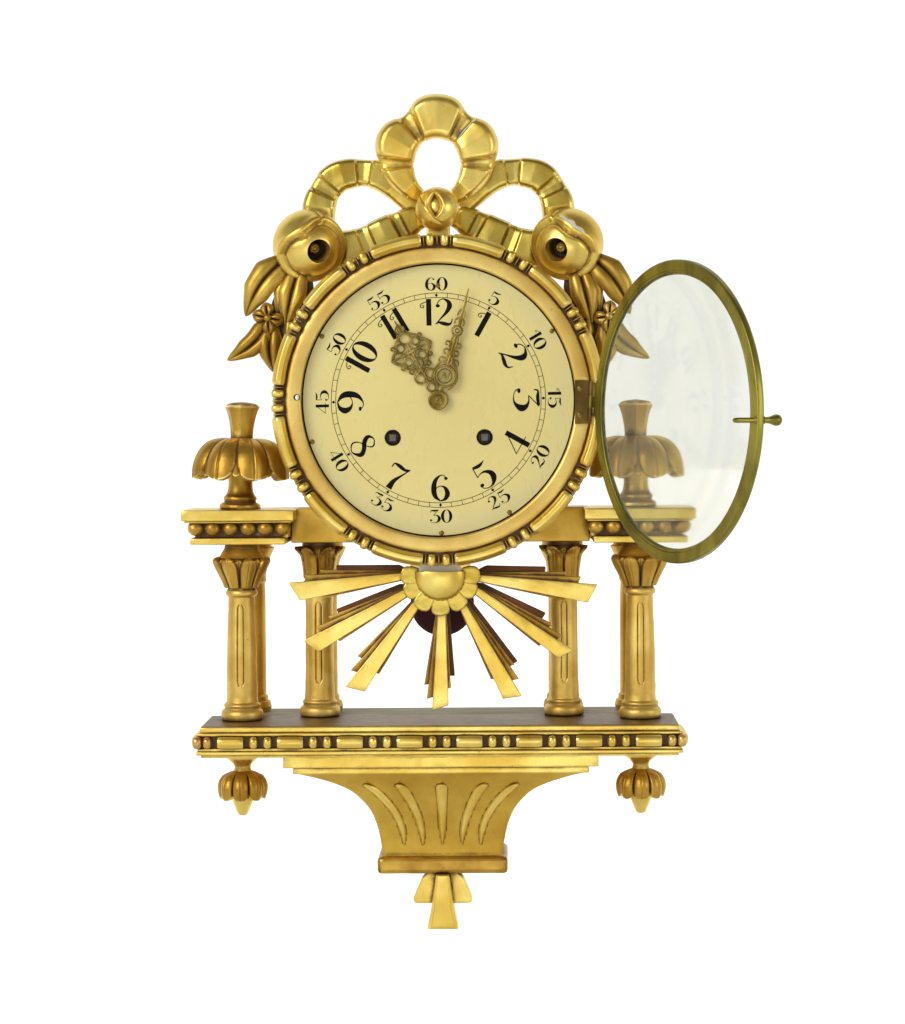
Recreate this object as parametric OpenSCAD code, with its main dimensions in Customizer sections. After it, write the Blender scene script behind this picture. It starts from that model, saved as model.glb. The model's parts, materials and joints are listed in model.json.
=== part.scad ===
// Carved and gilded wall clock with a drum case, a colonnade on a bracket shelf
// and an eight-day striking movement. Millimetres, +X right, +Z up, front faces -Y.
// The origin is the hanger plate's hole on the wall plane.
// Heights below are measured from the dial centre unless a comment says otherwise.

/* [Drum and dial] */
// Height of the hanger hole over the dial centre
dial_drop = 88; // [80:1:96]
// Outer radius of the drum that holds the movement
drum_r = 108; // [106:0.5:112]
// Depth of the drum from the wall to the dial seat
drum_d = 101; // [100:1:106]
// Wall of the drum
drum_wall = 7; // [5:0.5:9]
// Thickness of the board that closes the drum at the wall
back_t = 8; // [6:0.5:10]
// Radius of the opening in the bezel
open_r = 102.5; // [100:0.5:104]
// Outer radius of the carved bezel
bezel_r = 124.8; // [120:0.4:128]
// Height of the bezel's flat ring over the dial seat
ring_h = 9.8; // [8:0.2:12]
// Thickness of the dial plate
dial_t = 1.2; // [0.8:0.1:2]
// Radius of the rods and of the beads on the bezel
bead_r = 4.7; // [3.8:0.1:5]

/* [Door] */
// Outer radius of the brass door ring
door_r = 106.8; // [105:0.2:108]
// Thickness of the door ring
door_t = 6; // [5:0.5:7]
// Radial width of the door ring
door_w = 10.6; // [9:0.2:13]
// Gap from the hinge axis to the door ring
hinge_gap = 8.6; // [7:0.2:10]
// Distance of the hinge axis to the right of the dial centre
hinge_x = 113.7; // [113:0.1:114.5]
// Angle that the door stands open
door_angle = 118.5; // [0:0.5:150]
// Sideways lean of the worn hinge
lean_side = 2.55; // [0:0.05:3]
// Forward lean of the worn hinge
lean_front = 1.46; // [0:0.02:2]
// Height of the hinge
hinge_h = 32.3; // [28:0.1:34]
// Radius of the hinge barrel
barrel_r = 1.85; // [1.6:0.05:2]

/* [Cornice and columns] */
// Height of the cornice top
cornice_z = -81.7; // [-84:0.1:-78]
// Height of the cornice beam
beam_h = 26.1; // [22:0.1:27]
// Distance of each outer column from the shelf's end
column_inset = 26.9; // [24:0.1:30]
// Distance of each inner column from the middle
inner_x = 94; // [90:0.5:98]
// Forward distance of the outer columns
outer_d = 72; // [68:1:76]
// Forward distance of the inner columns
inner_d = 50; // [48:1:54]
// Forward distance of the rear columns
rear_d = 17; // [16:1:19]

/* [Shelf and bracket] */
// Height of the shelf top
shelf_z = -242.1; // [-246:0.1:-238]
// Half width of the shelf board
shelf_half = 178.4; // [174:0.2:182]
// Forward reach of the shelf board
shelf_d = 117; // [112:1:120]
// Depth of the plain rail between shelf and wall
rail_d = 45.5; // [42:0.5:48]
// Half width of the bracket's fascia
fascia_half = 118.7; // [112:0.5:124]
// Height of the carved bracket below its fillets
console_h = 68; // [62:1:74]
// Length of the middle drop under the plinth
drop_len = 41.6; // [34:0.2:46]

/* [Ornament] */
// Number of sun rays
ray_count = 7; // [5:1:9]
// Radius of the sun's dome
sun_r = 18.7; // [16:0.1:20]
// Distance of the sun's centre below the dial centre
sun_drop = 128.4; // [127:0.2:131]
// Radius of the ribbon knot
knot_r = 16.4; // [14:0.2:17]
// Radius of the roses
rose_r = 27; // [24:0.5:28]
// Number of leaves on each finial canopy
canopy_leaves = 11; // [9:1:13]

/* [Movement] */
// Half width of the movement plates
plate_half = 58; // [57:0.5:62]
// Thickness of the movement plates
plate_t = 2; // [1.5:0.1:2.2]
// Distance of each winding square from the middle
wind_x = 34.4; // [34:0.1:36]
// Distance of the winding squares below the dial centre
wind_drop = 28; // [27:0.1:30]
// Width of the winding squares
square_w = 4.8; // [4:0.1:5]
// Radius of the pendulum bob
bob_r = 24.8; // [20:0.2:26]
// Distance of the bob's centre below the dial centre
bob_drop = 158; // [154:1:162]
// Length of the minute hand
minute_len = 86.4; // [78:0.2:92]
// Length of the hour hand
hour_len = 68; // [58:0.2:72]
// Minutes past eleven that the hands show
minutes = 2.6; // [0:0.1:59]

/* [Hidden] */
$fn = 64;

// Distance of each outer column from the middle
outer_x = shelf_half - column_inset;

gold = "goldenrod";
dull_gold = "darkgoldenrod";
brass = "olive";
steel = "slategray";
seat_gap = 0.3;
run_gap = 0.05;

// Forward distances of the drum's front layers
dial_front = drum_d + dial_t;
ring_front = drum_d + ring_h;
seat_w = drum_r - 92;
seat_t = 8;
// Place of the hanger plate
hanger_r = 4;
hanger_w = 30;
hanger_t = 2;
// Layers and places of the crest
side_loop_d = 66;
loop_d = 82;
loop_t = 16;
stem_half = 9;
knot_z = 143.4;
rose_at = [98, 118];
rose_d = 84;
// Place of the latch and its hole
latch_x = -105.4;
latch_z = 2.6;
latch_r = 1.8;
latch_hole_r = 2.6;
latch_len = 17;
// Place of the hinge
hinge_z = -2;
leaf_t = 0.8;
leaf_floor = ring_front - leaf_t;
hinge_d = leaf_floor + leaf_t + barrel_r + seat_gap;
hinge_pin_r = 0.9;
door_back = ring_front + seat_gap;
door_x = hinge_x - hinge_gap - door_r;
glass_t = 2;
glass_edge = 7.2;
// Cornice layers
cap_h = 8.1;
cap_front = 102;
cap_back = 31;
beam_front = 72;
beam_back = 30;
block_in = 109;
block_out = 193.5;
corn_bead_r = 5;
corn_bead_pitch = 13.2;
column_top = cornice_z - beam_h;
// Shelf layers, downwards
board_h = 6.8;
mould_h = 9;
step_h = 7.4;
rod_r = 4.4;
rod_len = 19;
rod_pitch = 44.3;
rod_count = 8;
shelf_under = shelf_z - board_h - mould_h - step_h;
fascia_h = 11;
fillet_h = 4.8;
fascia_d = 95;
console_top = shelf_under - fascia_h - fillet_h;
plinth_z = console_top - console_h;
plinth_h = 13;
plinth_half = 49.9;
plinth_d = 64;
sun_z = -sun_drop;
sun_back = drum_d - 4;
ray_d = 82;
ray_t = 11;
boss_back = ray_d + ray_t;
// Movement layers, forward distances
plate_back = 36;
plate_front = 86;
pivot_r = 1.5;
layer_centre = 39.5;
layer_great = 43;
layer_barrel = 46;
layer_middle = 75.5;
layer_third = 79.5;
layer_escape = 82.5;
pend_d = 28;
pend_z = 46.3;
barrel_len = 28;
drum_radius = 30;
centre_arbor_r = 2.5;
cannon_r = 3;
pipe_r = 4.2;
great_teeth = 64;
great_mod = 0.984375;
mid_pinion = 16;
mid_wheel_teeth = 48;
centre_pinion = 15;
middle_at = [28, 10.85];
third_at = [-16, 18.16];
escape_at = [0, 33.26];
strike_at = [-44, 10.2];
fly_at = [-44, 26.2];
hammer_at = [-50, 44];
motion_at = [0, 19.2];
gong_at = [0, -12];
hour_d = drum_d + 3;
minute_d = drum_d + 6;
hand_t = 1.2;

// Moves a shape from the dial centre's height to the hanger hole's
module from_dial() {
    translate([0, 0, -dial_drop]) children();
}

// A flat outline in X and Z, made solid forward from the distance d
module slab(d, depth) {
    translate([0, -d, 0]) rotate([90, 0, 0]) linear_extrude(depth) children();
}

// A profile of radius and forward distance, spun round the axis that faces the viewer
module faced(angle = 360) {
    rotate([90, 0, 0]) rotate_extrude(angle = angle) children();
}

// A round bar that runs forward from the distance d
module bar(at, r, d, depth) {
    translate([at[0], -d, at[1]]) rotate([90, 0, 0]) cylinder(r = r, h = depth);
}

// A box given by its X, forward and Z limits
module block(x, d, z) {
    translate([x[0], -d[1], z[0]]) cube([x[1] - x[0], d[1] - d[0], z[1] - z[0]]);
}

module right_side() {
    mirror([1, 0, 0]) children();
}

// A closed smooth outline through a few points
function spline(a, b, c, d, t) =
    0.5 * (2 * b + (c - a) * t + (2 * a - 5 * b + 4 * c - d) * t * t
    + (3 * b - a - 3 * c + d) * t * t * t);
function smooth(p, steps = 4) = let (n = len(p)) [
    for (i = [0:n - 1], k = [0:steps - 1])
        spline(p[(i + n - 1) % n], p[i], p[(i + 1) % n], p[(i + 2) % n], k / steps)
];

// Outline of a toothed wheel, with a tooth centred on the angle phase
function tooth_point(r, a) = [r * cos(a), r * sin(a)];
function wheel_points(teeth, mod, phase) = let (r = teeth * mod / 2, step = 360 / teeth) [
    for (i = [0:teeth - 1], p = [[-0.3, -0.8], [-0.11, 0.55], [0.11, 0.55], [0.3, -0.8]])
        tooth_point(r + p[1] * mod, phase + step * (i + p[0]))
];
// Phase of a wheel that meshes with another across the line at the angle line
function mesh_phase(line, teeth_a, phase_a, teeth_b) =
    line + 180 - (0.5 - (line - phase_a) * teeth_a / 360) * 360 / teeth_b;
function line_angle(a, b) = atan2(b[1] - a[1], b[0] - a[0]);

module wheel(at, teeth, mod, phase, d, depth) {
    translate([at[0], 0, at[1]]) slab(d, depth) polygon(wheel_points(teeth, mod, phase));
}

module drum_case() {
    slot_w = 28;
    color(dull_gold) from_dial() difference() {
        faced() polygon([
            [drum_r - drum_wall, 0], [drum_r, 0], [drum_r, drum_d], [drum_r - seat_w, drum_d],
            [drum_r - seat_w, drum_d - seat_t], [drum_r - drum_wall, drum_d - seat_t]
        ]);
        block([-slot_w / 2, slot_w / 2], [pend_d - 10, pend_d + 8], [-drum_r - 5, -drum_r + 20]);
        bar([latch_x, latch_z], latch_hole_r, drum_d - latch_len, latch_len + 1);
    }
}

module drum_back() {
    color("sienna") difference() {
        from_dial() bar([0, 0], drum_r - drum_wall, 0, back_t);
        block([-hanger_w / 2, hanger_w / 2], [-1, hanger_t], [-11, 11]);
        bar([0, 0], hanger_r + 3, 0, back_t - 1);
    }
}

module hanger_plate() {
    color(steel) difference() {
        block([-hanger_w / 2, hanger_w / 2], [0, hanger_t], [-11, 11]);
        bar([0, 0], hanger_r, -1, hanger_t + 2);
    }
}

module bezel() {
    ring_out = bezel_r - 2 * bead_r - 1;
    mid_r = bezel_r - bead_r - 0.4;
    crown = ring_front + 2.2;
    color(gold) from_dial() difference() {
        union() {
            faced() polygon([
                [open_r, drum_d], [bezel_r, drum_d], [bezel_r, ring_front + 1.5],
                [ring_out, ring_front + 1.5], [ring_out, ring_front], [open_r, ring_front]
            ]);
            for (i = [0:11]) rotate([0, 15 + 30 * i, 0]) {
                rotate([0, 10, 0]) faced(20) translate([mid_r, crown]) circle(r = bead_r);
                for (side = [-1, 1]) rotate([0, 15 + 2.5 * side, 0])
                    translate([mid_r, -crown, 0]) sphere(r = bead_r - 0.4);
            }
        }
        block([open_r - 8, bezel_r + 5], [leaf_floor, ring_front + 20],
            [hinge_z - hinge_h / 2 - 0.4, hinge_z + hinge_h / 2 + 0.4]);
        bar([latch_x, latch_z], latch_hole_r, drum_d - 1, ring_h + 5);
    }
}

// Turned piece on a vertical axis, from a profile of radius and height
module turned(x, d, profile) {
    translate([x, -d, 0]) rotate_extrude() polygon(profile);
}

module cornice_beam() {
    color(dull_gold) from_dial() difference() {
        block([-block_in - 5, block_in + 5], [beam_back, beam_front],
            [cornice_z - beam_h, cornice_z]);
        bar([0, 0], drum_r, 0, drum_d);
        block([-30, 30], [0, drum_d], [cornice_z - beam_h - 1, cornice_z + 1]);
        for (s = [-1, 1]) block([min(s * block_in, s * block_out), max(s * block_in, s * block_out)],
            [0, cap_front], [cornice_z - cap_h, cornice_z + 1]);
    }
}

module cornice_block() {
    low = cornice_z - beam_h;
    bead_z = cornice_z - cap_h - corn_bead_r - 0.6;
    first = block_in + 8.7;
    front = cap_front - 7;
    color(gold) from_dial() {
        block([block_in, block_out], [cap_back, cap_front], [cornice_z - cap_h, cornice_z]);
        block([block_in + 5, block_out - 6], [cap_back + 9, front],
            [low + 5, cornice_z - cap_h]);
        block([block_in + 7, block_out - 6], [cap_back + 6, front + 1.5],
            [low, low + 5]);
        for (i = [0:5]) translate([first + i * corn_bead_pitch, -front, bead_z])
            sphere(r = corn_bead_r);
        for (i = [1:4]) translate([block_out - 7.5, -front + i * corn_bead_pitch, bead_z])
            sphere(r = corn_bead_r);
    }
}

module cornice_block_left() {
    right_side() cornice_block();
}

module cornice_block_right() {
    cornice_block();
}

module finial() {
    leaf_step = 360 / canopy_leaves;
    base = cornice_z;
    color(gold) from_dial() {
        turned(outer_x - 1.5, outer_d, [
            [0, base], [15, base], [15.6, base + 2.5], [14.6, base + 5], [12.2, base + 7],
            [12.6, base + 8.6], [10.4, base + 11.5], [9.1, base + 17], [9.3, base + 25],
            [10.5, base + 34], [9, base + 52.5], [8.1, base + 54.5], [9, base + 64],
            [11.2, base + 74], [13.3, base + 79], [8, base + 80.3], [0, base + 80.6]
        ]);
        difference() {
            turned(outer_x - 1.5, outer_d, [
                [8, base + 50], [8.2, base + 53.4], [18, base + 52.6], [26.5, base + 48],
                [31.6, base + 41.5], [34.3, base + 33], [34.7, base + 23.4], [31, base + 23.8],
                [29, base + 33], [24, base + 41], [16, base + 46.5]
            ]);
            for (i = [0:canopy_leaves - 1]) translate([outer_x - 1.5, -outer_d, base + 22])
                rotate([0, 0, (i + 0.5) * leaf_step]) translate([32, 0, 0])
                    rotate([45, 0, 0]) cube([20, 6.4, 6.4], center = true);
        }
    }
}

module finial_left() {
    right_side() finial();
}

module finial_right() {
    finial();
}

// Full column with a lotus capital, from the shelf to the cornice
module outer_column() {
    b = shelf_z;
    t = column_top;
    color(dull_gold) from_dial() turned(outer_x, outer_d, [
        [0, b], [15, b], [16, b + 4], [15, b + 8], [13.5, b + 9], [13.5, b + 12.5],
        [11.6, b + 14], [11.3, b + 50], [10, t - 40.5], [11.7, t - 39], [11.7, t - 36],
        [10.4, t - 34.4], [12.5, t - 26], [17.5, t - 18], [20.4, t - 13.4], [17.2, t - 11],
        [14.3, t - 5.5], [12.2, t - 1], [12.2, t], [0, t]
    ]);
}

module outer_column_left() {
    right_side() outer_column();
}

module outer_column_right() {
    outer_column();
}

// Slim column with a flared calyx capital
module slim_column(x, d, top) {
    b = shelf_z;
    turned(x, d, [
        [0, b], [14.6, b], [15.6, b + 4], [14.6, b + 8], [12.8, b + 9], [12.8, b + 12],
        [11.4, b + 13.5], [11.1, top - 44], [10.6, top - 34], [11.9, top - 32],
        [11.6, top - 28], [13.4, top - 17], [18.6, top - 6], [16.2, top - 5], [15.4, top],
        [0, top]
    ]);
}

module inner_column_left() {
    color(dull_gold) from_dial() slim_column(-inner_x, inner_d, column_top);
}

module inner_column_right() {
    color(dull_gold) from_dial() slim_column(inner_x, inner_d, column_top);
}

// Half-round columns of the back row, against the wall, with a lintel that
// joins each pair to the cornice
module rear_columns() {
    lintel_in = inner_x - 12;
    cut = inner_d - 19;
    color("darkkhaki") from_dial() for (side = [-1, 1]) {
        for (x = [outer_x - 1.5, inner_x]) intersection() {
            slim_column(side * x, rear_d, column_top);
            block([-outer_x - 30, outer_x + 30], [0, cut], [shelf_z, column_top]);
        }
        difference() {
            block([min(side * lintel_in, side * (outer_x + 10)),
                max(side * lintel_in, side * (outer_x + 10))], [0, beam_back - seat_gap],
                [column_top, column_top + 12]);
            bar([0, 0], drum_r, -1, drum_d);
        }
    }
}

module shelf() {
    z = shelf_z;
    color(gold) from_dial() {
        block([-shelf_half, shelf_half], [rail_d, shelf_d], [z - 5.2, z]);
        block([-shelf_half - 2.6, shelf_half + 2.6], [rail_d, shelf_d + 2.6],
            [z - board_h, z - 5.2]);
        block([-shelf_half - 2.6, shelf_half + 2.6], [rail_d, shelf_d + 2.6],
            [shelf_under + 3.8, shelf_under + step_h - 1.4]);
        block([-shelf_half - 1, shelf_half + 1], [rail_d, shelf_d + 1],
            [shelf_under + 3, z - 5.2]);
        block([-shelf_half + 0.8, shelf_half - 0.8], [rail_d, shelf_d - 0.8],
            [shelf_under, shelf_under + 4]);
    }
}

// Bead and reel strip round the front and the ends of the shelf
module shelf_moulding() {
    mid_z = shelf_z - board_h - mould_h / 2;
    front = shelf_d + 1;
    end_x = shelf_half + 1;
    span = front - rail_d;
    side_rods = 2;
    color(gold) from_dial() difference() {
        union() {
            block([-end_x - 2, end_x + 2], [rail_d, front + 2],
                [mid_z - mould_h / 2 + 0.2, mid_z + mould_h / 2 - 0.2]);
            for (i = [0:rod_count - 1])
                translate([(i - (rod_count - 1) / 2) * rod_pitch - rod_len / 2, -front - 3, mid_z])
                    rotate([0, 90, 0]) cylinder(r = rod_r, h = rod_len);
            for (i = [0:rod_count - 2], side = [-1, 1])
                translate([(i - rod_count / 2 + 1) * rod_pitch + side * 5.4, -front - 3, mid_z])
                    sphere(r = rod_r);
            for (side = [-1, 1]) {
                for (x = [9.5, 0]) translate([side * (end_x + 2 - x), -front - 3, mid_z])
                    sphere(r = rod_r);
                for (i = [1:side_rods])
                    translate([side * (end_x + 3), -front + i * span / 3 - 12, mid_z]) {
                        rotate([-90, 0, 0]) cylinder(r = rod_r, h = rod_len);
                        for (y = [rod_len + 5.5]) translate([0, y, 0]) sphere(r = rod_r);
                    }
            }
        }
        block([-end_x, end_x], [rail_d - 1, front], [mid_z - mould_h, mid_z + mould_h]);
        block([-end_x - 20, end_x + 20], [rail_d - 20, rail_d],
            [mid_z - mould_h, mid_z + mould_h]);
    }
}

// Plain primed rail that carries the shelf at the wall
module rear_rail() {
    color("lightgray") from_dial()
        block([-shelf_half + 13, shelf_half - 13], [0, rail_d], [shelf_under, shelf_z]);
}

// Outline of the bracket seen from the front, as half widths down its height
console_points = [
    [0, 1], [0.087, 0.81], [0.22, 0.625], [0.42, 0.499], [0.62, 0.436], [0.82, 0.405], [1, 0.391]
];

module console_face(grow) {
    top_half = fascia_half - 7.7;
    points = [for (p = console_points) [p[1] * top_half + grow, console_top - p[0] * console_h]];
    polygon(concat(points, [for (i = [len(points) - 1:-1:0]) [-points[i][0], points[i][1]]]));
}

// Side profile of the bracket as forward distance and height
module console_side(grow) {
    reach = fascia_d - 7;
    foot = plinth_d - 6;
    steps = 8;
    curve = [for (i = [0:steps]) [
        foot + (reach - foot) * pow(1 - i / steps, 2.2) + grow,
        console_top - i / steps * console_h
    ]];
    translate([-200, 0, 0]) rotate([90, 0, 90]) linear_extrude(400)
        polygon(concat([[0, console_top]], [for (p = curve) [-p[0], p[1]]],
            [[0, console_top - console_h]]));
}

// One raised tongue, leaning with its place across the bracket
function tongue(i) = let (x = i * 22.5, w = 5.2, b = i * 12.5) smooth([
    [x - w, -14], [x, -10.5], [x + w, -14], [(x + b) / 2 + w * 0.75, -36],
    [b + 2.2, -56], [b, -58], [b - 2.2, -56], [(x + b) / 2 - w * 0.75, -36]
], 3);

module console() {
    color(gold) from_dial() {
        block([-fascia_half, fascia_half], [0, fascia_d], [shelf_under - fascia_h, shelf_under]);
        block([-fascia_half + 7.1, fascia_half - 7.1], [0, fascia_d - 4],
            [console_top, shelf_under - fascia_h]);
        intersection() {
            slab(0, fascia_d) console_face(0);
            console_side(0);
        }
        for (i = [-2:2]) intersection() {
            slab(20, fascia_d) translate([0, console_top]) polygon(tongue(i));
            console_side(2.4);
        }
    }
}

module plinth() {
    round_r = 6;
    color(gold) from_dial() translate([0, 0, plinth_z - plinth_h]) linear_extrude(plinth_h) {
        translate([-plinth_half, -plinth_d + round_r]) square([2 * plinth_half, plinth_d - round_r]);
        translate([-plinth_half + round_r, -plinth_d])
            square([2 * (plinth_half - round_r), round_r + 1]);
        for (side = [-1, 1]) translate([side * (plinth_half - round_r), -plinth_d + round_r])
            circle(r = round_r);
    }
}

module drops() {
    top = plinth_z - plinth_h;
    side_len = drop_len * 0.565;
    color(gold) from_dial() {
        slab(50, 20) polygon([
            [-5, top], [5, top], [8.3, top - 23], [12, top - drop_len], [-12, top - drop_len],
            [-8.3, top - 23]
        ]);
        for (side = [-1, 1]) slab(44, 14) polygon([
            [side * 5.3, top], [side * 14, top], [side * 23, top - side_len + 2],
            [side * 22, top - side_len], [side * 8.8, top - side_len], [side * 8.4, top - 23]
        ]);
    }
}

// Turned drops with a leaf cup, under the ends of the shelf
module pendants() {
    t = shelf_under;
    color(gold) from_dial() for (side = [-1, 1]) turned(side * outer_x, outer_d, [
        [0, t], [11, t], [13.5, t - 3], [12, t - 7.5], [8.6, t - 11], [7.6, t - 14],
        [9.5, t - 18], [15, t - 23], [18.5, t - 31], [17.4, t - 35.5], [9, t - 36],
        [8.7, t - 38], [3.5, t - 48.5], [0, t - 49.7]
    ]);
}

// Outline of the rosette and of the tongue that seats it on the drum
module sun_outline(clear_r) {
    petals = 10;
    difference() {
        union() {
            translate([0, sun_z]) {
                circle(r = 25);
                for (i = [0:petals - 1]) rotate(i * 360 / petals) translate([0, -23])
                    circle(r = 8.8);
            }
            translate([-16, sun_z]) square([32, -drum_r + 4 - sun_z]);
        }
        circle(r = clear_r);
    }
}

// Dome and petals, with a tongue behind the bezel that seats on the drum
module sun_boss() {
    color(gold) from_dial() {
        slab(boss_back, drum_d - boss_back) sun_outline(drum_r);
        slab(drum_d, 3) sun_outline(bezel_r + seat_gap);
        intersection() {
            translate([0, -sun_back, sun_z]) sphere(r = sun_r);
            slab(drum_d + 3, 30) difference() {
                translate([0, sun_z]) circle(r = sun_r + 1);
                circle(r = bezel_r + seat_gap);
            }
        }
    }
}

// Fan of the rays, and how far the ones between its middle and its ends lean outward at each side
ray_fan = 163;
ray_lean = [8, 2.4];
function ray_angle(i) =
    let (part = i / (ray_count - 1) - 0.5)
    part * ray_fan + (part < 0 ? -ray_lean[0] : ray_lean[1]) * abs(sin(360 * part));

// One ray, longer at its outer corner
module ray(angle, len_r, tip, root) {
    inner_r = len_r - 4;
    right_r = angle > 0 ? len_r : inner_r;
    left_r = angle > 0 ? inner_r : len_r;
    rotate(angle) polygon([[-root, -12], [root, -12], [tip, -right_r], [-tip, -left_r]]);
}

// The front step of every ray, or with side steps its two lower layers too
module ray_outline(side_steps) {
    translate([0, sun_z]) for (i = [0:ray_count - 1]) {
        angle = ray_angle(i);
        len_r = 103 + 11.5 * sin(abs(angle));
        ray(angle, len_r, 7, 2.6);
        if (side_steps) {
            ray(angle + 3, len_r * 0.88, 9, 3.4);
            ray(angle - 3, len_r * 0.84, 9, 3.4);
        }
    }
}

module sun_rays() {
    step = 6;
    color(gold) from_dial() {
        slab(ray_d, step) ray_outline(true);
        slab(ray_d + step, ray_t - step) ray_outline(false);
    }
}

// Brown backing layer of the rays, nailed to the underside of the drum
module sun_back_rays() {
    layer = 5;
    color("saddlebrown") from_dial() slab(ray_d - layer, layer) difference() {
        union() {
            translate([0, sun_z + 6]) for (i = [0:ray_count - 1])
                ray(ray_angle(i), 96, 12, 3.5);
            translate([0, sun_z + 4]) circle(r = 21);
        }
        circle(r = drum_r);
    }
}

// Middle loop, with the stem under the knot that seats on the drum
module bow_loop() {
    edge = [[0, 132], [14, 148], [27, 161], [40, 174], [45.6, 189], [41, 205], [29, 214.5],
        [20.5, 218], [14, 227], [0, 232]];
    hole = [[0, 160], [11, 165], [17.6, 176], [16.8, 187], [8, 197], [0, 200.5]];
    color(gold) from_dial() difference() {
        union() {
            slab(loop_d, loop_t) difference() {
                polygon(smooth(concat(edge, [for (i = [8:-1:1]) [-edge[i][0], edge[i][1]]]), 3));
                polygon(smooth(concat(hole, [for (i = [4:-1:1]) [-hole[i][0], hole[i][1]]]), 3));
            }
            block([-stem_half, stem_half], [side_loop_d, loop_d + loop_t], [drum_r - 4, 142]);
        }
        for (a = [-80, -42, 42, 80]) translate([0, -loop_d - loop_t, 180]) rotate([0, a, 0])
            translate([0, 0, 35]) rotate([0, 0, 45]) cube([5, 5, 50], center = true);
        bar([0, 0], drum_r, 0, drum_d);
    }
}

// Ribbon loops and tails beside the knot, running down behind the bezel to the drum
module bow_side_loops() {
    inner = stem_half + seat_gap;
    edge = [[inner, 133], [22, 124], [34, 112], [60, 98], [74, 92], [88, 112], [98, 130],
        [101.7, 147], [98, 159], [90, 172], [78, 181.5], [65, 184.8], [52, 184], [42, 180],
        [32, 166], [20, 152], [inner, 146]];
    hole = [[28, 147], [36, 156], [46, 161.5], [57, 163.5], [69, 161], [77.5, 154], [78, 145],
        [73.5, 135.5], [63, 133], [53, 136.5], [40, 141], [33, 145]];
    color(gold) from_dial() for (side = [0, 1]) mirror([side, 0, 0]) difference() {
        slab(side_loop_d, loop_t - seat_gap) difference() {
            polygon(smooth(edge, 3));
            polygon(smooth(hole, 3));
        }
        block([0, inner], [side_loop_d - 1, loop_d], [100, 160]);
        bar([0, 0], drum_r, 0, drum_d);
        for (p = [[62, 184, 0], [93, 168, 55], [46, 128, 15]])
            translate([p[0], -loop_d + seat_gap, p[1]]) rotate([0, p[2], 0])
                rotate([0, 0, 45]) cube([4, 4, 40], center = true);
    }
}

module bow_knot() {
    front = loop_d + loop_t;
    color(gold) from_dial() intersection() {
        translate([0, -front - 2, knot_z]) sphere(r = knot_r);
        bar([0, knot_z], knot_r + 1, front, 30);
    }
}

module rose() {
    color(gold) from_dial() difference() {
        union() {
            translate([rose_at[0], -rose_d, rose_at[1]]) sphere(r = rose_r);
            bar(rose_at, 17, 60, rose_d - 60);
        }
        bar(rose_at + [-6, -6], 10, rose_d + rose_r - 12, 20);
        bar([0, 0], bezel_r + seat_gap, drum_d - seat_gap, 60);
        bar([0, 0], drum_r, 0, drum_d);
        rose_cut();
    }
    color(dull_gold) from_dial() bar(rose_at + [-6, -6], 4, rose_d + rose_r - 13, 4);
}

// Room for the ribbon loop that passes behind the rose
module rose_cut() {
    block([40, 140], [side_loop_d - seat_gap, loop_d], [80, 160]);
}

module rose_left() {
    right_side() rose();
}

module rose_right() {
    rose();
}

// Leaves, seen as outlines of tip, root and width
module leaf_shape(tip, root, w) {
    run = tip - root;
    side = [-run[1], run[0]] / norm(run);
    polygon(smooth([
        tip, root + run * 0.62 + side * w, root + run * 0.25 + side * w * 0.8, root,
        root + run * 0.25 - side * w * 0.8, root + run * 0.62 - side * w
    ], 4));
}

module leaf_sprays() {
    color(dull_gold) from_dial() for (side = [0, 1]) mirror([side, 0, 0]) difference() {
        union() {
            slab(84, 8) leaf_shape([147.5, 64], [117, 108], 11.5);
            slab(84, 10) leaf_shape([115, 56.5], [106, 102], 11);
            slab(84, 7) leaf_shape([161, 30], [126, 66], 8.5);
            slab(84, 8) leaf_shape([124.5, 21], [127, 62], 8);
            slab(84, 14) polygon(smooth([[119, 66], [124, 71], [134, 71], [144, 64], [138, 56],
                [128, 53], [119, 58]], 3));
            slab(84, 6) polygon([[92, 100], [84, 74], [97, 58], [104, 36], [116, 30], [128, 40],
                [132, 66], [112, 104]]);
        }
        bar([0, 0], drum_r, 0, drum_d);
        translate([98, -84, 118]) sphere(r = rose_r + seat_gap);
        bar([98, 118], 17 + seat_gap, 60, 30);
    }
}

module dial() {
    feet = [[-42, 52], [42, 52], [-42, -58], [42, -58]];
    color("khaki") from_dial() difference() {
        union() {
            bar([0, 0], open_r - seat_gap, drum_d, dial_t);
            for (p = feet) bar(p, 2.5, plate_front + plate_t, drum_d - plate_front - plate_t);
            for (side = [-1, 1]) bar([side * wind_x, -wind_drop], 5.9, drum_d, dial_t + 0.4);
        }
        bar([0, 0], pipe_r + 0.6, drum_d - 1, dial_t + 2);
        for (side = [-1, 1]) bar([side * wind_x, -wind_drop], 4.4, drum_d - 1, dial_t + 3);
        for (s = dial_screws) bar(round_dial(s), 1.2, drum_d - 1, dial_t + 2);
    }
}

// Clockwise angle from the top and radius of each dial screw
dial_screws = [[0, 86], [59, 99.5], [148, 99.5], [179, 99.5], [-108, 99.5], [-61, 99.5]];
function round_dial(s) = [s[1] * sin(s[0]), s[1] * cos(s[0])];

// Dial screws and hinge screws, all of one size
module brass_screws() {
    color(brass) from_dial() {
        for (s = dial_screws) {
            bar(round_dial(s), 1.2, drum_d, dial_t);
            bar(round_dial(s), 2, dial_front, 0.8);
        }
        for (z = [10, -10]) bar([106, hinge_z + z], 2.2, leaf_floor + leaf_t - 0.6, 0.6);
    }
}

// Turns children about the worn hinge's axis
module about_hinge(angle) {
    axis = [tan(lean_side), -tan(lean_front), 1];
    translate([hinge_x, -hinge_d, hinge_z]) rotate(a = angle, v = axis)
        translate([-hinge_x, hinge_d, -hinge_z]) children();
}

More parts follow.
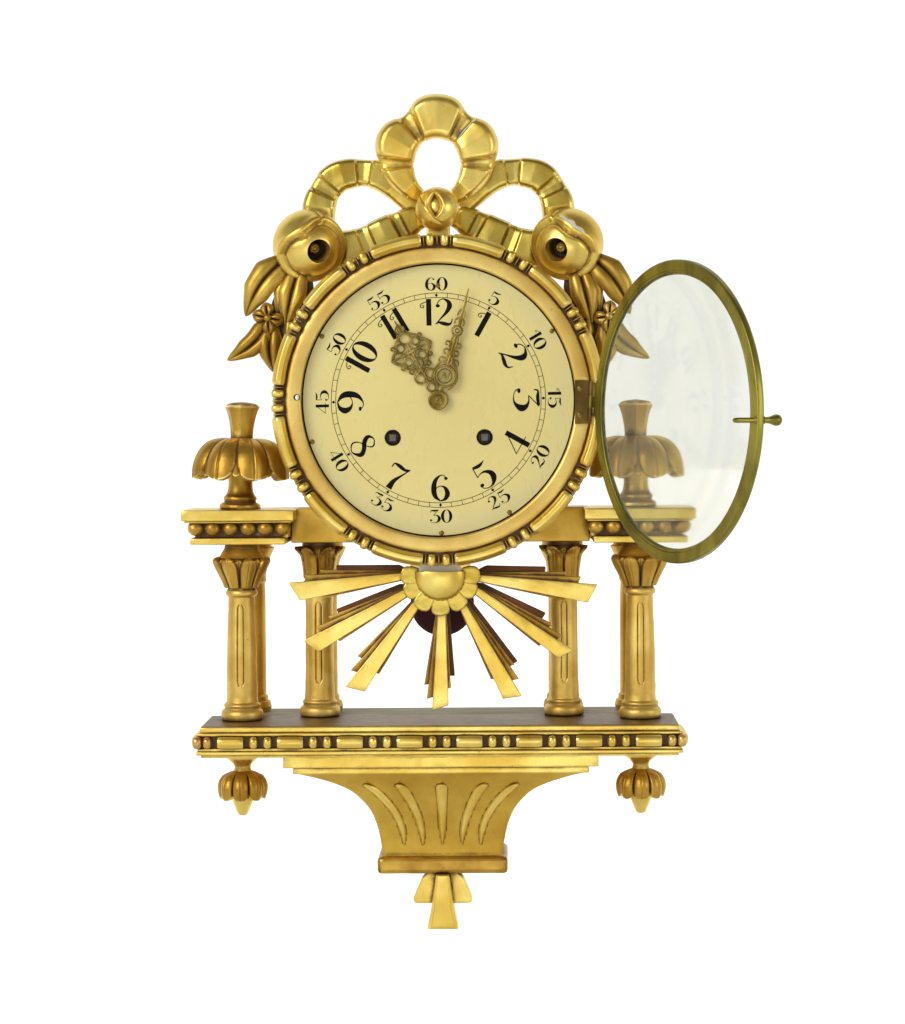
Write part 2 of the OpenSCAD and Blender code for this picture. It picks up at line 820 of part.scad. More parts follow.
// A round bar along the hinge axis, from the height low to high about its middle
module along_hinge(r, low, high) {
    axis = [tan(lean_side), -tan(lean_front), 1];
    tilt = acos(1 / norm(axis));
    turn = atan2(axis[1], axis[0]);
    translate([hinge_x, -hinge_d, hinge_z]) rotate([0, tilt, turn]) translate([0, 0, low])
        cylinder(r = r, h = high - low);
}

knuckle_half = hinge_h / 2 - 1.6;
knuckle_mid = knuckle_half / 3;
knuckle_gap = 0.35;

module hinge_leaf() {
    color(brass) from_dial() difference() {
        union() {
            block([open_r - 0.5, hinge_x + 0.9], [leaf_floor, leaf_floor + leaf_t],
                [hinge_z - hinge_h / 2, hinge_z + hinge_h / 2]);
            for (s = [-1, 1]) block([hinge_x - 0.9, hinge_x + 0.9], [leaf_floor, hinge_d],
                [hinge_z - (s < 0 ? knuckle_half : -knuckle_mid - knuckle_gap),
                hinge_z + (s < 0 ? -knuckle_mid - knuckle_gap : knuckle_half)]);
            along_hinge(barrel_r, knuckle_mid + knuckle_gap, knuckle_half);
            along_hinge(barrel_r, -knuckle_half, -knuckle_mid - knuckle_gap);
        }
        along_hinge(hinge_pin_r + run_gap, -knuckle_half - 3, knuckle_half + 3);
        for (z = [10, -10])
            bar([106, hinge_z + z], 2.2, leaf_floor + leaf_t - 0.6, 2);
    }
}

module hinge_pin() {
    color(steel) from_dial() {
        along_hinge(hinge_pin_r, -knuckle_half - 1, knuckle_half + 1);
        along_hinge(barrel_r * 0.8, knuckle_half + seat_gap / 2, knuckle_half + 1.2);
        along_hinge(barrel_r * 0.8, -knuckle_half - 1.2, -knuckle_half - seat_gap / 2);
    }
}

// The door is drawn shut, centred on the dial, and turned open about the hinge
module door_ring() {
    b = door_back;
    f = door_back + door_t;
    rim = door_r - 4;
    color(brass) from_dial() about_hinge(door_angle) difference() {
        translate([door_x, 0, 0]) faced() polygon([
            [door_r - glass_edge, b], [door_r, b], [door_r, f - 1], [door_r - 1, f],
            [rim - 1, f], [rim - 2.4, f - 1], [door_r - door_w + 0.8, f - 1.4],
            [door_r - door_w, f - 2.2], [door_r - door_w, b + 1 + glass_t],
            [door_r - glass_edge, b + 1 + glass_t]
        ]);
        bar([latch_x + 0.4, latch_z], latch_r, b - 1, door_t + 2);
    }
}

module door_glass() {
    color("azure", 0.4) from_dial() about_hinge(door_angle)
        bar([door_x, 0], door_r - glass_edge, door_back + 1, glass_t);
}

module door_leaf() {
    color(brass) from_dial() about_hinge(door_angle) difference() {
        union() {
            along_hinge(barrel_r, -knuckle_mid + knuckle_gap, knuckle_mid - knuckle_gap);
            block([hinge_x - 9.5, hinge_x], [hinge_d + barrel_r - 1.2, hinge_d + barrel_r],
                [hinge_z - knuckle_mid + 0.8, hinge_z + knuckle_mid - 0.8]);
            block([hinge_x - 12, hinge_x - 4], [hinge_d + barrel_r - 1.2, hinge_d + barrel_r],
                [hinge_z - knuckle_half, hinge_z + knuckle_half]);
        }
        bar([door_x, 0], door_r, 0, drum_d * 2);
        along_hinge(hinge_pin_r + run_gap, -knuckle_half - 3, knuckle_half + 3);
    }
}

// Pin that plugs into the bezel's hole, with a pear-shaped knob in front
module door_latch() {
    f = door_back + door_t;
    color(brass) from_dial() about_hinge(door_angle) {
        bar([latch_x + 0.4, latch_z], latch_r, door_back - latch_len, latch_len + door_t);
        translate([latch_x + 0.4, 0, latch_z]) rotate([90, 0, 0]) rotate_extrude()
            polygon([[0, f], [2.6, f], [2.3, f + 2], [2.4, f + 5], [3.6, f + 8.5], [4.1, f + 11],
                [3.4, f + 13.6], [1.8, f + 14.8], [0, f + 15]]);
    }
}

// Movement plate with its corners cut off
module plate_outline() {
    h = plate_high;
    c = 4;
    polygon([[-plate_half + c, -h], [plate_half - c, -h], [plate_half, -h + c],
        [plate_half, h - c], [plate_half - c, h], [-plate_half + c, h],
        [-plate_half, h - c], [-plate_half, -h + c]]);
}

plate_high = 64;
post_r = 3.2;
post_at = [for (x = [-1, 1], z = [-1, 1]) [x * (plate_half - 5.5), z * (plate_high - 5)]];
small_arbors = [middle_at, third_at, escape_at, strike_at, fly_at, hammer_at, [0, pend_z]];
wind_at = [[-wind_x, -wind_drop], [wind_x, -wind_drop]];

module pivot_holes(d) {
    for (p = small_arbors) bar(p, pivot_r + run_gap, d - 1, plate_t + 2);
    for (p = wind_at) bar(p, 4 + run_gap, d - 1, plate_t + 2);
    bar([0, 0], centre_arbor_r + run_gap, d - 1, plate_t + 2);
}

// Back plate with its riveted posts, which stand on the drum's back board
module back_plate() {
    color("khaki") from_dial() {
        difference() {
            slab(plate_back, plate_t) plate_outline();
            pivot_holes(plate_back);
        }
        for (p = post_at) {
            bar(p, post_r, plate_back + plate_t, plate_front - plate_back - plate_t);
            bar(p, post_r, back_t, plate_back - back_t);
        }
    }
}

module front_plate() {
    color("khaki") from_dial() {
        difference() {
            slab(plate_front, plate_t) plate_outline();
            pivot_holes(plate_front);
        }
        bar(motion_at, pivot_r, plate_front + plate_t, 9);
    }
}

// Spring barrel with its great wheel, free on the winding arbor
module spring_barrel(at, phase) {
    difference() {
        union() {
            wheel(at, great_teeth, great_mod, phase, layer_great, 2.6);
            bar(at, drum_radius, layer_barrel - 0.6, barrel_len);
        }
        bar(at, drum_radius - 2, layer_barrel + 1.4, barrel_len - 4);
        bar(at, 4 + run_gap, layer_great - 1, barrel_len + 8);
    }
}

module time_barrel() {
    color("darkkhaki") from_dial() spring_barrel(wind_at[1], 0);
}

module strike_barrel() {
    color("darkkhaki") from_dial() spring_barrel(wind_at[0], 0);
}

// Arbor with a winding square and a coiled mainspring round its middle
module winding_arbor(at) {
    turns = 9;
    inner = 6;
    outer = drum_radius - 3;
    function coil(t, r) = let (a = t * turns * 360) [r * cos(a), r * sin(a)];
    rings = 24 * turns;
    spiral = concat(
        [for (i = [0:rings]) coil(i / rings, inner + (outer - inner) * i / rings)],
        [for (i = [rings:-1:0]) coil(i / rings, inner - 1 + (outer - inner) * i / rings)]
    );
    bar(at, 4, plate_back - 2, plate_front + plate_t - plate_back + 6);
    bar(at, 6.2, layer_barrel + 2, barrel_len - 5.5);
    translate([at[0] - square_w / 2, 0, at[1] - square_w / 2])
        translate([0, -drum_d - 1, 0]) cube([square_w, 10, square_w]);
    translate([at[0], 0, at[1]]) slab(layer_barrel + 3, barrel_len - 8) polygon(spiral);
}

module time_winding_arbor() {
    color(steel) from_dial() winding_arbor(wind_at[1]);
}

module strike_winding_arbor() {
    color(steel) from_dial() winding_arbor(wind_at[0]);
}

// Wheel phases along the going train, from the barrel to the escape wheel
mid_pinion_phase = mesh_phase(line_angle(wind_at[1], middle_at), great_teeth, 0, mid_pinion);
mid_mod = 2 * norm(middle_at) / (mid_wheel_teeth + centre_pinion);
centre_pinion_phase = mesh_phase(line_angle(middle_at, [0, 0]), mid_wheel_teeth, 0,
    centre_pinion);
third_pinion_phase = mesh_phase(line_angle([0, 0], third_at), 80, 0, 8);
escape_pinion_phase = mesh_phase(line_angle(third_at, escape_at), 80, 0, 8);
centre_mod = norm(third_at) / 44;
third_mod = norm(escape_at - third_at) / 44;

module arbor(at, d, depth) {
    bar(at, pivot_r, d, depth);
}

inside_d = plate_back;
inside_len = plate_front + plate_t - plate_back;

module intermediate_wheel() {
    color("darkkhaki") from_dial() {
        arbor(middle_at, inside_d, inside_len);
        wheel(middle_at, mid_pinion, great_mod, mid_pinion_phase, layer_great - 0.4, 3.2);
        wheel(middle_at, mid_wheel_teeth, mid_mod, 0, layer_middle, 2);
    }
}

// Centre arbor with its wheel and pinion, and the cannon pinion that drives the hands
module centre_arbor() {
    color("darkkhaki") from_dial() {
        bar([0, 0], centre_arbor_r, inside_d, inside_len + 0.3);
        bar([0, 0], cannon_r, plate_front + plate_t + seat_gap,
            minute_d - plate_front - plate_t - seat_gap);
        bar([0, 0], 2, minute_d, 3.4);
        wheel([0, 0], 80, centre_mod, 0, layer_centre, 1.8);
        wheel([0, 0], centre_pinion, mid_mod, centre_pinion_phase, layer_middle - 0.4, 2.8);
        wheel([0, 0], cannon_teeth, cannon_mod, 0, plate_front + plate_t + 1, 2.4);
    }
}

module third_wheel() {
    color("darkkhaki") from_dial() {
        arbor(third_at, inside_d, inside_len);
        wheel(third_at, 8, centre_mod, third_pinion_phase, layer_centre - 0.3, 2.4);
        wheel(third_at, 80, third_mod, 0, layer_third, 1.5);
    }
}

escape_teeth = 40;
escape_r = 9.5;
module escape_wheel() {
    step = 360 / escape_teeth;
    points = [for (i = [0:escape_teeth - 1], p = [[0, -1.6], [0.45, 0], [0.6, 0], [0.62, -1.6]])
        tooth_point(escape_r + p[1], step * (i + p[0]))];
    color("darkkhaki") from_dial() {
        arbor(escape_at, inside_d, inside_len);
        wheel(escape_at, 8, third_mod, escape_pinion_phase, layer_third - 0.3, 2.1);
        translate([escape_at[0], 0, escape_at[1]]) slab(layer_escape, 1.5) polygon(points);
    }
}

// Anchor on its arbor, with the crutch that carries the pendulum behind the back plate
module anchor() {
    span = pend_z - escape_at[1];
    color(steel) from_dial() {
        bar([0, pend_z], pivot_r, pend_d - 2, plate_front + plate_t - pend_d + 2);
        translate([0, 0, pend_z]) slab(layer_escape, 1.5) difference() {
            union() {
                circle(r = 2.6);
                for (s = [-1, 1]) polygon([[0, 2.2], [s * 9.8, -span + 9.4], [s * 9.7, -span + 7],
                    [s * 8.1, -span + 6.8], [s * 6, -span + 9.8], [0, -2]]);
            }
            circle(r = pivot_r - 0.1);
        }
    }
}

module pendulum_rod() {
    color(steel) from_dial() difference() {
        union() {
            block([-1.5, 1.5], [pend_d - 1, pend_d + 1], [-bob_drop - bob_r - 8, pend_z]);
            bar([0, pend_z], 4, pend_d - 1, 2);
        }
        bar([0, pend_z], pivot_r, 0, 60);
        translate([0, -pend_d, -bob_drop]) rotate([90, 0, 0])
            cylinder(r = bob_r, h = 30, center = true);
    }
}

module pendulum_bob() {
    color("maroon") from_dial() translate([0, 0, -bob_drop]) faced() polygon([
        [0, pend_d - 4], [bob_r - 3, pend_d - 3], [bob_r, pend_d], [bob_r - 3, pend_d + 3],
        [0, pend_d + 5]
    ]);
}

cannon_teeth = 12;
motion_teeth = 36;
motion_pinion = 10;
hour_teeth = 40;
cannon_mod = 2 * norm(motion_at) / (cannon_teeth + motion_teeth);
hour_mod = 2 * norm(motion_at) / (motion_pinion + hour_teeth);
motion_phase = mesh_phase(90, cannon_teeth, 0, motion_teeth);
hour_phase = mesh_phase(-90, motion_pinion, 0, hour_teeth);

module motion_wheel() {
    d = plate_front + plate_t + 1;
    color("darkkhaki") from_dial() difference() {
        union() {
            wheel(motion_at, motion_teeth, cannon_mod, motion_phase, d + 0.3, 1.8);
            wheel(motion_at, motion_pinion, hour_mod, 0, d + 2, 4.2);
        }
        bar(motion_at, pivot_r + run_gap, d - 1, 12);
    }
}

module hour_wheel() {
    d = plate_front + plate_t + 4;
    color("darkkhaki") from_dial() difference() {
        union() {
            wheel([0, 0], hour_teeth, hour_mod, hour_phase, d, 1.8);
            bar([0, 0], pipe_r, d, hour_d + hand_t - d);
        }
        bar([0, 0], cannon_r + run_gap, d - 1, 30);
    }
}

module ring_2d(r, w) {
    difference() {
        circle(r = r);
        circle(r = r - w);
    }
}

// Pierced hour hand with a wide cross of scrolls
module hour_hand() {
    angle = 30 * (11 + minutes / 60);
    color(brass) from_dial() rotate([0, angle, 0]) difference() {
        slab(hour_d, hand_t) {
            circle(r = 7.5);
            translate([-1.6, 5]) square([3.2, 24]);
            for (s = [-1, 1]) translate([s * 3.6, 20]) ring_2d(4.6, 1.5);
            for (p = [[0, 32], [-10, 42], [10, 42], [0, 51]]) translate(p) ring_2d(7, 2);
            translate([-1.4, 31]) square([2.8, 18]);
            translate([-11, 40.8]) square([22, 2.6]);
            polygon([[-2.6, 56], [2.6, 56], [0.4, hour_len], [-0.4, hour_len]]);
        }
        bar([0, 0], pipe_r, hour_d - 1, hand_t + 2);
    }
}

// Pierced minute hand that narrows to a spike
module minute_hand() {
    angle = 6 * minutes;
    color(brass) from_dial() rotate([0, angle, 0]) difference() {
        slab(minute_d, hand_t) {
            circle(r = 7.5);
            translate([0, 19]) ring_2d(8.4, 2);
            translate([-1.1, 6]) square([2.2, 22]);
            polygon([[-4.6, 25], [4.6, 25], [3, 53], [-3, 53]]);
            translate([0, 56]) ring_2d(4.2, 1.4);
            polygon([[-2.2, 59], [2.2, 59], [0.3, minute_len], [-0.3, minute_len]]);
        }
        bar([0, 0], 2, minute_d - 1, hand_t + 2);
    }
}

module hand_nut() {
    color(brass) from_dial() difference() {
        translate([0, -minute_d - hand_t, 0]) rotate([90, 0, 0]) cylinder(r = 3.8, h = 2);
        bar([0, 0], 2, minute_d - 1, hand_t + 5);
    }
}

strike_pinion_phase = mesh_phase(line_angle(wind_at[0], strike_at), great_teeth, 0, mid_pinion);
pin_teeth = 56;
pin_ring = 8;
fly_teeth = 8;
pin_mod = 2 * norm(fly_at - strike_at) / (pin_teeth + fly_teeth);

// Strike wheel with the pins that lift the hammer's tail
module pin_wheel() {
    color("darkkhaki") from_dial() {
        arbor(strike_at, inside_d, inside_len);
        wheel(strike_at, mid_pinion, great_mod, strike_pinion_phase, layer_great - 0.4, 3.2);
        wheel(strike_at, pin_teeth, pin_mod, 0, layer_middle, 2);
        for (a = [0:45:315])
            bar(strike_at + pin_ring * [cos(a), sin(a)], 0.7, layer_middle - 4, 4.5);
    }
}

// Air brake of the strike train
module fly() {
    phase = mesh_phase(90, pin_teeth, 0, fly_teeth);
    color("darkkhaki") from_dial() {
        arbor(fly_at, inside_d, inside_len);
        wheel(fly_at, fly_teeth, pin_mod, phase, layer_middle - 0.3, 2.6);
        block([fly_at[0] - 8, fly_at[0] + 8], [50, 68], [fly_at[1] - 0.5, fly_at[1] + 0.5]);
    }
}

gong_r = 46;
gong_wire = 3;

// Flat spiral of steel wire on a foot that stands on the drum's back board
module gong() {
    turns = 3;
    inner = 16;
    rings = 32 * turns;
    function coil(i, grow) = let (r = inner + (gong_r - inner - gong_wire / 2) * i / rings + grow)
        [r * cos(360 * turns * i / rings), r * sin(360 * turns * i / rings)];
    strip = concat([for (i = [0:rings]) coil(i, gong_wire / 2)],
        [for (i = [rings:-1:0]) coil(i, -gong_wire / 2)]);
    color(steel) from_dial() translate([gong_at[0], 0, gong_at[1]]) {
        slab(gong_d, gong_wire) polygon(strip);
        bar([inner, 0], 4, back_t, gong_d + gong_wire - back_t);
    }
}

gong_d = 15;

// Hammer on its arbor, resting beside the outer turn of the gong
module hammer() {
    head_len = 12;
    head = gong_at + [-gong_r - 1.5 - head_len / 2, 0];
    mid_d = gong_d + gong_wire / 2;
    color(steel) from_dial() {
        bar(hammer_at, pivot_r, mid_d - 1.5, plate_front + plate_t - mid_d + 1.5);
        slab(mid_d - 1.5, 3) polygon([hammer_at + [-2, 0], hammer_at + [2, 0], head + [1.4, 0],
            head + [-1.4, 0]]);
        translate([head[0] - head_len / 2, -mid_d, head[1]]) rotate([0, 90, 0])
            cylinder(r = 5, h = head_len);
    }
}

drum_case();
drum_back();
hanger_plate();
bezel();
cornice_beam();
cornice_block_left();
cornice_block_right();
finial_left();
finial_right();
outer_column_left();
outer_column_right();
inner_column_left();
inner_column_right();
rear_columns();
shelf();
shelf_moulding();
rear_rail();
console();
plinth();
drops();
pendants();
sun_boss();
sun_rays();
sun_back_rays();
bow_loop();
bow_side_loops();
bow_knot();
rose_left();
rose_right();
leaf_sprays();
dial();
brass_screws();
hinge_leaf();
hinge_pin();
door_ring();
door_glass();
door_leaf();
door_latch();
back_plate();
front_plate();
time_barrel();
strike_barrel();
time_winding_arbor();
strike_winding_arbor();
intermediate_wheel();
centre_arbor();
third_wheel();
escape_wheel();
anchor();
pendulum_rod();
pendulum_bob();
motion_wheel();
hour_wheel();
hour_hand();
minute_hand();
hand_nut();
pin_wheel();
fly();
hammer();
gong();
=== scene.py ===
"""Looks of a carved and gilded wall clock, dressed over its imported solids.

Shapes are drawn in the clock's face frame: millimetres, X to the right, Y up from the
dial's centre and Z forward from the wall. Carving.placed turns them into metres in the
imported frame.
"""

import json
import logging
import math
from collections.abc import Callable, Iterable, Sequence
from dataclasses import dataclass
from enum import Enum

import bmesh
import bpy
import numpy as np
from mathutils import Matrix, Vector, noise
from mathutils.bvhtree import BVHTree

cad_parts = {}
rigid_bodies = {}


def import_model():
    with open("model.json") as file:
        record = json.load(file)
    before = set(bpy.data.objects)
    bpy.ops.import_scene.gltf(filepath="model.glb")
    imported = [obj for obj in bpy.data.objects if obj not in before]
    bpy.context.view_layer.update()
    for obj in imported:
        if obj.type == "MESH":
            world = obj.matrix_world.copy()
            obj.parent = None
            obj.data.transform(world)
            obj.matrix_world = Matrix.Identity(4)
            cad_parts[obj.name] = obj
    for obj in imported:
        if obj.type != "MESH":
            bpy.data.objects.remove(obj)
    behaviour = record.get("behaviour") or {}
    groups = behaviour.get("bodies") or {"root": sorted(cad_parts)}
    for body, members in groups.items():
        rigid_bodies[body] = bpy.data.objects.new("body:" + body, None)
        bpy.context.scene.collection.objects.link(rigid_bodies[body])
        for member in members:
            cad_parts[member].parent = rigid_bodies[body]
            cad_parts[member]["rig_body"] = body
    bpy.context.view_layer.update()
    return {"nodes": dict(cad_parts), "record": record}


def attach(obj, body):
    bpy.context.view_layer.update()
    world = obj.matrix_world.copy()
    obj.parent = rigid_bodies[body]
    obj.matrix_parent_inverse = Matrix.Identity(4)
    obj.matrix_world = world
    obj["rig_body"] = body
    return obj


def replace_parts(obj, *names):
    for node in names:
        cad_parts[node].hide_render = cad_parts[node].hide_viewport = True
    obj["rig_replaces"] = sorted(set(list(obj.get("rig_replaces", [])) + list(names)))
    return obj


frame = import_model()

LOG = logging.getLogger("wall_clock")

MM = 0.001
# How far the dial's centre lies under the origin, in millimetres
DIAL_DROP = 88.0
TAU = 2 * math.pi
CASE = "case"
Array = np.ndarray
Point = tuple[float, float]
Point3 = tuple[float, float, float]
Shape = Callable[[Array, Array], tuple[Array, Array]]


class Slot(Enum):
    """Material slots of the record that the pieces take their finish from."""

    BURNISHED = "burnished_gilding"
    MATTE = "matte_gilding"
    BARE = "bare_wood"
    PRIMED = "primed_wood"
    STAINED = "stained_wood"
    DIAL = "dial_lacquer"
    AGED_BRASS = "aged_brass"
    HANDS = "hand_brass"
    MOVEMENT = "movement_brass"
    STEEL = "steel"
    BOB = "bob_lacquer"
    GLASS = "clear_glass"


# Outlines


def softened(points: Sequence[Sequence[float]], rounds: int = 2, closed: bool = False) -> Array:
    """Rounds the corners of a line by cutting them off again and again.

    Args:
        points: Corners of the line.
        rounds: How often the corners are cut.
        closed: True if the last point joins the first.

    Returns:
        The rounded line, with its two ends kept if it is open.
    """
    line = np.asarray(points, float)
    for _ in range(rounds):
        after = np.roll(line, -1, axis=0) if closed else line[1:]
        before = line if closed else line[:-1]
        cut = np.stack([0.75 * before + 0.25 * after, 0.25 * before + 0.75 * after], axis=1)
        cut = cut.reshape(-1, line.shape[1])
        line = cut if closed else np.vstack([line[:1], cut, line[-1:]])
    return line


def measured(line: Array) -> Array:
    """Distance along a line at each of its points, from 0 to 1.

    Args:
        line: Points of the line.

    Returns:
        One number for each point.
    """
    steps = np.linalg.norm(np.diff(line, axis=0), axis=1)
    run = np.concatenate([[0.0], np.cumsum(steps)])
    return run / run[-1]


def along(line: Array, places: Array) -> Array:
    """Points at the given places, 0 to 1, along a line."""
    run = measured(line)
    return np.stack([np.interp(places, run, line[:, i]) for i in range(line.shape[1])], axis=-1)


def curve(points: Sequence[Sequence[float]], count: int, closed: bool = False) -> Array:
    """A smooth curve through a few points.

    Args:
        points: Points that the curve passes through.
        count: Number of points wanted.
        closed: True if the curve ends where it starts.

    Returns:
        The curve's points, evenly spaced.
    """
    knots = np.asarray(points, float)
    size = len(knots)
    reach = size if closed else size - 1
    spans = []
    for i in range(reach):
        if closed:
            a, b, c, d = (knots[(i + k) % size] for k in (-1, 0, 1, 2))
        else:
            b, c = knots[i], knots[i + 1]
            a = knots[i - 1] if i else 2 * b - c
            d = knots[i + 2] if i + 2 < size else 2 * c - b
        t = np.linspace(0, 1, 12, endpoint=False)[:, None]
        spans.append(0.5 * (2 * b + (c - a) * t + (2 * a - 5 * b + 4 * c - d) * t**2
                            + (3 * b - a - 3 * c + d) * t**3))
    spans.append(knots[:1] if closed else knots[-1:])
    line = np.vstack(spans)
    return along(line, np.linspace(0, 1, count + 1)[:-1] if closed else np.linspace(0, 1, count))


def normals_of(line: Array) -> Array:
    """Unit normals to the left of a line in the face plane.

    Args:
        line: Points of the line.

    Returns:
        One unit normal for each point.
    """
    run = np.gradient(line[:, :2], axis=0)
    run /= np.maximum(np.linalg.norm(run, axis=1, keepdims=True), 1e-9)
    return np.stack([-run[:, 1], run[:, 0]], axis=1)


def bump(value: Array, width: float) -> Array:
    """1 at zero, and falling off within the width on both sides."""
    return np.exp(-((value / width) ** 2))


def ease(value: Array) -> Array:
    """A soft step from 0 to 1."""
    held = np.clip(value, 0.0, 1.0)
    return held * held * (3 - 2 * held)


def within_leaf(angle: Array, count: int, shift: float = 0.0) -> Array:
    """Place across the nearest of count leaves round a turning, from -0.5 to 0.5."""
    return np.mod(angle / TAU * count + 0.5 + shift, 1.0) - 0.5


# Meshes


@dataclass
class Carving:
    """A mesh in the face frame, in millimetres."""

    points: Array
    faces: list[tuple[int, ...]]

    def moved(self, x: float = 0.0, y: float = 0.0, z: float = 0.0) -> "Carving":
        """The carving, moved."""
        return Carving(self.points + np.array([x, y, z]), self.faces)

    def mirrored(self) -> "Carving":
        """The carving on the other side of the clock."""
        return Carving(self.points * np.array([-1.0, 1.0, 1.0]), [f[::-1] for f in self.faces])

    def turned(self, degrees: float, centre: Point = (0.0, 0.0)) -> "Carving":
        """The carving, turned clockwise as seen from the front.

        Args:
            degrees: Angle to turn by.
            centre: Place on the face that it turns about.

        Returns:
            The turned carving.
        """
        a = math.radians(degrees)
        spin = np.array([[math.cos(a), math.sin(a)], [-math.sin(a), math.cos(a)]])
        points = self.points.copy()
        points[:, :2] = (points[:, :2] - centre) @ spin.T + centre
        return Carving(points, self.faces)

    def placed(self) -> Array:
        """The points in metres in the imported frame."""
        x, y, z = self.points.T
        return np.stack([x, -z, y - DIAL_DROP], axis=1) * MM


def joined(parts: Iterable[Carving]) -> Carving:
    """Several carvings as one.

    Args:
        parts: The carvings.

    Returns:
        One carving with all their faces.
    """
    points, faces, start = [], [], 0
    for part in parts:
        points.append(part.points)
        faces.extend(tuple(i + start for i in f) for f in part.faces)
        start += len(part.points)
    return Carving(np.vstack(points), faces)


def sheet(grid: Array, wrap_rows: bool = False, wrap_columns: bool = False) -> Carving:
    """Quads over a grid of points.

    Args:
        grid: Points as rows by columns by 3.
        wrap_rows: True if the last row joins the first.
        wrap_columns: True if the last column joins the first.

    Returns:
        The carving.
    """
    rows, columns = grid.shape[:2]
    faces = []
    for i in range(rows if wrap_rows else rows - 1):
        for j in range(columns if wrap_columns else columns - 1):
            n, m = (i + 1) % rows, (j + 1) % columns
            faces.append((i * columns + j, i * columns + m, n * columns + m, n * columns + j))
    return Carving(grid.reshape(-1, 3), faces)


def loft(rings: Array) -> Carving:
    """A closed solid through rings of points, with a flat cap on each end.

    Args:
        rings: Points as rings by points by 3.

    Returns:
        The solid.
    """
    rows, columns = rings.shape[:2]
    body = sheet(rings, wrap_columns=True)
    last = (rows - 1) * columns
    caps = [tuple(range(columns)), tuple(last + i for i in reversed(range(columns)))]
    return Carving(body.points, body.faces + caps)


def slab(outline: Sequence[Point], back: float, front: float) -> Carving:
    """A flat outline on the face, made solid from back to front.

    Args:
        outline: Corners on the face.
        back: Forward distance of its back.
        front: Forward distance of its front.

    Returns:
        The slab.
    """
    ring = np.asarray(outline, float)
    levels = [np.column_stack([ring, np.full(len(ring), z)]) for z in (back, front)]
    return loft(np.stack(levels))


def box(x: Point, y: Point, z: Point) -> Carving:
    """A box between its limits."""
    return slab([(x[0], y[0]), (x[1], y[0]), (x[1], y[1]), (x[0], y[1])], z[0], z[1])


def upright(shape: Shape, x: float, z: float, steps: int, around: int = 96) -> Carving:
    """A turning on a vertical axis, carved by its shape.

    Args:
        shape: Gives radius and height for an angle (0 faces forward) and a place 0 to 1.
        x: The axis's place across the clock.
        z: The axis's distance from the wall.
        steps: Number of rows.
        around: Number of points in a row.

    Returns:
        The carving, closed at its ends by points on the axis.
    """
    t, a = np.meshgrid(np.linspace(0, 1, steps), np.linspace(0, TAU, around, endpoint=False),
                       indexing="ij")
    radius, height = shape(a, t)
    radius[0] = radius[-1] = 0.0
    height[0], height[-1] = height[0].mean(), height[-1].mean()
    grid = np.stack([x + radius * np.sin(a), height, z + radius * np.cos(a)], axis=-1)
    return sheet(grid, wrap_columns=True)


def profiled(points: Sequence[Point], rounds: int = 2) -> Callable[[Array], tuple[Array, Array]]:
    """Radius and height along a softened profile, for places from 0 to 1.

    Args:
        points: Corners of the profile, as radius and height.
        rounds: How often its corners are rounded.

    Returns:
        A function that gives radius and height for places from 0 to 1.
    """
    line = softened(points, rounds)

    def place(t: Array) -> tuple[Array, Array]:
        """Radius and height at the places t."""
        run = measured(line)
        return np.interp(t, run, line[:, 0]), np.interp(t, run, line[:, 1])

    return place


def faced(profile: Sequence[Point], around: int = 240, rounds: int = 1,
          centre: Point = (0.0, 0.0)) -> Carving:
    """A ring or disc round the axis that faces the viewer.

    Args:
        profile: Closed outline of radius and forward distance.
        around: Number of points round the axis.
        rounds: How often the outline's corners are rounded.
        centre: Where the axis stands on the face.

    Returns:
        The carving.
    """
    ring = softened(profile, rounds, closed=True)
    a = np.linspace(0, TAU, around, endpoint=False)[:, None]
    grid = np.stack([centre[0] + ring[:, 0] * np.sin(a), centre[1] + ring[:, 0] * np.cos(a),
                     np.broadcast_to(ring[:, 1], (around, len(ring)))], axis=-1)
    return sheet(grid, wrap_rows=True, wrap_columns=True)


def disc(profile: Sequence[Point], around: int = 64, centre: Point = (0.0, 0.0)) -> Carving:
    """A solid turning on the axis that faces the viewer, from axis point to axis point.

    Args:
        profile: Radius and forward distance, from the axis out and back to it.
        around: Number of points round the axis.
        centre: Where the axis stands on the face.

    Returns:
        The disc.
    """
    line = np.asarray(profile, float)
    a = np.linspace(0, TAU, around, endpoint=False)[:, None]
    grid = np.stack([centre[0] + line[:, 0] * np.sin(a), centre[1] + line[:, 0] * np.cos(a),
                     np.broadcast_to(line[:, 1], (around, len(line)))], axis=-1)
    return sheet(grid, wrap_rows=True)


def ball(centre: Sequence[float], size: Sequence[float], rows: int = 14, around: int = 22) -> Carving:
    """An egg shape with its three half sizes.

    Args:
        centre: Its middle.
        size: Its three half sizes.
        rows: Number of points from pole to pole.
        around: Number of points round it.

    Returns:
        The ball.
    """
    a, b = np.meshgrid(np.linspace(0, math.pi, rows), np.linspace(0, TAU, around, endpoint=False),
                       indexing="ij")
    unit = np.stack([np.sin(a) * np.cos(b), np.sin(a) * np.sin(b), np.cos(a)], axis=-1)
    return sheet(unit * np.asarray(size) + np.asarray(centre), wrap_columns=True)


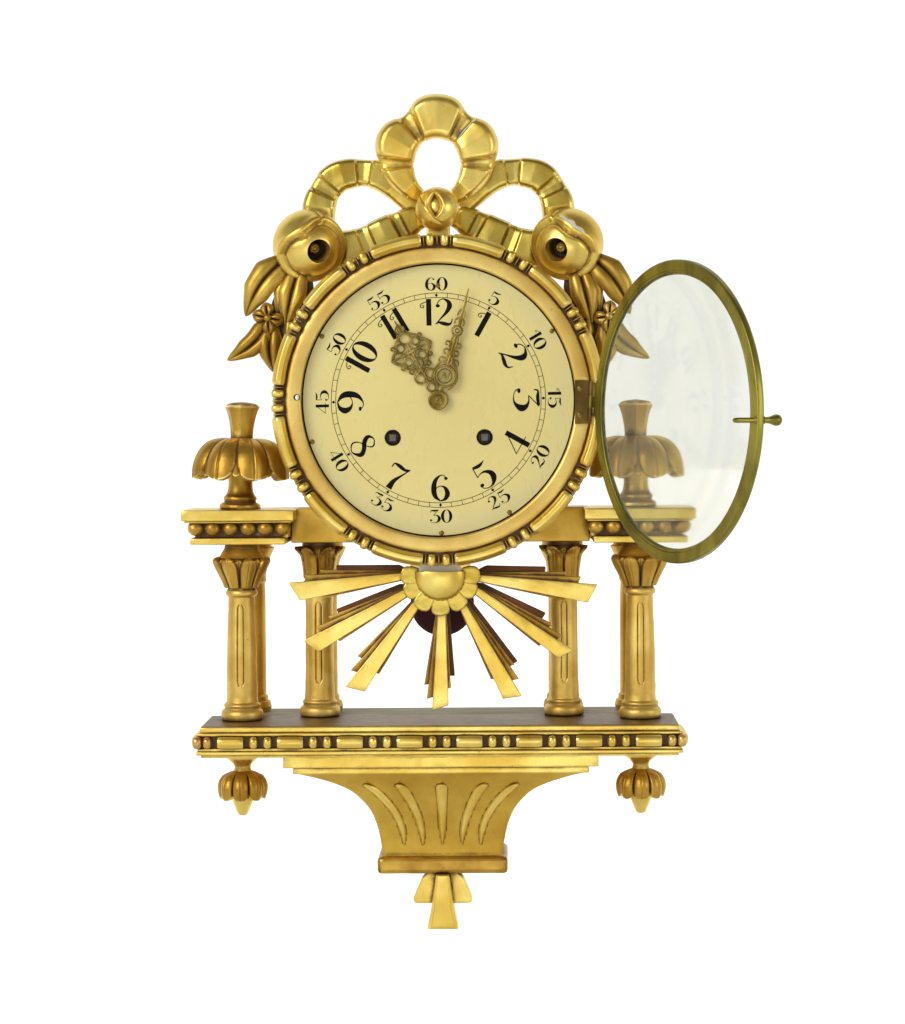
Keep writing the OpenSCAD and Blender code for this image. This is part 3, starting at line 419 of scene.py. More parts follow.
def stroke(points: Sequence[Sequence[float]], back: float, front: float, crown: float = 0.0,
           count: int = 28, closed: bool = False) -> Carving:
    """A stroke of changing width, flat or crowned.

    Args:
        points: Places on the face with the stroke's full width there.
        back: Forward distance of its back.
        front: Forward distance of its edges.
        crown: How far its middle stands over the edges.
        count: Points along it.
        closed: True for a ring.

    Returns:
        The carving.
    """
    line = curve(points, count, closed)
    path = np.vstack([line[-1:], line, line[:1]]) if closed else line
    sides = normals_of(path)[1:-1] if closed else normals_of(path)
    across = np.array([-1.0, -0.6, 0.0, 0.6, 1.0]) if crown else np.array([-1.0, 1.0])
    half = line[:, 2:3] / 2
    rows = [np.column_stack([line[:, :2] + sides * half * v,
                             np.full(len(line), front + crown * (1 - v * v))]) for v in across]
    rows += [np.column_stack([line[:, :2] + sides * half * v, np.full(len(line), back)])
             for v in (1.0, -1.0)]
    rings = np.stack(rows, axis=1)
    return sheet(rings, wrap_rows=True, wrap_columns=True) if closed else loft(rings)


@dataclass
class Band:
    """A carved ribbon between two edge lines, with pleats along it."""

    inner: Array
    outer: Array
    relief: Sequence[Point]
    front: float
    back: float
    round_edge: float = 4.0
    rise: Sequence[Point] = ((0.0, 0.0), (1.0, 0.0))
    chamfer: float = 0.0

    def carve(self, across: int = 16) -> Carving:
        """Builds the ribbon.

        Args:
            across: Points over its face.

        Returns:
            The carving.
        """
        count = len(self.inner)
        s = np.linspace(0, 1, count)
        height = np.interp(s, *zip(*self.relief))
        height = np.convolve(np.pad(height, 1, mode="edge"), [0.22, 0.56, 0.22], "valid")
        base = self.front + np.interp(s, *zip(*self.rise))
        middle = (self.inner + self.outer) / 2
        fall = 0.012 * height[:, None]
        inner = self.inner + (self.inner - middle) * fall
        outer = self.outer + (self.outer - middle) * fall
        rows = []
        for v in np.linspace(-1, 1, across):
            flat = inner + (outer - inner) * (v + 1) / 2
            edge = np.abs(v) ** 9
            slope = self.chamfer * max(0.0, (v - 0.60) / 0.40) ** 1.2 * (height > 0)
            depth = base + height * (1 - 0.35 * edge) - self.round_edge * edge - slope
            rows.append(np.column_stack([flat, depth]))
        for v in (1.0, 0.0, -1.0):
            flat = inner + (outer - inner) * (v + 1) / 2
            rows.append(np.column_stack([flat, np.full(count, self.back)]))
        return loft(np.stack(rows, axis=1))


def ribbon_edges(path: Sequence[Sequence[float]], count: int) -> tuple[Array, Array]:
    """Edge lines of a ribbon from its middle line and half widths.

    Args:
        path: Middle points, each with the half width there.
        count: Number of points along it.

    Returns:
        The edge line on the right and the one on the left.
    """
    line = curve(path, count)
    side = normals_of(line) * line[:, 2:3]
    return line[:, :2] - side, line[:, :2] + side


@dataclass
class Leaf:
    """A carved leaf from its root to its tip."""

    root: Point3
    tip: Point3
    width: float
    bend: float = 0.0
    crown: float = 3.2
    vein: float = 1.3
    thick: float = 3.5
    lobes: int = 0
    fullest: float = 0.42
    curl: float = 0.0

    def carve(self, rows: int = 30, across: int = 17) -> Carving:
        """Builds the leaf.

        Args:
            rows: Points along it.
            across: Points over its width.

        Returns:
            The carving.
        """
        root, tip = np.array(self.root), np.array(self.tip)
        u = np.linspace(0, 1, rows)
        run = tip - root
        side = np.array([-run[1], run[0], 0.0]) / math.hypot(run[0], run[1])
        line = root + u[:, None] * run + side * (self.bend * np.sin(math.pi * u))[:, None]
        line[:, 2] += self.curl * np.sin(math.pi * u)
        power = math.log(0.5) / math.log(self.fullest)
        half = self.width * np.sin(math.pi * u**power) ** 0.75 + 0.25
        if self.lobes:
            half *= 1 - 0.1 * np.abs(np.sin(math.pi * self.lobes * u))
        rings = []
        for i in range(rows):
            v = np.linspace(-1, 1, across)
            fold = 0.45 * (1 - v**2) + 0.75 * (4 * np.abs(v) * (1 - np.abs(v))) ** 0.8
            lift = self.crown * fold * math.sin(math.pi * min(1, u[i] * 0.9 + 0.08))
            lift -= self.vein * bump(v, 0.10) * ease((0.86 - u[i]) / 0.3)
            lift += 0.22 * np.sin(u[i] * 22 - np.abs(v) * 4) * np.abs(v) * (1 - np.abs(v)) * 2
            top = line[i] + side * (half[i] * v)[:, None]
            top[:, 2] += lift
            low = line[i] + side * (half[i] * v[::-4] * 0.96)[:, None]
            low[:, 2] -= self.thick
            rings.append(np.vstack([top, low]))
        return loft(np.stack(rings))


# From carvings to pieces


@dataclass
class Cut:
    """How a carving is finished as a mesh."""

    bevel: float = 0.0
    longest: float = 0.0
    rough: float = 0.0
    rough_size: float = 14.0
    crease: float = 40.0
    hole: tuple[float, ...] = ()


def hand_cut(points: Array, normals: Array, cut: Cut) -> Array:
    """Moves points a little along their normals, as a carver's tool and the gesso do.

    Args:
        points: Places of the vertices.
        normals: Their normals.
        cut: How rough the surface is.

    Returns:
        The moved places.
    """
    size = 1000 / cut.rough_size
    shift = [noise.noise(Vector(p) * size) + 0.4 * noise.noise(Vector(p) * size * 2.7)
             for p in points]
    return points + normals * (np.array(shift) * cut.rough * MM)[:, None]


def split_long_edges(work: bmesh.types.BMesh, longest: float) -> None:
    """Splits edges until none is longer than the given length in metres.

    Args:
        work: The mesh, which is changed.
        longest: Greatest length that is left alone.
    """
    bmesh.ops.triangulate(work, faces=work.faces)
    for _ in range(7):
        long = [e for e in work.edges if e.calc_length() > longest]
        if not long:
            return
        bmesh.ops.subdivide_edges(work, edges=long, cuts=1)
        bmesh.ops.triangulate(work, faces=[f for f in work.faces if len(f.verts) > 3])


def as_object(name: str, carving: Carving, cut: Cut) -> bpy.types.Object:
    """Makes an object from a carving.

    Args:
        name: Name of the object.
        carving: Its mesh in the face frame.
        cut: How it is finished.

    Returns:
        The object, at the origin, with its place in its mesh.
    """
    name = name.replace(" ", "_")
    mesh = bpy.data.meshes.new(name)
    mesh.from_pydata(carving.placed().tolist(), [], carving.faces)
    work = bmesh.new()
    work.from_mesh(mesh)
    bmesh.ops.remove_doubles(work, verts=work.verts, dist=0.004 * MM)
    bmesh.ops.recalc_face_normals(work, faces=work.faces)
    if cut.bevel:
        sharp = [e for e in work.edges if e.is_manifold and e.calc_face_angle() > math.radians(25)]
        bmesh.ops.bevel(work, geom=sharp, offset=cut.bevel * MM, segments=3, profile=0.5,
                        affect="EDGES", clamp_overlap=True)
    if cut.longest:
        split_long_edges(work, cut.longest * MM)
    work.to_mesh(mesh)
    work.free()
    if cut.rough:
        points = read_points(mesh)
        normals = np.empty(len(points) * 3)
        mesh.vertices.foreach_get("normal", normals)
        mesh.vertices.foreach_set("co", hand_cut(points, normals.reshape(-1, 3), cut).ravel())
    thing = bpy.data.objects.new(name, mesh)
    bpy.context.scene.collection.objects.link(thing)
    if cut.hole:
        drill(thing, *cut.hole)
    shade(thing.data, cut.crease)
    return thing


def drill(thing: bpy.types.Object, x: float, y: float, radius: float, floor: float) -> None:
    """Drills a hole into a piece from the front.

    Args:
        thing: The piece.
        x: Place of the hole across the face.
        y: Its height over the dial's centre.
        radius: Its radius.
        floor: Forward distance of its bottom.
    """
    clear = 130.0
    profile = [(0.0, floor), (radius, floor), (radius, clear), (0.0, clear)]
    bit = as_object("bit", disc(profile, 32, (x, y)), Cut())
    modifier = thing.modifiers.new("hole", "BOOLEAN")
    modifier.object = bit
    modifier.solver = "EXACT"
    graph = bpy.context.evaluated_depsgraph_get()
    whole = thing.data
    thing.data = bpy.data.meshes.new_from_object(thing.evaluated_get(graph), depsgraph=graph)
    thing.modifiers.clear()
    bpy.data.objects.remove(bit)
    bpy.data.meshes.remove(whole)
    thing.data.name = thing.name


def read_points(mesh: bpy.types.Mesh) -> Array:
    """Vertex places of a mesh.

    Args:
        mesh: The mesh.

    Returns:
        One row for each vertex.
    """
    points = np.empty(len(mesh.vertices) * 3)
    mesh.vertices.foreach_get("co", points)
    return points.reshape(-1, 3)


def shade(mesh: bpy.types.Mesh, crease: float) -> None:
    """Shades a mesh smooth, with creases past an angle in degrees."""
    mesh.shade_smooth()
    mesh.set_sharp_from_angle(angle=math.radians(crease))


class March:
    """Geometry Nodes tree that sets copies of a motif in a row or round the dial."""

    inputs = (("Motif", "NodeSocketObject"), ("Count", "NodeSocketInt"),
              ("Start", "NodeSocketVector"), ("Pitch", "NodeSocketVector"),
              ("First turn", "NodeSocketVector"), ("Turn step", "NodeSocketVector"),
              ("Left out", "NodeSocketInt"), ("Finish", "NodeSocketMaterial"))

    def __init__(self) -> None:
        """Builds the tree."""
        tree = bpy.data.node_groups.new("march of motifs", "GeometryNodeTree")
        tree.interface.new_socket("Geometry", in_out="INPUT", socket_type="NodeSocketGeometry")
        for name, kind in self.inputs:
            tree.interface.new_socket(name, in_out="INPUT", socket_type=kind)
        tree.interface.new_socket("Geometry", in_out="OUTPUT", socket_type="NodeSocketGeometry")
        new, link = tree.nodes.new, tree.links.new
        given = new("NodeGroupInput").outputs
        points, index = new("GeometryNodePoints"), new("GeometryNodeInputIndex")
        link(given["Count"], points.inputs["Count"])
        places = self._stepped(tree, given["Pitch"], index.outputs[0], given["Start"])
        link(places, points.inputs["Position"])
        turns = self._stepped(tree, given["Turn step"], index.outputs[0], given["First turn"])
        same = new("FunctionNodeCompare")
        same.data_type = "INT"
        same.operation = "EQUAL"
        link(index.outputs[0], same.inputs[2])
        link(given["Left out"], same.inputs[3])
        drop = new("GeometryNodeDeleteGeometry")
        link(points.outputs[0], drop.inputs["Geometry"])
        link(same.outputs[0], drop.inputs["Selection"])
        motif, put = new("GeometryNodeObjectInfo"), new("GeometryNodeInstanceOnPoints")
        keep = new("GeometryNodeStoreNamedAttribute")
        keep.data_type = "FLOAT_VECTOR"
        keep.inputs["Name"].default_value = "turn"
        link(points.outputs[0], keep.inputs["Geometry"])
        link(turns, keep.inputs["Value"])
        link(keep.outputs[0], drop.inputs["Geometry"])
        held = new("GeometryNodeInputNamedAttribute")
        held.data_type = "FLOAT_VECTOR"
        held.inputs["Name"].default_value = "turn"
        link(given["Motif"], motif.inputs["Object"])
        link(drop.outputs[0], put.inputs["Points"])
        link(motif.outputs["Geometry"], put.inputs["Instance"])
        link(held.outputs[0], put.inputs["Rotation"])
        real, coat = new("GeometryNodeRealizeInstances"), new("GeometryNodeSetMaterial")
        link(put.outputs[0], real.inputs[0])
        link(real.outputs[0], coat.inputs["Geometry"])
        link(given["Finish"], coat.inputs["Material"])
        link(coat.outputs[0], new("NodeGroupOutput").inputs[0])
        self.tree = tree

    @staticmethod
    def _stepped(tree: bpy.types.NodeTree, step: bpy.types.NodeSocket, index: bpy.types.NodeSocket,
                 start: bpy.types.NodeSocket) -> bpy.types.NodeSocket:
        """Gives start plus index times step.

        Args:
            tree: Tree to build in.
            step: Vector added for each copy.
            index: Number of the copy.
            start: Vector of the first copy.

        Returns:
            The socket that holds the sum.
        """
        node = tree.nodes.new("ShaderNodeVectorMath")
        node.operation = "MULTIPLY_ADD"
        tree.links.new(step, node.inputs[0])
        tree.links.new(index, node.inputs[1])
        tree.links.new(start, node.inputs[2])
        return node.outputs[0]

    def lay(self, name: str, motif: Carving, cut: Cut, finish: bpy.types.Material, count: int,
            pitch: Sequence[float] = (0, 0, 0), turn: float = 0.0, step: float = 0.0,
            left_out: int = -1) -> bpy.types.Object:
        """Sets copies of a motif and makes them one plain mesh.

        Args:
            name: Name of the new object.
            motif: The first copy, in the face frame.
            cut: How the motif is finished.
            finish: Material of the copies.
            count: Number of copies.
            pitch: Step between copies in the face frame, in millimetres.
            turn: Clockwise angle of the first copy about the dial's centre, in degrees.
            step: Angle from each copy to the next.
            left_out: Number of a copy that isn't made.

        Returns:
            The object with all copies.
        """
        name = name.replace(" ", "_")
        pattern = as_object(name + "_motif", motif.moved(y=DIAL_DROP), cut)
        holder = bpy.data.objects.new(name, bpy.data.meshes.new(name))
        bpy.context.scene.collection.objects.link(holder)
        modifier = holder.modifiers.new("march", "NODES")
        modifier.node_group = self.tree
        x, y, z = (value * MM for value in pitch)
        values = {
            "Motif": pattern, "Count": count, "Start": (0.0, 0.0, -DIAL_DROP * MM),
            "Pitch": (x, -z, y), "First turn": (0.0, math.radians(turn), 0.0),
            "Turn step": (0.0, math.radians(step), 0.0), "Left out": left_out, "Finish": finish,
        }
        for item in self.tree.interface.items_tree:
            if item.in_out == "INPUT" and item.name in values:
                modifier[item.identifier] = values[item.name]
        graph = bpy.context.evaluated_depsgraph_get()
        mesh = bpy.data.meshes.new_from_object(holder.evaluated_get(graph), depsgraph=graph)
        mesh.name = name
        for attribute in [a for a in mesh.attributes if a.name == "turn"]:
            mesh.attributes.remove(attribute)
        shade(mesh, cut.crease)
        for thing in (holder, pattern):
            bpy.data.objects.remove(thing)
        made = bpy.data.objects.new(name, mesh)
        bpy.context.scene.collection.objects.link(made)
        return made


class Bench:
    def __init__(self, finishes: dict[Slot, bpy.types.Material], extra: "Finishes") -> None:
        """Starts an empty bench with its finishes.

        Args:
            finishes: Materials by slot.
            extra: The clock's other finishes.
        """
        self.finishes = finishes
        self.extra = extra
        self.march = March()
        self.pieces: list[bpy.types.Object] = []

    def take(self, thing: bpy.types.Object, body: str, slot: Slot, stands_for: Sequence[str] = (),
             finish: bpy.types.Material | None = None) -> bpy.types.Object:
        """Dresses a piece and ties it to its body.

        Args:
            thing: The piece.
            body: CAD body that it moves with.
            slot: Material slot of the record.
            stands_for: CAD nodes that it replaces.
            finish: Its material where it isn't the slot's own.

        Returns:
            The piece.
        """
        thing.data.materials.clear()
        thing.data.materials.append(finish or self.finishes[slot])
        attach(thing, body)
        if stands_for:
            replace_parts(thing, *stands_for)
        self.pieces.append(thing)
        LOG.info("%s rides on %s, %d faces", thing.name, body, len(thing.data.polygons))
        return thing

    def make(self, name: str, parts: Carving | Sequence[Carving], slot: Slot, cut: Cut,
             stands_for: Sequence[str] = (), body: str = CASE,
             finish: bpy.types.Material | None = None) -> bpy.types.Object:
        """Makes a piece from carvings and takes it.

        Args:
            name: Name of the piece.
            parts: Its carving or carvings.
            slot: Material slot of the record.
            cut: How the mesh is finished.
            stands_for: CAD nodes that it replaces.
            body: CAD body that it moves with.
            finish: Its material where it isn't the slot's own.

        Returns:
            The piece.
        """
        carving = parts if isinstance(parts, Carving) else joined(parts)
        return self.take(as_object(name, carving, cut), body, slot, stands_for, finish)


class Patina:
    """Finds the hollows and the bulging edges of the pieces and stores them in their meshes; from them the
    finishes paint toner and shade in the hollows, and wear and highlights on the edges.
    """

    reach = 16 * MM
    lift = 0.25 * MM

    def __init__(self, pieces: Sequence[bpy.types.Object], rays: int) -> None:
        """Gathers the pieces that shade each other.

        Args:
            pieces: Pieces of the case.
            rays: Number of directions tried at each point.
        """
        self.pieces = pieces
        points, faces, start = [], [], 0
        for piece in pieces:
            mesh = piece.data
            points.extend(v.co for v in mesh.vertices)
            faces.extend(tuple(i + start for i in p.vertices) for p in mesh.polygons)
            start += len(mesh.vertices)
        self.tree = BVHTree.FromPolygons(points, faces)
        golden = math.pi * (3 - math.sqrt(5))
        heights = [1 - (i + 0.5) / rays * 0.93 for i in range(rays)]
        self.fan = [Vector((math.sqrt(1 - h * h) * math.cos(i * golden),
                            math.sqrt(1 - h * h) * math.sin(i * golden), h))
                    for i, h in enumerate(heights)]

    def _hollow(self, mesh: bpy.types.Mesh) -> Array:
        """How much of the view from each vertex is blocked nearby.

        Args:
            mesh: Mesh of a piece.

        Returns:
            One value for each vertex, 0 in the open.
        """
        cast, reach, lift = self.tree.ray_cast, self.reach, self.lift
        out = np.zeros(len(mesh.vertices))
        for i, vertex in enumerate(mesh.vertices):
            normal = vertex.normal
            start = vertex.co + normal * lift
            turn = normal.to_track_quat("Z", "Y").to_matrix()
            blocked = 0.0
            for ray in self.fan:
                distance = cast(start, turn @ ray, reach)[3]
                if distance is not None:
                    blocked += 1 - distance / reach
            out[i] = blocked / len(self.fan)
        return out

    @staticmethod
    def _ridge(mesh: bpy.types.Mesh) -> Array:
        """How sharply the surface bulges at each vertex, positive on edges.

        Args:
            mesh: Mesh of a piece.

        Returns:
            One value for each vertex.
        """
        count = len(mesh.vertices)
        points = read_points(mesh)
        normals = np.empty(count * 3)
        mesh.vertices.foreach_get("normal", normals)
        normals = normals.reshape(-1, 3)
        ends = np.empty(len(mesh.edges) * 2, int)
        mesh.edges.foreach_get("vertices", ends)
        a, b = ends.reshape(-1, 2).T
        gap = points[b] - points[a]
        size = np.maximum(np.linalg.norm(gap, axis=1), 1e-7)
        total, weight = np.zeros(count), np.zeros(count)
        for here, way in ((a, -1.0), (b, 1.0)):
            bulge = way * np.einsum("ij,ij->i", gap, normals[here]) / size
            np.add.at(total, here, bulge)
            np.add.at(weight, here, 1.0)
        value = total / np.maximum(weight, 1)
        for _ in range(2):
            total, weight = value.copy(), np.ones(count)
            np.add.at(total, a, value[b])
            np.add.at(total, b, value[a])
            np.add.at(weight, a, 1.0)
            np.add.at(weight, b, 1.0)
            value = total / weight
        return value

    def store(self) -> None:
        """Writes the attributes hollow and ridge on every piece."""
        for piece in self.pieces:
            mesh = piece.data
            for name, values in (("hollow", self._hollow(mesh)), ("ridge", self._ridge(mesh))):
                held = mesh.attributes.new(name, "FLOAT", "POINT")
                held.data.foreach_set("value", values)


# Finishes


Colour = tuple[float, float, float, float]
Socket = bpy.types.NodeSocket
Value = Socket | float


def tint(red: int, green: int, blue: int) -> Colour:
    """Linear colour from the 0 to 255 values that a colour chart gives.

    Args:
        red: Red from 0 to 255.
        green: Green from 0 to 255.
        blue: Blue from 0 to 255.

    Returns:
        Red, green, blue and full cover.
    """
    def linear(value: int) -> float:
        """One channel made linear."""
        part = value / 255
        return part / 12.92 if part <= 0.04045 else ((part + 0.055) / 1.055) ** 2.4

    return linear(red), linear(green), linear(blue), 1.0


class Wiring:
    """Short calls for building a node tree."""

    def __init__(self, tree: bpy.types.NodeTree) -> None:
        """Keeps the tree."""
        self.tree = tree

    def node(self, kind: str, **settings: object) -> bpy.types.Node:
        """Adds a node and sets its properties.

        Args:
            kind: Kind of node.
            **settings: Properties to set on it.

        Returns:
            The node.
        """
        made = self.tree.nodes.new(kind)
        for name, value in settings.items():
            setattr(made, name, value)
        return made

    def feed(self, socket: Socket, value: object) -> None:
        """Links a socket, or sets its constant.

        Args:
            socket: Input of a node.
            value: Output that feeds it, or a constant.
        """
        if isinstance(value, bpy.types.NodeSocket):
            self.tree.links.new(value, socket)
        else:
            socket.default_value = value

    def sum(self, operation: str, *values: Value, clamp: bool = False) -> Socket:
        """A Math node's result.

        Args:
            operation: What the node works out.
            *values: Its inputs in order.
            clamp: True if the result is held between 0 and 1.

        Returns:
            The result.
        """
        made = self.node("ShaderNodeMath", operation=operation, use_clamp=clamp)
        for socket, value in zip(made.inputs, values):
            self.feed(socket, value)
        return made.outputs[0]

    def span(self, value: Value, low: Value, high: Value) -> Socket:
        """A soft step from 0 to 1 between two values.

        Args:
            value: Number that is compared.
            low: Where the step starts.
            high: Where it ends.

        Returns:
            The step.
        """
        made = self.node("ShaderNodeMapRange", interpolation_type="SMOOTHSTEP")
        for name, given in (("Value", value), ("From Min", low), ("From Max", high)):
            self.feed(made.inputs[name], given)
        return made.outputs[0]

    def blend(self, mask: Value, under: object, over: object) -> Socket:
        """One colour over another where the mask is 1.

        Args:
            mask: How much of the upper colour shows.
            under: Lower colour.
            over: Upper colour.

        Returns:
            The colour.
        """
        made = self.node("ShaderNodeMix", data_type="RGBA")
        self.feed(made.inputs[0], mask)
        self.feed(made.inputs[6], under)
        self.feed(made.inputs[7], over)
        return made.outputs[2]

    def between(self, mask: Value, low: Value, high: Value) -> Socket:
        """A number between two others, by a mask.

        Args:
            mask: How far to go from the first to the second.
            low: First number.
            high: Second number.

        Returns:
            The number.
        """
        made = self.node("ShaderNodeMix", data_type="FLOAT")
        for index, given in ((0, mask), (2, low), (3, high)):
            self.feed(made.inputs[index], given)
        return made.outputs[0]

    def cloud(self, scale: Value, detail: float = 3.0, stretch: Sequence[float] = (1, 1, 1),
              rough: float = 0.55) -> Socket:
        """Noise over the object's own coordinates.

        Args:
            scale: How fine the noise is.
            detail: Number of finer layers.
            stretch: Scale along each axis.
            rough: How strong the finer layers are.

        Returns:
            The noise, around a half.
        """
        place = self.node("ShaderNodeTexCoord").outputs["Object"]
        sized = self.node("ShaderNodeMapping")
        sized.inputs["Scale"].default_value = stretch
        self.tree.links.new(place, sized.inputs["Vector"])
        made = self.node("ShaderNodeTexNoise")
        self.tree.links.new(sized.outputs[0], made.inputs["Vector"])
        self.feed(made.inputs["Scale"], scale)
        made.inputs["Detail"].default_value = detail
        made.inputs["Roughness"].default_value = rough
        return made.outputs[0]

    def stored(self, name: str) -> Socket:
        """A number stored on the mesh."""
        return self.node("ShaderNodeAttribute", attribute_name=name).outputs["Fac"]

    def bumped(self, height: Socket, depth_mm: float, strength: float = 1.0) -> Socket:
        """A normal from a height.

        Args:
            height: Height over the surface.
            depth_mm: Depth of the relief in millimetres.
            strength: How much of it shows.

        Returns:
            The normal.
        """
        made = self.node("ShaderNodeBump")
        made.inputs["Strength"].default_value = strength
        made.inputs["Distance"].default_value = depth_mm * MM
        self.tree.links.new(height, made.inputs["Height"])
        return made.outputs[0]


def shader_group(name: str, given: Sequence[tuple[str, float]],
                 wanted: Sequence[str]) -> tuple[Wiring, dict[str, Socket], bpy.types.Node]:
    """Starts a shader node group with float inputs and outputs.

    Args:
        name: Name of the group.
        given: Input names with their usual values.
        wanted: Output names.

    Returns:
        The wiring, the inputs by name and the output node.
    """
    tree = bpy.data.node_groups.new(name, "ShaderNodeTree")
    for label, usual in given:
        socket = tree.interface.new_socket(label, in_out="INPUT", socket_type="NodeSocketFloat")
        socket.default_value = usual
    for label in wanted:
        tree.interface.new_socket(label, in_out="OUTPUT", socket_type="NodeSocketFloat")
    work = Wiring(tree)
    source = work.node("NodeGroupInput").outputs
    return work, {label: source[label] for label, _ in given}, work.node("NodeGroupOutput")


def toner_group() -> bpy.types.NodeTree:
    """Brown toner in the hollows, with painted shade: it follows how hidden each point is, and turns near
    black in the most hidden hollows.

    Returns:
        The group, which puts out the toner and shade mask and the mask for the darkest shade.
    """
    work, given, out = shader_group("toner in hollows",
                                    [("Hollow", 0.0), ("Ridge", 0.0), ("Start", 0.16), ("Full", 0.55)],
                                    ["Mask", "Deep"])
    patch = work.sum("MULTIPLY_ADD", work.cloud(60.0, 4.0), 0.30, -0.15)
    fine = work.sum("MULTIPLY_ADD", work.cloud(420.0, 3.0), 0.14, -0.07)
    # Darker where a point is more hidden: painted shade in the recesses, together with the brown toner
    low = work.sum("MULTIPLY_ADD", given["Ridge"], -1.6, given["Hollow"])
    level = work.sum("ADD", work.sum("ADD", low, patch), fine)
    work.feed(out.inputs["Mask"], work.span(level, given["Start"], given["Full"]))
    work.feed(out.inputs["Deep"], work.span(level, given["Full"], 0.95))
    return work.tree


def rub_group() -> bpy.types.NodeTree:
    """Edges where cloths and knocks took the leaf off, which also carry a painted highlight where the
    surface bulges.

    Returns:
        The group, which puts out the edge mask for wear and painted highlight, and Chip.
    """
    work, given, out = shader_group("rubbed edges",
                                    [("Ridge", 0.0), ("Worn", 0.13), ("Chipped", 0.24)],
                                    ["Rub", "Chip"])
    patch = work.sum("MULTIPLY_ADD", work.cloud(38.0, 5.0, rough=0.7), 0.34, -0.17)
    level = work.sum("ADD", given["Ridge"], patch)
    # Edge mask: worn leaf, and a painted highlight on bulging edges
    work.feed(out.inputs["Rub"], work.span(level, given["Worn"], work.sum("ADD", given["Worn"], 0.09)))
    chip = work.sum("ADD", given["Ridge"],
                    work.sum("MULTIPLY_ADD", work.cloud(21.0, 6.0, rough=0.75), 0.62, -0.36))
    work.feed(out.inputs["Chip"], work.span(chip, given["Chipped"],
                                            work.sum("ADD", given["Chipped"], 0.02)))
    return work.tree


def leaf_group() -> bpy.types.NodeTree:
    """Uneven tone, fine dust and tool marks of laid metal leaf.

    Returns:
        The group, which puts out Tone, Mark and Speck.
    """
    work, given, out = shader_group("laid leaf", [("Patch size", 26.0), ("Mark size", 170.0)],
                                    ["Tone", "Mark", "Speck"])
    work.feed(out.inputs["Tone"], work.span(work.cloud(given["Patch size"], 4.0), 0.32, 0.70))
    work.feed(out.inputs["Mark"], work.cloud(given["Mark size"], 4.0, (1.0, 1.0, 0.35)))
    work.feed(out.inputs["Speck"], work.span(work.cloud(900.0, 2.0), 0.70, 0.76))
    return work.tree


def streak_group() -> bpy.types.NodeTree:
    """Drawn and wiped streaks on old metal.

    Returns:
        The group, which puts out Broad and Fine.
    """
    work, given, out = shader_group("wiped streaks", [("Size", 40.0)], ["Broad", "Fine"])
    work.feed(out.inputs["Broad"], work.span(work.cloud(given["Size"], 5.0, (1.0, 1.0, 0.4)), 0.35, 0.68))
    work.feed(out.inputs["Fine"], work.cloud(650.0, 3.0, (1.0, 1.0, 0.2)))
    return work.tree


class Effects:
    """The shared shader groups."""

    def __init__(self) -> None:
        """Builds each group once."""
        self.toner = toner_group()
        self.rub = rub_group()
        self.leaf = leaf_group()
        self.streak = streak_group()


def group_in(work: Wiring, tree: bpy.types.NodeTree, **values: Value) -> bpy.types.NodeOutputs:
    """Puts a group in a material; an input's name has underscores for its spaces.

    Args:
        work: Wiring of the material.
        tree: The group.
        **values: Values of its inputs.

    Returns:
        The group's outputs.
    """
    made = work.node("ShaderNodeGroup", node_tree=tree)
    for name, value in values.items():
        work.feed(made.inputs[name.replace("_", " ")], value)
    return made.outputs


def started(name: str) -> tuple[bpy.types.Material, Wiring, bpy.types.Node]:
    """A new material with its wiring and its shader.

    Args:
        name: Name of the material.

    Returns:
        The material, its wiring and its shader.
    """
    made = bpy.data.materials.new(name)
    made.use_nodes = True
    tree = made.node_tree
    return made, Wiring(tree), tree.nodes["Principled BSDF"]


@dataclass(frozen=True)
class Gilding:
    """Metal leaf on gesso, toned brown in its hollows and worn on its edges; the toning carries painted
    shade, near black in the most hidden hollows, and the bright edge colour is partly a painted highlight.
    """

    name: str
    bright: Colour
    shaded: Colour
    # Toner colour in the hollows, which also paints the shade there
    toner: Colour = tint(92, 60, 14)
    # Near black painted shade in the most hidden hollows
    deep: Colour = tint(44, 28, 8)
    # Colour of the bulging edges: worn leaf, and a painted highlight where edges catch the light
    rubbed: Colour = tint(238, 214, 138)
    chipped: Colour = tint(226, 222, 206)
    smooth: float = 0.30
    dull: float = 0.58
    metal: float = 0.90
    toner_start: float = 0.16
    toner_full: float = 0.55
    # Where the edge colour starts: worn leaf together with the painted highlight
    worn: float = 0.13
    chips_from: float = 0.27
    bump_mm: float = 0.35

    def build(self, effects: Effects) -> bpy.types.Material:
        """Builds the material.

        Args:
            effects: The shared groups.

        Returns:
            The material.
        """
        made, work, shader = started(self.name)
        hollow, ridge = work.stored("hollow"), work.stored("ridge")
        toner = group_in(work, effects.toner, Hollow=hollow, Ridge=ridge, Start=self.toner_start,
                         Full=self.toner_full)
        rub = group_in(work, effects.rub, Ridge=ridge, Worn=self.worn, Chipped=self.chips_from)
        leaf = group_in(work, effects.leaf)
        colour = work.blend(leaf["Tone"], self.shaded, self.bright)
        # Painted highlight on bulging edges, partly worn leaf
        colour = work.blend(rub["Rub"], colour, self.rubbed)
        # Painted shade: toner colour, then near black, where a point is hidden
        colour = work.blend(toner["Mask"], colour, self.toner)
        colour = work.blend(toner["Deep"], colour, self.deep)
        colour = work.blend(leaf["Speck"], colour, self.toner)
        colour = work.blend(rub["Chip"], colour, self.chipped)
        work.feed(shader.inputs["Base Color"], colour)
        bare = work.sum("MAXIMUM", work.sum("MULTIPLY", toner["Mask"], 0.75), rub["Chip"], clamp=True)
        work.feed(shader.inputs["Metallic"], work.between(bare, self.metal, 0.0))
        rough = work.between(leaf["Mark"], self.smooth - 0.06, self.smooth + 0.12)
        work.feed(shader.inputs["Roughness"], work.between(bare, rough, self.dull))
        height = work.sum("MULTIPLY_ADD", leaf["Mark"], 0.5, work.sum("MULTIPLY", rub["Chip"], -0.6))
        work.feed(shader.inputs["Normal"], work.bumped(height, self.bump_mm, 0.35))
        return made


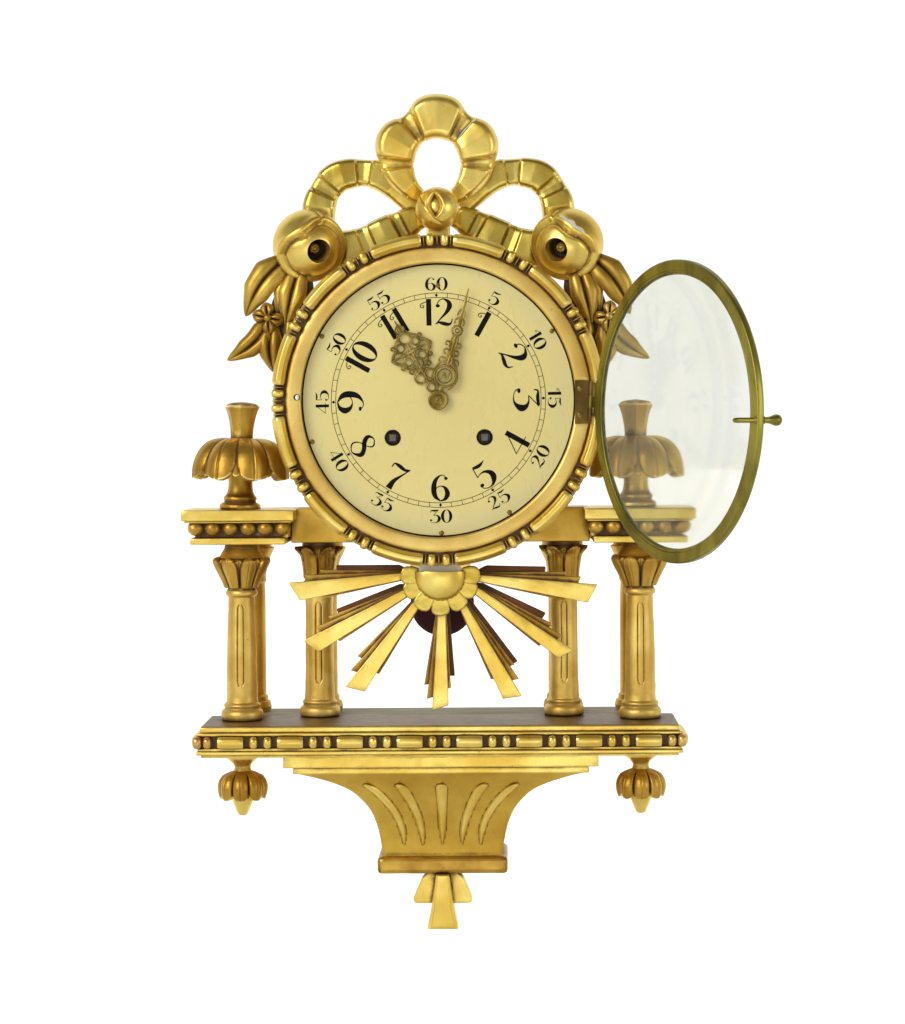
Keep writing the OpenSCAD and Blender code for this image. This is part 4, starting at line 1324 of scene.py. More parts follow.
@dataclass(frozen=True)
class OldBrass:
    """Brass with wiped streaks of patina, lighter on its bulging edges: a painted highlight, partly polish
    from handling.
    """

    name: str
    bright: Colour
    dark: Colour
    smooth: float = 0.30
    metal: float = 0.92
    streak_size: float = 40.0

    def build(self, effects: Effects) -> bpy.types.Material:
        """Builds the material.

        Args:
            effects: The shared groups.

        Returns:
            The material.
        """
        made, work, shader = started(self.name)
        streak = group_in(work, effects.streak, Size=self.streak_size)
        ridge = work.stored("ridge")
        colour = work.blend(streak["Broad"], self.dark, self.bright)
        # Painted highlight on bulging edges, partly polish from handling
        colour = work.blend(work.span(ridge, 0.05, 0.22), colour, self.bright)
        work.feed(shader.inputs["Base Color"], colour)
        shader.inputs["Metallic"].default_value = self.metal
        work.feed(shader.inputs["Roughness"],
                  work.between(streak["Fine"], self.smooth - 0.05, self.smooth + 0.18))
        work.feed(shader.inputs["Normal"], work.bumped(streak["Fine"], 0.12, 0.3))
        return made


@dataclass(frozen=True)
class Timber:
    """Plain, primed or stained wood with its grain."""

    name: str
    light: Colour
    dark: Colour
    rough: float = 0.62
    grain: Point3 = (0.06, 1.0, 1.0)

    def build(self, effects: Effects) -> bpy.types.Material:
        """Builds the material.

        Args:
            effects: The shared groups.

        Returns:
            The material.
        """
        made, work, shader = started(self.name)
        grain = work.span(work.cloud(260.0, 5.0, self.grain, 0.65), 0.30, 0.72)
        patch = work.cloud(18.0, 4.0)
        colour = work.blend(grain, self.dark, self.light)
        leaf = group_in(work, effects.leaf, Patch_size=18.0)
        colour = work.blend(work.sum("MULTIPLY", leaf["Tone"], 0.35), colour, self.dark)
        work.feed(shader.inputs["Base Color"], colour)
        work.feed(shader.inputs["Roughness"], work.between(patch, self.rough - 0.1, self.rough + 0.1))
        work.feed(shader.inputs["Normal"], work.bumped(grain, 0.15, 0.5))
        return made


@dataclass(frozen=True)
class DialLacquer:
    """Glossy cream lacquer, chipped, and greyer and a little darker towards the rim."""

    name: str = "cream dial lacquer"
    middle: Colour = tint(230, 214, 136)
    rim: Colour = tint(220, 209, 143)
    stain: Colour = tint(214, 196, 118)
    radius: float = 102.5 * MM
    forward: float = 102.0 * MM

    def build(self, effects: Effects) -> bpy.types.Material:
        """Builds the material.

        Args:
            effects: The shared groups.

        Returns:
            The material.
        """
        made, work, shader = started(self.name)
        place = work.node("ShaderNodeTexCoord").outputs["Object"]
        shift = work.node("ShaderNodeVectorMath", operation="ADD")
        work.feed(shift.inputs[0], place)
        shift.inputs[1].default_value = (0.0, self.forward, DIAL_DROP * MM)
        length = work.node("ShaderNodeVectorMath", operation="LENGTH")
        work.feed(length.inputs[0], shift.outputs[0])
        radius = work.sum("ADD", length.outputs["Value"],
                          work.sum("MULTIPLY_ADD", work.cloud(30.0, 4.0), 0.02, -0.01))
        rim = work.span(radius, self.radius * 0.74, self.radius * 1.0)
        leaf = group_in(work, effects.leaf, Patch_size=14.0)
        colour = work.blend(work.sum("MULTIPLY", leaf["Tone"], 0.22), self.middle, self.stain)
        colour = work.blend(rim, colour, self.rim)
        colour = work.blend(work.sum("MULTIPLY", leaf["Speck"], 0.25), colour, tint(150, 120, 60))
        work.feed(shader.inputs["Base Color"], colour)
        work.feed(shader.inputs["Roughness"], work.between(leaf["Mark"], 0.25, 0.31))
        shader.inputs["Coat Weight"].default_value = 0.5
        shader.inputs["Coat Roughness"].default_value = 0.08
        work.feed(shader.inputs["Normal"], work.bumped(leaf["Tone"], 0.10, 0.10))
        return made


@dataclass(frozen=True)
class Plain:
    """Steel, lacquer or ink with a little unevenness."""

    name: str
    colour: Colour
    other: Colour
    rough: float = 0.35
    metal: float = 0.0
    shine: float = 0.5

    def build(self, effects: Effects) -> bpy.types.Material:
        """Builds the material.

        Args:
            effects: The shared groups.

        Returns:
            The material.
        """
        made, work, shader = started(self.name)
        leaf = group_in(work, effects.leaf, Patch_size=60.0, Mark_size=500.0)
        work.feed(shader.inputs["Base Color"], work.blend(leaf["Tone"], self.colour, self.other))
        shader.inputs["Metallic"].default_value = self.metal
        shader.inputs["Specular IOR Level"].default_value = self.shine
        work.feed(shader.inputs["Roughness"],
                  work.between(leaf["Mark"], self.rough - 0.08, self.rough + 0.08))
        work.feed(shader.inputs["Normal"], work.bumped(leaf["Mark"], 0.06, 0.25))
        return made


@dataclass(frozen=True)
class OldGlass:
    """Clear sheet glass with a slight haze."""

    name: str = "old clear glass"
    colour: Colour = tint(240, 243, 236)

    def build(self, effects: Effects) -> bpy.types.Material:
        """Builds the material.

        Args:
            effects: The shared groups.

        Returns:
            The material.
        """
        made, work, shader = started(self.name)
        shader.inputs["Transmission Weight"].default_value = 0.95
        shader.inputs["IOR"].default_value = 1.45
        leaf = group_in(work, effects.leaf, Patch_size=9.0, Mark_size=30.0)
        work.feed(shader.inputs["Base Color"],
                  work.blend(work.sum("MULTIPLY", leaf["Tone"], 0.5), self.colour, tint(230, 234, 224)))
        work.feed(shader.inputs["Roughness"], work.between(leaf["Tone"], 0.02, 0.06))
        return made


BRIGHT_GOLD = tint(244, 220, 122)
SHADED_GOLD = tint(222, 186, 80)


class Finishes:
    """Every finish of the clock, built once."""

    def __init__(self) -> None:
        """Builds the materials."""
        effects = Effects()
        coats = {
            Slot.BURNISHED: Gilding("burnished gilding", BRIGHT_GOLD, SHADED_GOLD),
            Slot.MATTE: Gilding("matte gilding", tint(220, 184, 82), tint(188, 146, 48), smooth=0.40,
                                metal=0.82, toner_start=0.10, toner_full=0.62, worn=0.15),
            Slot.BARE: Timber("bare softwood", tint(168, 128, 84), tint(120, 84, 50)),
            Slot.PRIMED: Timber("primed wood", tint(178, 176, 152), tint(128, 119, 88)),
            Slot.STAINED: Timber("brown stained wood", tint(122, 80, 32), tint(78, 46, 14), rough=0.48),
            Slot.DIAL: DialLacquer(),
            Slot.AGED_BRASS: OldBrass("olive brass", tint(158, 150, 66), tint(112, 104, 40)),
            Slot.HANDS: OldBrass("cast hand brass", tint(176, 156, 84), tint(116, 98, 40), smooth=0.36,
                                 streak_size=160.0),
            Slot.MOVEMENT: OldBrass("movement brass", tint(212, 184, 110), tint(182, 150, 78),
                                    smooth=0.22),
            Slot.STEEL: Plain("oiled steel", tint(118, 112, 106), tint(92, 84, 78), 0.32, 1.0),
            Slot.BOB: Plain("red brown bob lacquer", tint(70, 14, 5), tint(50, 10, 5), 0.55, shine=0.3),
            Slot.GLASS: OldGlass(),
        }
        self.slots = {slot: coat.build(effects) for slot, coat in coats.items()}
        self.carved = Gilding("carved leaf gilding", tint(208, 170, 74), tint(168, 124, 38), smooth=0.36,
                              toner_start=0.06, toner_full=0.50, metal=0.85, worn=0.11).build(effects)
        # Darker gilding for the shelf's top: painted shade on the face that looks up, away from the lights
        self.shelf_top = Gilding("darkened shelf gilding", tint(126, 100, 42), tint(96, 72, 26),
                                 smooth=0.40, metal=0.6, worn=0.16).build(effects)
        self.ribbon = Gilding("olive ribbon gilding", tint(222, 200, 106), tint(192, 162, 64),
                              toner=tint(96, 74, 16), smooth=0.26, metal=0.94).build(effects)
        self.bezel_band = Gilding("bezel band gilding", tint(232, 204, 118), tint(210, 172, 86),
                                  smooth=0.36, metal=0.80, worn=0.2).build(effects)
        self.bracket = Gilding("bracket gilding", tint(218, 184, 78), tint(194, 154, 54), smooth=0.40,
                               metal=0.82).build(effects)
        self.shaft = Gilding("column gilding", tint(236, 206, 114), tint(204, 164, 74), smooth=0.42,
                             metal=0.82, toner_start=0.12).build(effects)
        self.foliage = Gilding("matte leaf gilding", tint(210, 176, 78), tint(166, 130, 46), smooth=0.38,
                               metal=0.78, toner_start=0.04).build(effects)
        # Dark sheet behind carvings: partly toner, partly painted shade in the recesses behind them
        self.dark_ground = Gilding("dark ground", tint(92, 58, 18), tint(62, 36, 10), smooth=0.60,
                                   metal=0.2).build(effects)
        # Dark brown for the layer behind the rays: partly bole, partly painted shade under the front rays
        self.ray_back = Gilding("brown layer of the rays", tint(120, 66, 10), tint(84, 40, 6), smooth=0.56,
                                metal=0.25).build(effects)
        self.hinge = OldBrass("brown hinge brass", tint(134, 108, 50), tint(88, 68, 28)).build(effects)
        # Darker brown gilding for the finials' cup tops: painted shade on faces that look up
        self.browned = Gilding("browned gilding", tint(158, 116, 44), tint(116, 76, 22), smooth=0.42,
                               metal=0.7).build(effects)
        self.worn_plinth = Gilding("worn plinth gilding", tint(206, 168, 74), tint(150, 108, 40),
                                   rubbed=tint(120, 84, 40), worn=0.10, chips_from=0.4).build(effects)
        self.red_bole = Gilding("bole showing through", tint(222, 196, 116), tint(196, 150, 84),
                                rubbed=tint(206, 142, 92), metal=0.8).build(effects)
        self.ink = Plain("black print", tint(8, 7, 7), tint(14, 12, 11), 0.6, shine=0.12).build(effects)
        self.fine_line = Plain("grey line print", tint(24, 22, 18), tint(36, 32, 24), 0.6,
                               shine=0.12).build(effects)
        # Black of the real bushes; it also serves as painted shade at the dial's rim and in the latch hole
        self.bush = Plain("black bush", tint(10, 9, 8), tint(16, 14, 13), 0.5, shine=0.15).build(effects)
        self.gesso = Plain("bare gesso", tint(226, 222, 208), tint(206, 198, 176), 0.6).build(effects)


def dress_movement(frame_nodes: dict[str, bpy.types.Object], finishes: Finishes,
                   shown: Iterable[str]) -> None:
    """Gives every carried-over CAD node the finish of its slot.

    Args:
        frame_nodes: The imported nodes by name.
        finishes: The clock's finishes.
        shown: Names of nodes that stay in view.
    """
    slots = {part["node"]: Slot(part["material_slot"]) for part in frame["record"]["subparts"]}
    for name in shown:
        mesh = frame_nodes[name].data
        mesh.materials.clear()
        brown = name in ("hinge_leaf", "hinge_pin")
        mesh.materials.append(finishes.hinge if brown else finishes.slots[slots[name]])
        LOG.info("%s keeps its CAD shape", name)


# The drum, its bezel and the dial


# Sawn and planed boards, and small parts that need no tool marks
JOINERY = Cut(bevel=0.9, longest=8.5, rough=0.16, rough_size=30.0, crease=35.0)
FINE = Cut(crease=40.0)


@dataclass
class Drum:
    """Wall of the round case; what it holds keeps its CAD shape."""

    radius: float = 108.0
    depth: float = 101.0
    wall: float = 7.0

    def make(self, bench: Bench) -> None:
        """Makes the drum's wall, with the hole that the latch pin enters.

        Args:
            bench: Takes the wall.
        """
        r, w = self.radius, self.wall
        wall = faced([(r - w, 0.0), (r, 0.0), (r, self.depth), (r - 16, self.depth),
                      (r - 16, self.depth - 8), (r - w, self.depth - 8)], around=160)
        cut = Cut(longest=9.0, rough=0.1, rough_size=40.0, hole=(*Bezel.latch[:2], 2.2, 93.0))
        bench.make("drum wall", wall, Slot.MATTE, cut, ["drum_case"])


@dataclass
class Bezel:
    """Carved ring round the dial, with half-round rods and pairs of beads."""

    opening: float = 102.5
    outside: float = 124.8
    seat: float = 101.0
    face: float = 110.8
    bead: float = 4.7
    rods: int = 12
    rod_half_angle: float = 9.2
    bead_angle: float = 2.62
    # Number of the bead pair that gives way to the hinge
    hinge_pair: int = 3
    # Place and radius of the latch's hole
    latch: Point3 = (-105.4, 2.6, 2.0)
    # Seat of the hinge leaf: forward distance, outer edge, lower end and upper end
    hinge: tuple[float, float, float, float] = (109.85, 115.6, -18.4, 14.4)

    @property
    def middle(self) -> float:
        """Radius of the line on which the rods and the beads lie."""
        return self.outside - self.bead - 0.4

    def rod(self) -> Carving:
        """One rod at the top of the ring, half round with a flat along its crown.

        Returns:
            The rod.
        """
        middle, crown = self.middle, self.face + 2.2
        section = np.array([(-1.0, -1.0), (-1.0, 0.0), (-0.94, 0.34), (-0.50, 0.86), (-0.42, 0.93),
                            (-0.36, 0.94), (0.22, 0.97), (0.30, 0.95), (0.36, 0.90), (0.90, 0.34),
                            (1.0, 0.0), (1.0, -1.0)])
        angles = np.radians(np.linspace(-self.rod_half_angle, self.rod_half_angle, 30))
        rings = []
        for a in angles:
            end = max(0.0, self.rod_half_angle - abs(math.degrees(a))) / 0.9
            size = 0.80 + 0.20 * min(1.0, end) ** 0.5
            r = middle + section[:, 0] * self.bead * size
            z = crown + section[:, 1] * self.bead * size
            rings.append(np.column_stack([r * math.sin(a), r * math.cos(a), z]))
        return loft(np.stack(rings))

    def bead_at_top(self) -> Carving:
        """One squat bead with its thin collars.

        Returns:
            The bead.
        """
        half = np.array([3.3, 5.0, 4.9])
        squat = ball((0.0, 0.0, 0.0), (1.0, 1.0, 1.0), 14, 20)
        squat.points = np.sign(squat.points) * np.abs(squat.points) ** 0.72 * half * 0.93
        return squat.moved(0.0, self.middle, self.face + 2.0)

    def collar(self) -> Carving:
        """One thin rib beside a bead."""
        return ball((0.0, self.middle, self.face + 0.6), (0.55, 4.4, 4.1), 10, 16)

    def make(self, bench: Bench) -> None:
        """Makes the ring, the rods and the beads.

        Args:
            bench: Takes the pieces.
        """
        groove, hollow = self.outside - 2 * self.bead - 1.0, self.face - 2.2
        ring = faced([(self.opening, self.seat), (self.opening, self.face - 1.4),
                      (self.opening + 0.5, self.face - 0.4), (self.opening + 2.6, self.face),
                      (groove - 3.4, self.face), (groove - 0.9, self.face - 0.7), (groove, hollow),
                      (self.outside - 3.2, hollow + 0.6), (self.outside - 1.0, self.face - 3.6),
                      (self.outside - 1.6, self.seat)], around=480)
        x, y, z = ring.points.T
        seat, out, low, high = self.hinge
        under = (x > 99) & (x < out) & (y > low) & (y < high)
        ring.points[under, 2] = np.minimum(z[under], seat)
        x, y, r = self.latch
        cut = Cut(rough=0.12, rough_size=30.0, hole=(x, y, r + 0.4, self.seat - 5))
        bench.make("bezel ring", ring, Slot.BURNISHED, cut, ["bezel"], finish=bench.extra.bezel_band)
        step, near, far = 360 / self.rods, self.bead_angle, self.bead_angle * 1.84
        for name, motif, turn, left_out in (
                ("rods", self.rod(), step / 2, -1),
                ("beads before", self.bead_at_top(), -near, self.hinge_pair),
                ("ribs before", self.collar(), -far, self.hinge_pair),
                ("beads after", self.bead_at_top(), near, self.hinge_pair),
                ("ribs after", self.collar(), far, self.hinge_pair),
                ("ribs between", self.collar(), 0.0, self.hinge_pair)):
            row = bench.march.lay(f"bezel {name}", motif, Cut(crease=55.0), bench.finishes[Slot.BURNISHED],
                                  self.rods, turn=turn, step=step, left_out=left_out)
            bench.take(row, CASE, Slot.BURNISHED)
        # A black lining inside the latch hole: painted shade in the hole
        lining = faced([(r, self.seat), (r + 0.4, self.seat), (r + 0.4, self.face), (r, self.face)],
                       32, 0, (x, y))
        bench.make("latch hole", lining, Slot.BURNISHED, FINE, finish=bench.extra.bush)


# Strokes of the printed digits on an em one high: each point is x, y and width
THIN = 0.030
DIGITS: dict[str, tuple[list[list[Point3]], list[Point3], float]] = {
    "0": ([], [], 0.60),
    "1": ([[(0.27, 0.995, 0.155), (0.27, 0.5, 0.155), (0.27, 0.005, 0.155)],
           [(0.24, 0.90, THIN), (0.12, 0.86, THIN), (0.03, 0.79, THIN), (0.02, 0.70, THIN),
            (0.09, 0.67, THIN), (0.12, 0.73, THIN), (0.07, 0.76, 0.022)]], [], 0.40),
    "2": ([[(0.10, 0.74, THIN), (0.15, 0.90, THIN), (0.29, 0.985, 0.045), (0.45, 0.88, 0.12),
            (0.48, 0.70, 0.155), (0.38, 0.48, 0.10), (0.20, 0.25, 0.045), (0.06, 0.06, 0.035)],
           [(0.05, 0.05, 0.03), (0.14, 0.12, 0.07), (0.28, 0.08, 0.13), (0.42, 0.04, 0.12),
            (0.52, 0.09, 0.05), (0.56, 0.25, 0.022)]], [(0.125, 0.735, 0.065)], 0.60),
    "3": ([[(0.08, 0.78, 0.022), (0.12, 0.93, 0.06), (0.28, 0.92, 0.13), (0.48, 0.95, 0.10)],
           [(0.50, 0.965, THIN), (0.24, 0.60, THIN)],
           [(0.22, 0.58, THIN), (0.38, 0.585, 0.06), (0.51, 0.47, 0.13), (0.53, 0.27, 0.165),
            (0.43, 0.08, 0.09), (0.27, 0.018, 0.038), (0.11, 0.09, THIN), (0.07, 0.22, THIN)]],
          [(0.105, 0.225, 0.062)], 0.60),
    "4": ([[(0.44, 0.98, THIN), (0.04, 0.27, THIN)], [(0.03, 0.27, THIN), (0.60, 0.27, THIN)],
           [(0.43, 0.995, 0.15), (0.43, 0.5, 0.15), (0.43, 0.005, 0.15)]], [], 0.62),
    "5": ([[(0.12, 0.93, 0.09), (0.30, 0.90, 0.13), (0.46, 0.96, 0.05), (0.50, 0.99, 0.022)],
           [(0.115, 0.95, THIN), (0.11, 0.54, THIN)],
           [(0.11, 0.54, 0.022), (0.24, 0.62, 0.04), (0.39, 0.60, 0.09), (0.51, 0.46, 0.145),
            (0.52, 0.26, 0.165), (0.41, 0.07, 0.09), (0.26, 0.018, 0.038), (0.11, 0.09, THIN),
            (0.07, 0.21, THIN)]], [(0.105, 0.215, 0.062)], 0.59),
    "6": ([[(0.48, 0.87, THIN), (0.42, 0.96, THIN), (0.30, 0.96, 0.05), (0.16, 0.78, 0.12),
            (0.11, 0.48, 0.155), (0.15, 0.20, 0.13), (0.30, 0.018, 0.038)],
           [(0.30, 0.018, 0.038), (0.45, 0.10, 0.11), (0.515, 0.30, 0.145), (0.45, 0.50, 0.10),
            (0.32, 0.575, 0.035), (0.20, 0.51, THIN), (0.14, 0.38, THIN)]],
          [(0.475, 0.855, 0.055)], 0.60),
    "7": ([[(0.06, 0.76, 0.022), (0.09, 0.93, 0.05), (0.22, 0.93, 0.13), (0.40, 0.89, 0.11),
            (0.53, 0.98, 0.028)],
           [(0.53, 0.98, 0.026), (0.40, 0.66, 0.05), (0.28, 0.34, 0.11), (0.25, 0.01, 0.17)]], [], 0.57),
    "8": ([[(0.46, 0.86, 0.05), (0.30, 0.975, 0.038), (0.14, 0.84, 0.11), (0.22, 0.62, 0.155),
            (0.42, 0.45, 0.15), (0.51, 0.24, 0.14), (0.30, 0.02, 0.038), (0.08, 0.18, 0.05),
            (0.14, 0.42, 0.035), (0.36, 0.60, 0.03), (0.47, 0.74, 0.04), (0.46, 0.86, 0.05)]],
          [], 0.60),
}


def zero(width: float) -> Carving:
    """The digit nought, thick at its sides.

    Args:
        width: Half the digit's width at the middle of its strokes.

    Returns:
        The digit on its em.
    """
    turn = np.linspace(0, TAU, 24, endpoint=False)
    ring = [(0.30 + width * math.cos(a), 0.5 + 0.475 * math.sin(a),
             0.035 + 0.125 * abs(math.cos(a)) ** 1.4) for a in turn]
    return stroke(ring, 0.0, 1.0, closed=True, count=48)


@dataclass
class Numeral:
    """A printed number on the dial."""

    text: str
    height: float
    radius: float
    angle: float
    feet_out: bool
    back: float
    front: float
    widened: float = 1.3

    def digit(self, sign: str) -> tuple[Carving, float]:
        """One digit on its em, and how wide it is.

        Args:
            sign: The digit.

        Returns:
            Its strokes, and its width.
        """
        if sign == "9":
            six, wide = self.digit("6")
            flipped = six.points * [-1.0, -1.0, 1.0] + [0.60, 1.0, 0.0]
            return Carving(flipped, six.faces), wide
        if sign == "0":
            return zero(0.215), DIGITS[sign][2]
        strokes, balls, wide = DIGITS[sign]
        parts = [stroke(line, 0.0, 1.0, count=34) for line in strokes]
        parts += [disc([(0.0, 0.0), (r, 0.0), (r, 1.0), (0.0, 1.0)], 20, (x, y)) for x, y, r in balls]
        return joined(parts), wide

    def carve(self) -> Carving:
        """The number in its place on the dial.

        Returns:
            The number.
        """
        parts, pen = [], 0.0
        for sign in self.text:
            shape, wide = self.digit(sign)
            parts.append(shape.moved(x=pen))
            pen += wide + 0.02
        whole = joined(parts)
        points = whole.points - [(pen - 0.02) / 2, 0.5, 0.0]
        points[:, :2] *= [self.height * self.widened, self.height]
        points[:, 2] = self.back + points[:, 2] * (self.front - self.back)
        if self.feet_out:
            points[:, :2] *= -1
        points[:, 1] += self.radius
        return Carving(points, whole.faces).turned(self.angle)


@dataclass
class Dial:
    """Print, bushes and pins of the lacquered dial; the plate keeps its CAD shape."""

    radius: float = 102.2
    back: float = 101.0
    thick: float = 1.2
    print_turn: float = -0.8
    track: Point = (76.9, 80.3)
    hour_radius: float = 65.9
    minute_radius: float = 87.0
    hour_height: float = 20.2
    minute_height: float = 10.1
    hour_widths: tuple[float, ...] = (1.25, 1.40, 1.50, 1.28, 1.28, 1.25, 1.42, 1.20, 1.50, 1.20,
                                      1.20, 1.22)
    winding: Point = (34.4, -28.0)
    bush: float = 6.1
    ink: float = 0.06
    tops_out: tuple[int, ...] = (9, 10, 11, 12, 1, 2, 3)
    # Angle and radius of the dial's pins, and places of the hinge leaf's screws
    pins: tuple[Point, ...] = ((0.0, 86.0), (59.0, 99.5), (148.0, 99.5), (179.0, 99.5),
                               (-108.0, 99.5), (-61.0, 99.5))
    screws: tuple[Point, ...] = ((106.0, 8.0), (106.0, -12.0))
    screw_seat: float = 110.8

    @property
    def front(self) -> float:
        """Forward distance of the dial's face."""
        return self.back + self.thick

    def make(self, bench: Bench) -> None:
        """Makes everything that is printed or set on the CAD dial.

        Args:
            bench: Takes the pieces.
        """
        z = self.front
        # A black ring where the dial meets the bezel: painted shade in that corner
        rim = faced([(self.radius - 0.9, z - 0.2), (self.radius + 0.25, z - 0.2),
                     (self.radius + 0.25, z + 0.35), (self.radius - 0.9, z + 0.15)], 220, 0)
        bench.make("dark line at the dial edge", rim, Slot.DIAL, FINE, finish=bench.extra.bush)
        self.make_track(bench)
        self.make_numbers(bench)
        self.make_bushes(bench)
        self.make_pins(bench)

    def make_track(self, bench: Bench) -> None:
        """Prints the minute circles, lines and dots.

        Args:
            bench: Takes the pieces.
        """
        z, ink, (low, high) = self.front, self.ink, self.track
        rings = [faced([(r - 0.22, z - 0.1), (r + 0.22, z - 0.1), (r + 0.22, z + ink),
                        (r - 0.22, z + ink)], 240, 0) for r in (low, high)]
        bench.make("minute circles", rings, Slot.DIAL, FINE, finish=bench.extra.fine_line)
        tick = box((-0.20, 0.20), (low, high), (z - 0.1, z + ink))
        ticks = bench.march.lay("minute lines", tick, FINE, bench.extra.fine_line, 60,
                                turn=self.print_turn, step=6.0)
        bench.take(ticks, CASE, Slot.DIAL, finish=bench.extra.fine_line)
        dot = disc([(0.0, z - 0.1), (1.0, z - 0.1), (1.0, z + ink * 1.5), (0.0, z + ink * 1.5)], 20,
                   (0.0, (low + high) / 2))
        dots = bench.march.lay("minute dots", dot, FINE, bench.extra.ink, 12,
                               turn=self.print_turn, step=30.0)
        bench.take(dots, CASE, Slot.DIAL, finish=bench.extra.ink)

    def make_numbers(self, bench: Bench) -> None:
        """Prints the hour and minute numerals.

        Args:
            bench: Takes the numerals.
        """
        numbers = []
        for hour in range(1, 13):
            feet_out = hour not in self.tops_out
            turn = self.print_turn + 30 * hour
            for text, size, radius, widened in (
                    (str(hour), self.hour_height, self.hour_radius, self.hour_widths[hour - 1]),
                    (str(hour * 5), self.minute_height, self.minute_radius, 1.42)):
                numbers.append(Numeral(text, size, radius, turn, feet_out, self.front - 0.1,
                                       self.front + self.ink, widened).carve())
        bench.make("numerals", numbers, Slot.DIAL, FINE, finish=bench.extra.ink)

    def make_bushes(self, bench: Bench) -> None:
        """Makes the black bushes of the winding holes.

        Args:
            bench: Takes the bushes.
        """
        x, y = self.winding
        low, high = self.back + 0.4, self.front
        section = [(4.3, low), (self.bush, low), (self.bush, high + 0.5), (5.3, high + 0.85),
                   (4.3, high + 0.6)]
        bushes = [faced(section, 48, 1, (side * x, y)) for side in (-1, 1)]
        bench.make("winding bushes", bushes, Slot.DIAL, FINE, finish=bench.extra.bush)

    def make_pins(self, bench: Bench) -> None:
        """Makes the dial's round-headed pins and the hinge's slotted screws.

        Args:
            bench: Takes the heads.
        """
        heads = []
        for angle, radius in self.pins:
            a = math.radians(angle)
            heads.append(disc([(0.0, self.back), (1.1, self.back), (1.1, self.front), (1.9, self.front),
                               (1.6, self.front + 0.6), (0.8, self.front + 0.85),
                               (0.0, self.front + 0.9)], 20,
                              (radius * math.sin(a), radius * math.cos(a))))
        z = self.screw_seat
        for x, y in self.screws:
            heads.append(disc([(0.0, z - 0.6), (2.15, z - 0.6), (2.15, z - 0.05), (1.7, z + 0.2),
                               (0.0, z + 0.25)], 24, (x, y)))
            heads.append(box((x - 1.7, x + 1.7), (y - 0.25, y + 0.25), (z + 0.1, z + 0.3)))
        bench.make("pins and screws", heads, Slot.AGED_BRASS, FINE, ["brass_screws"],
                   finish=bench.extra.hinge)


# Hands


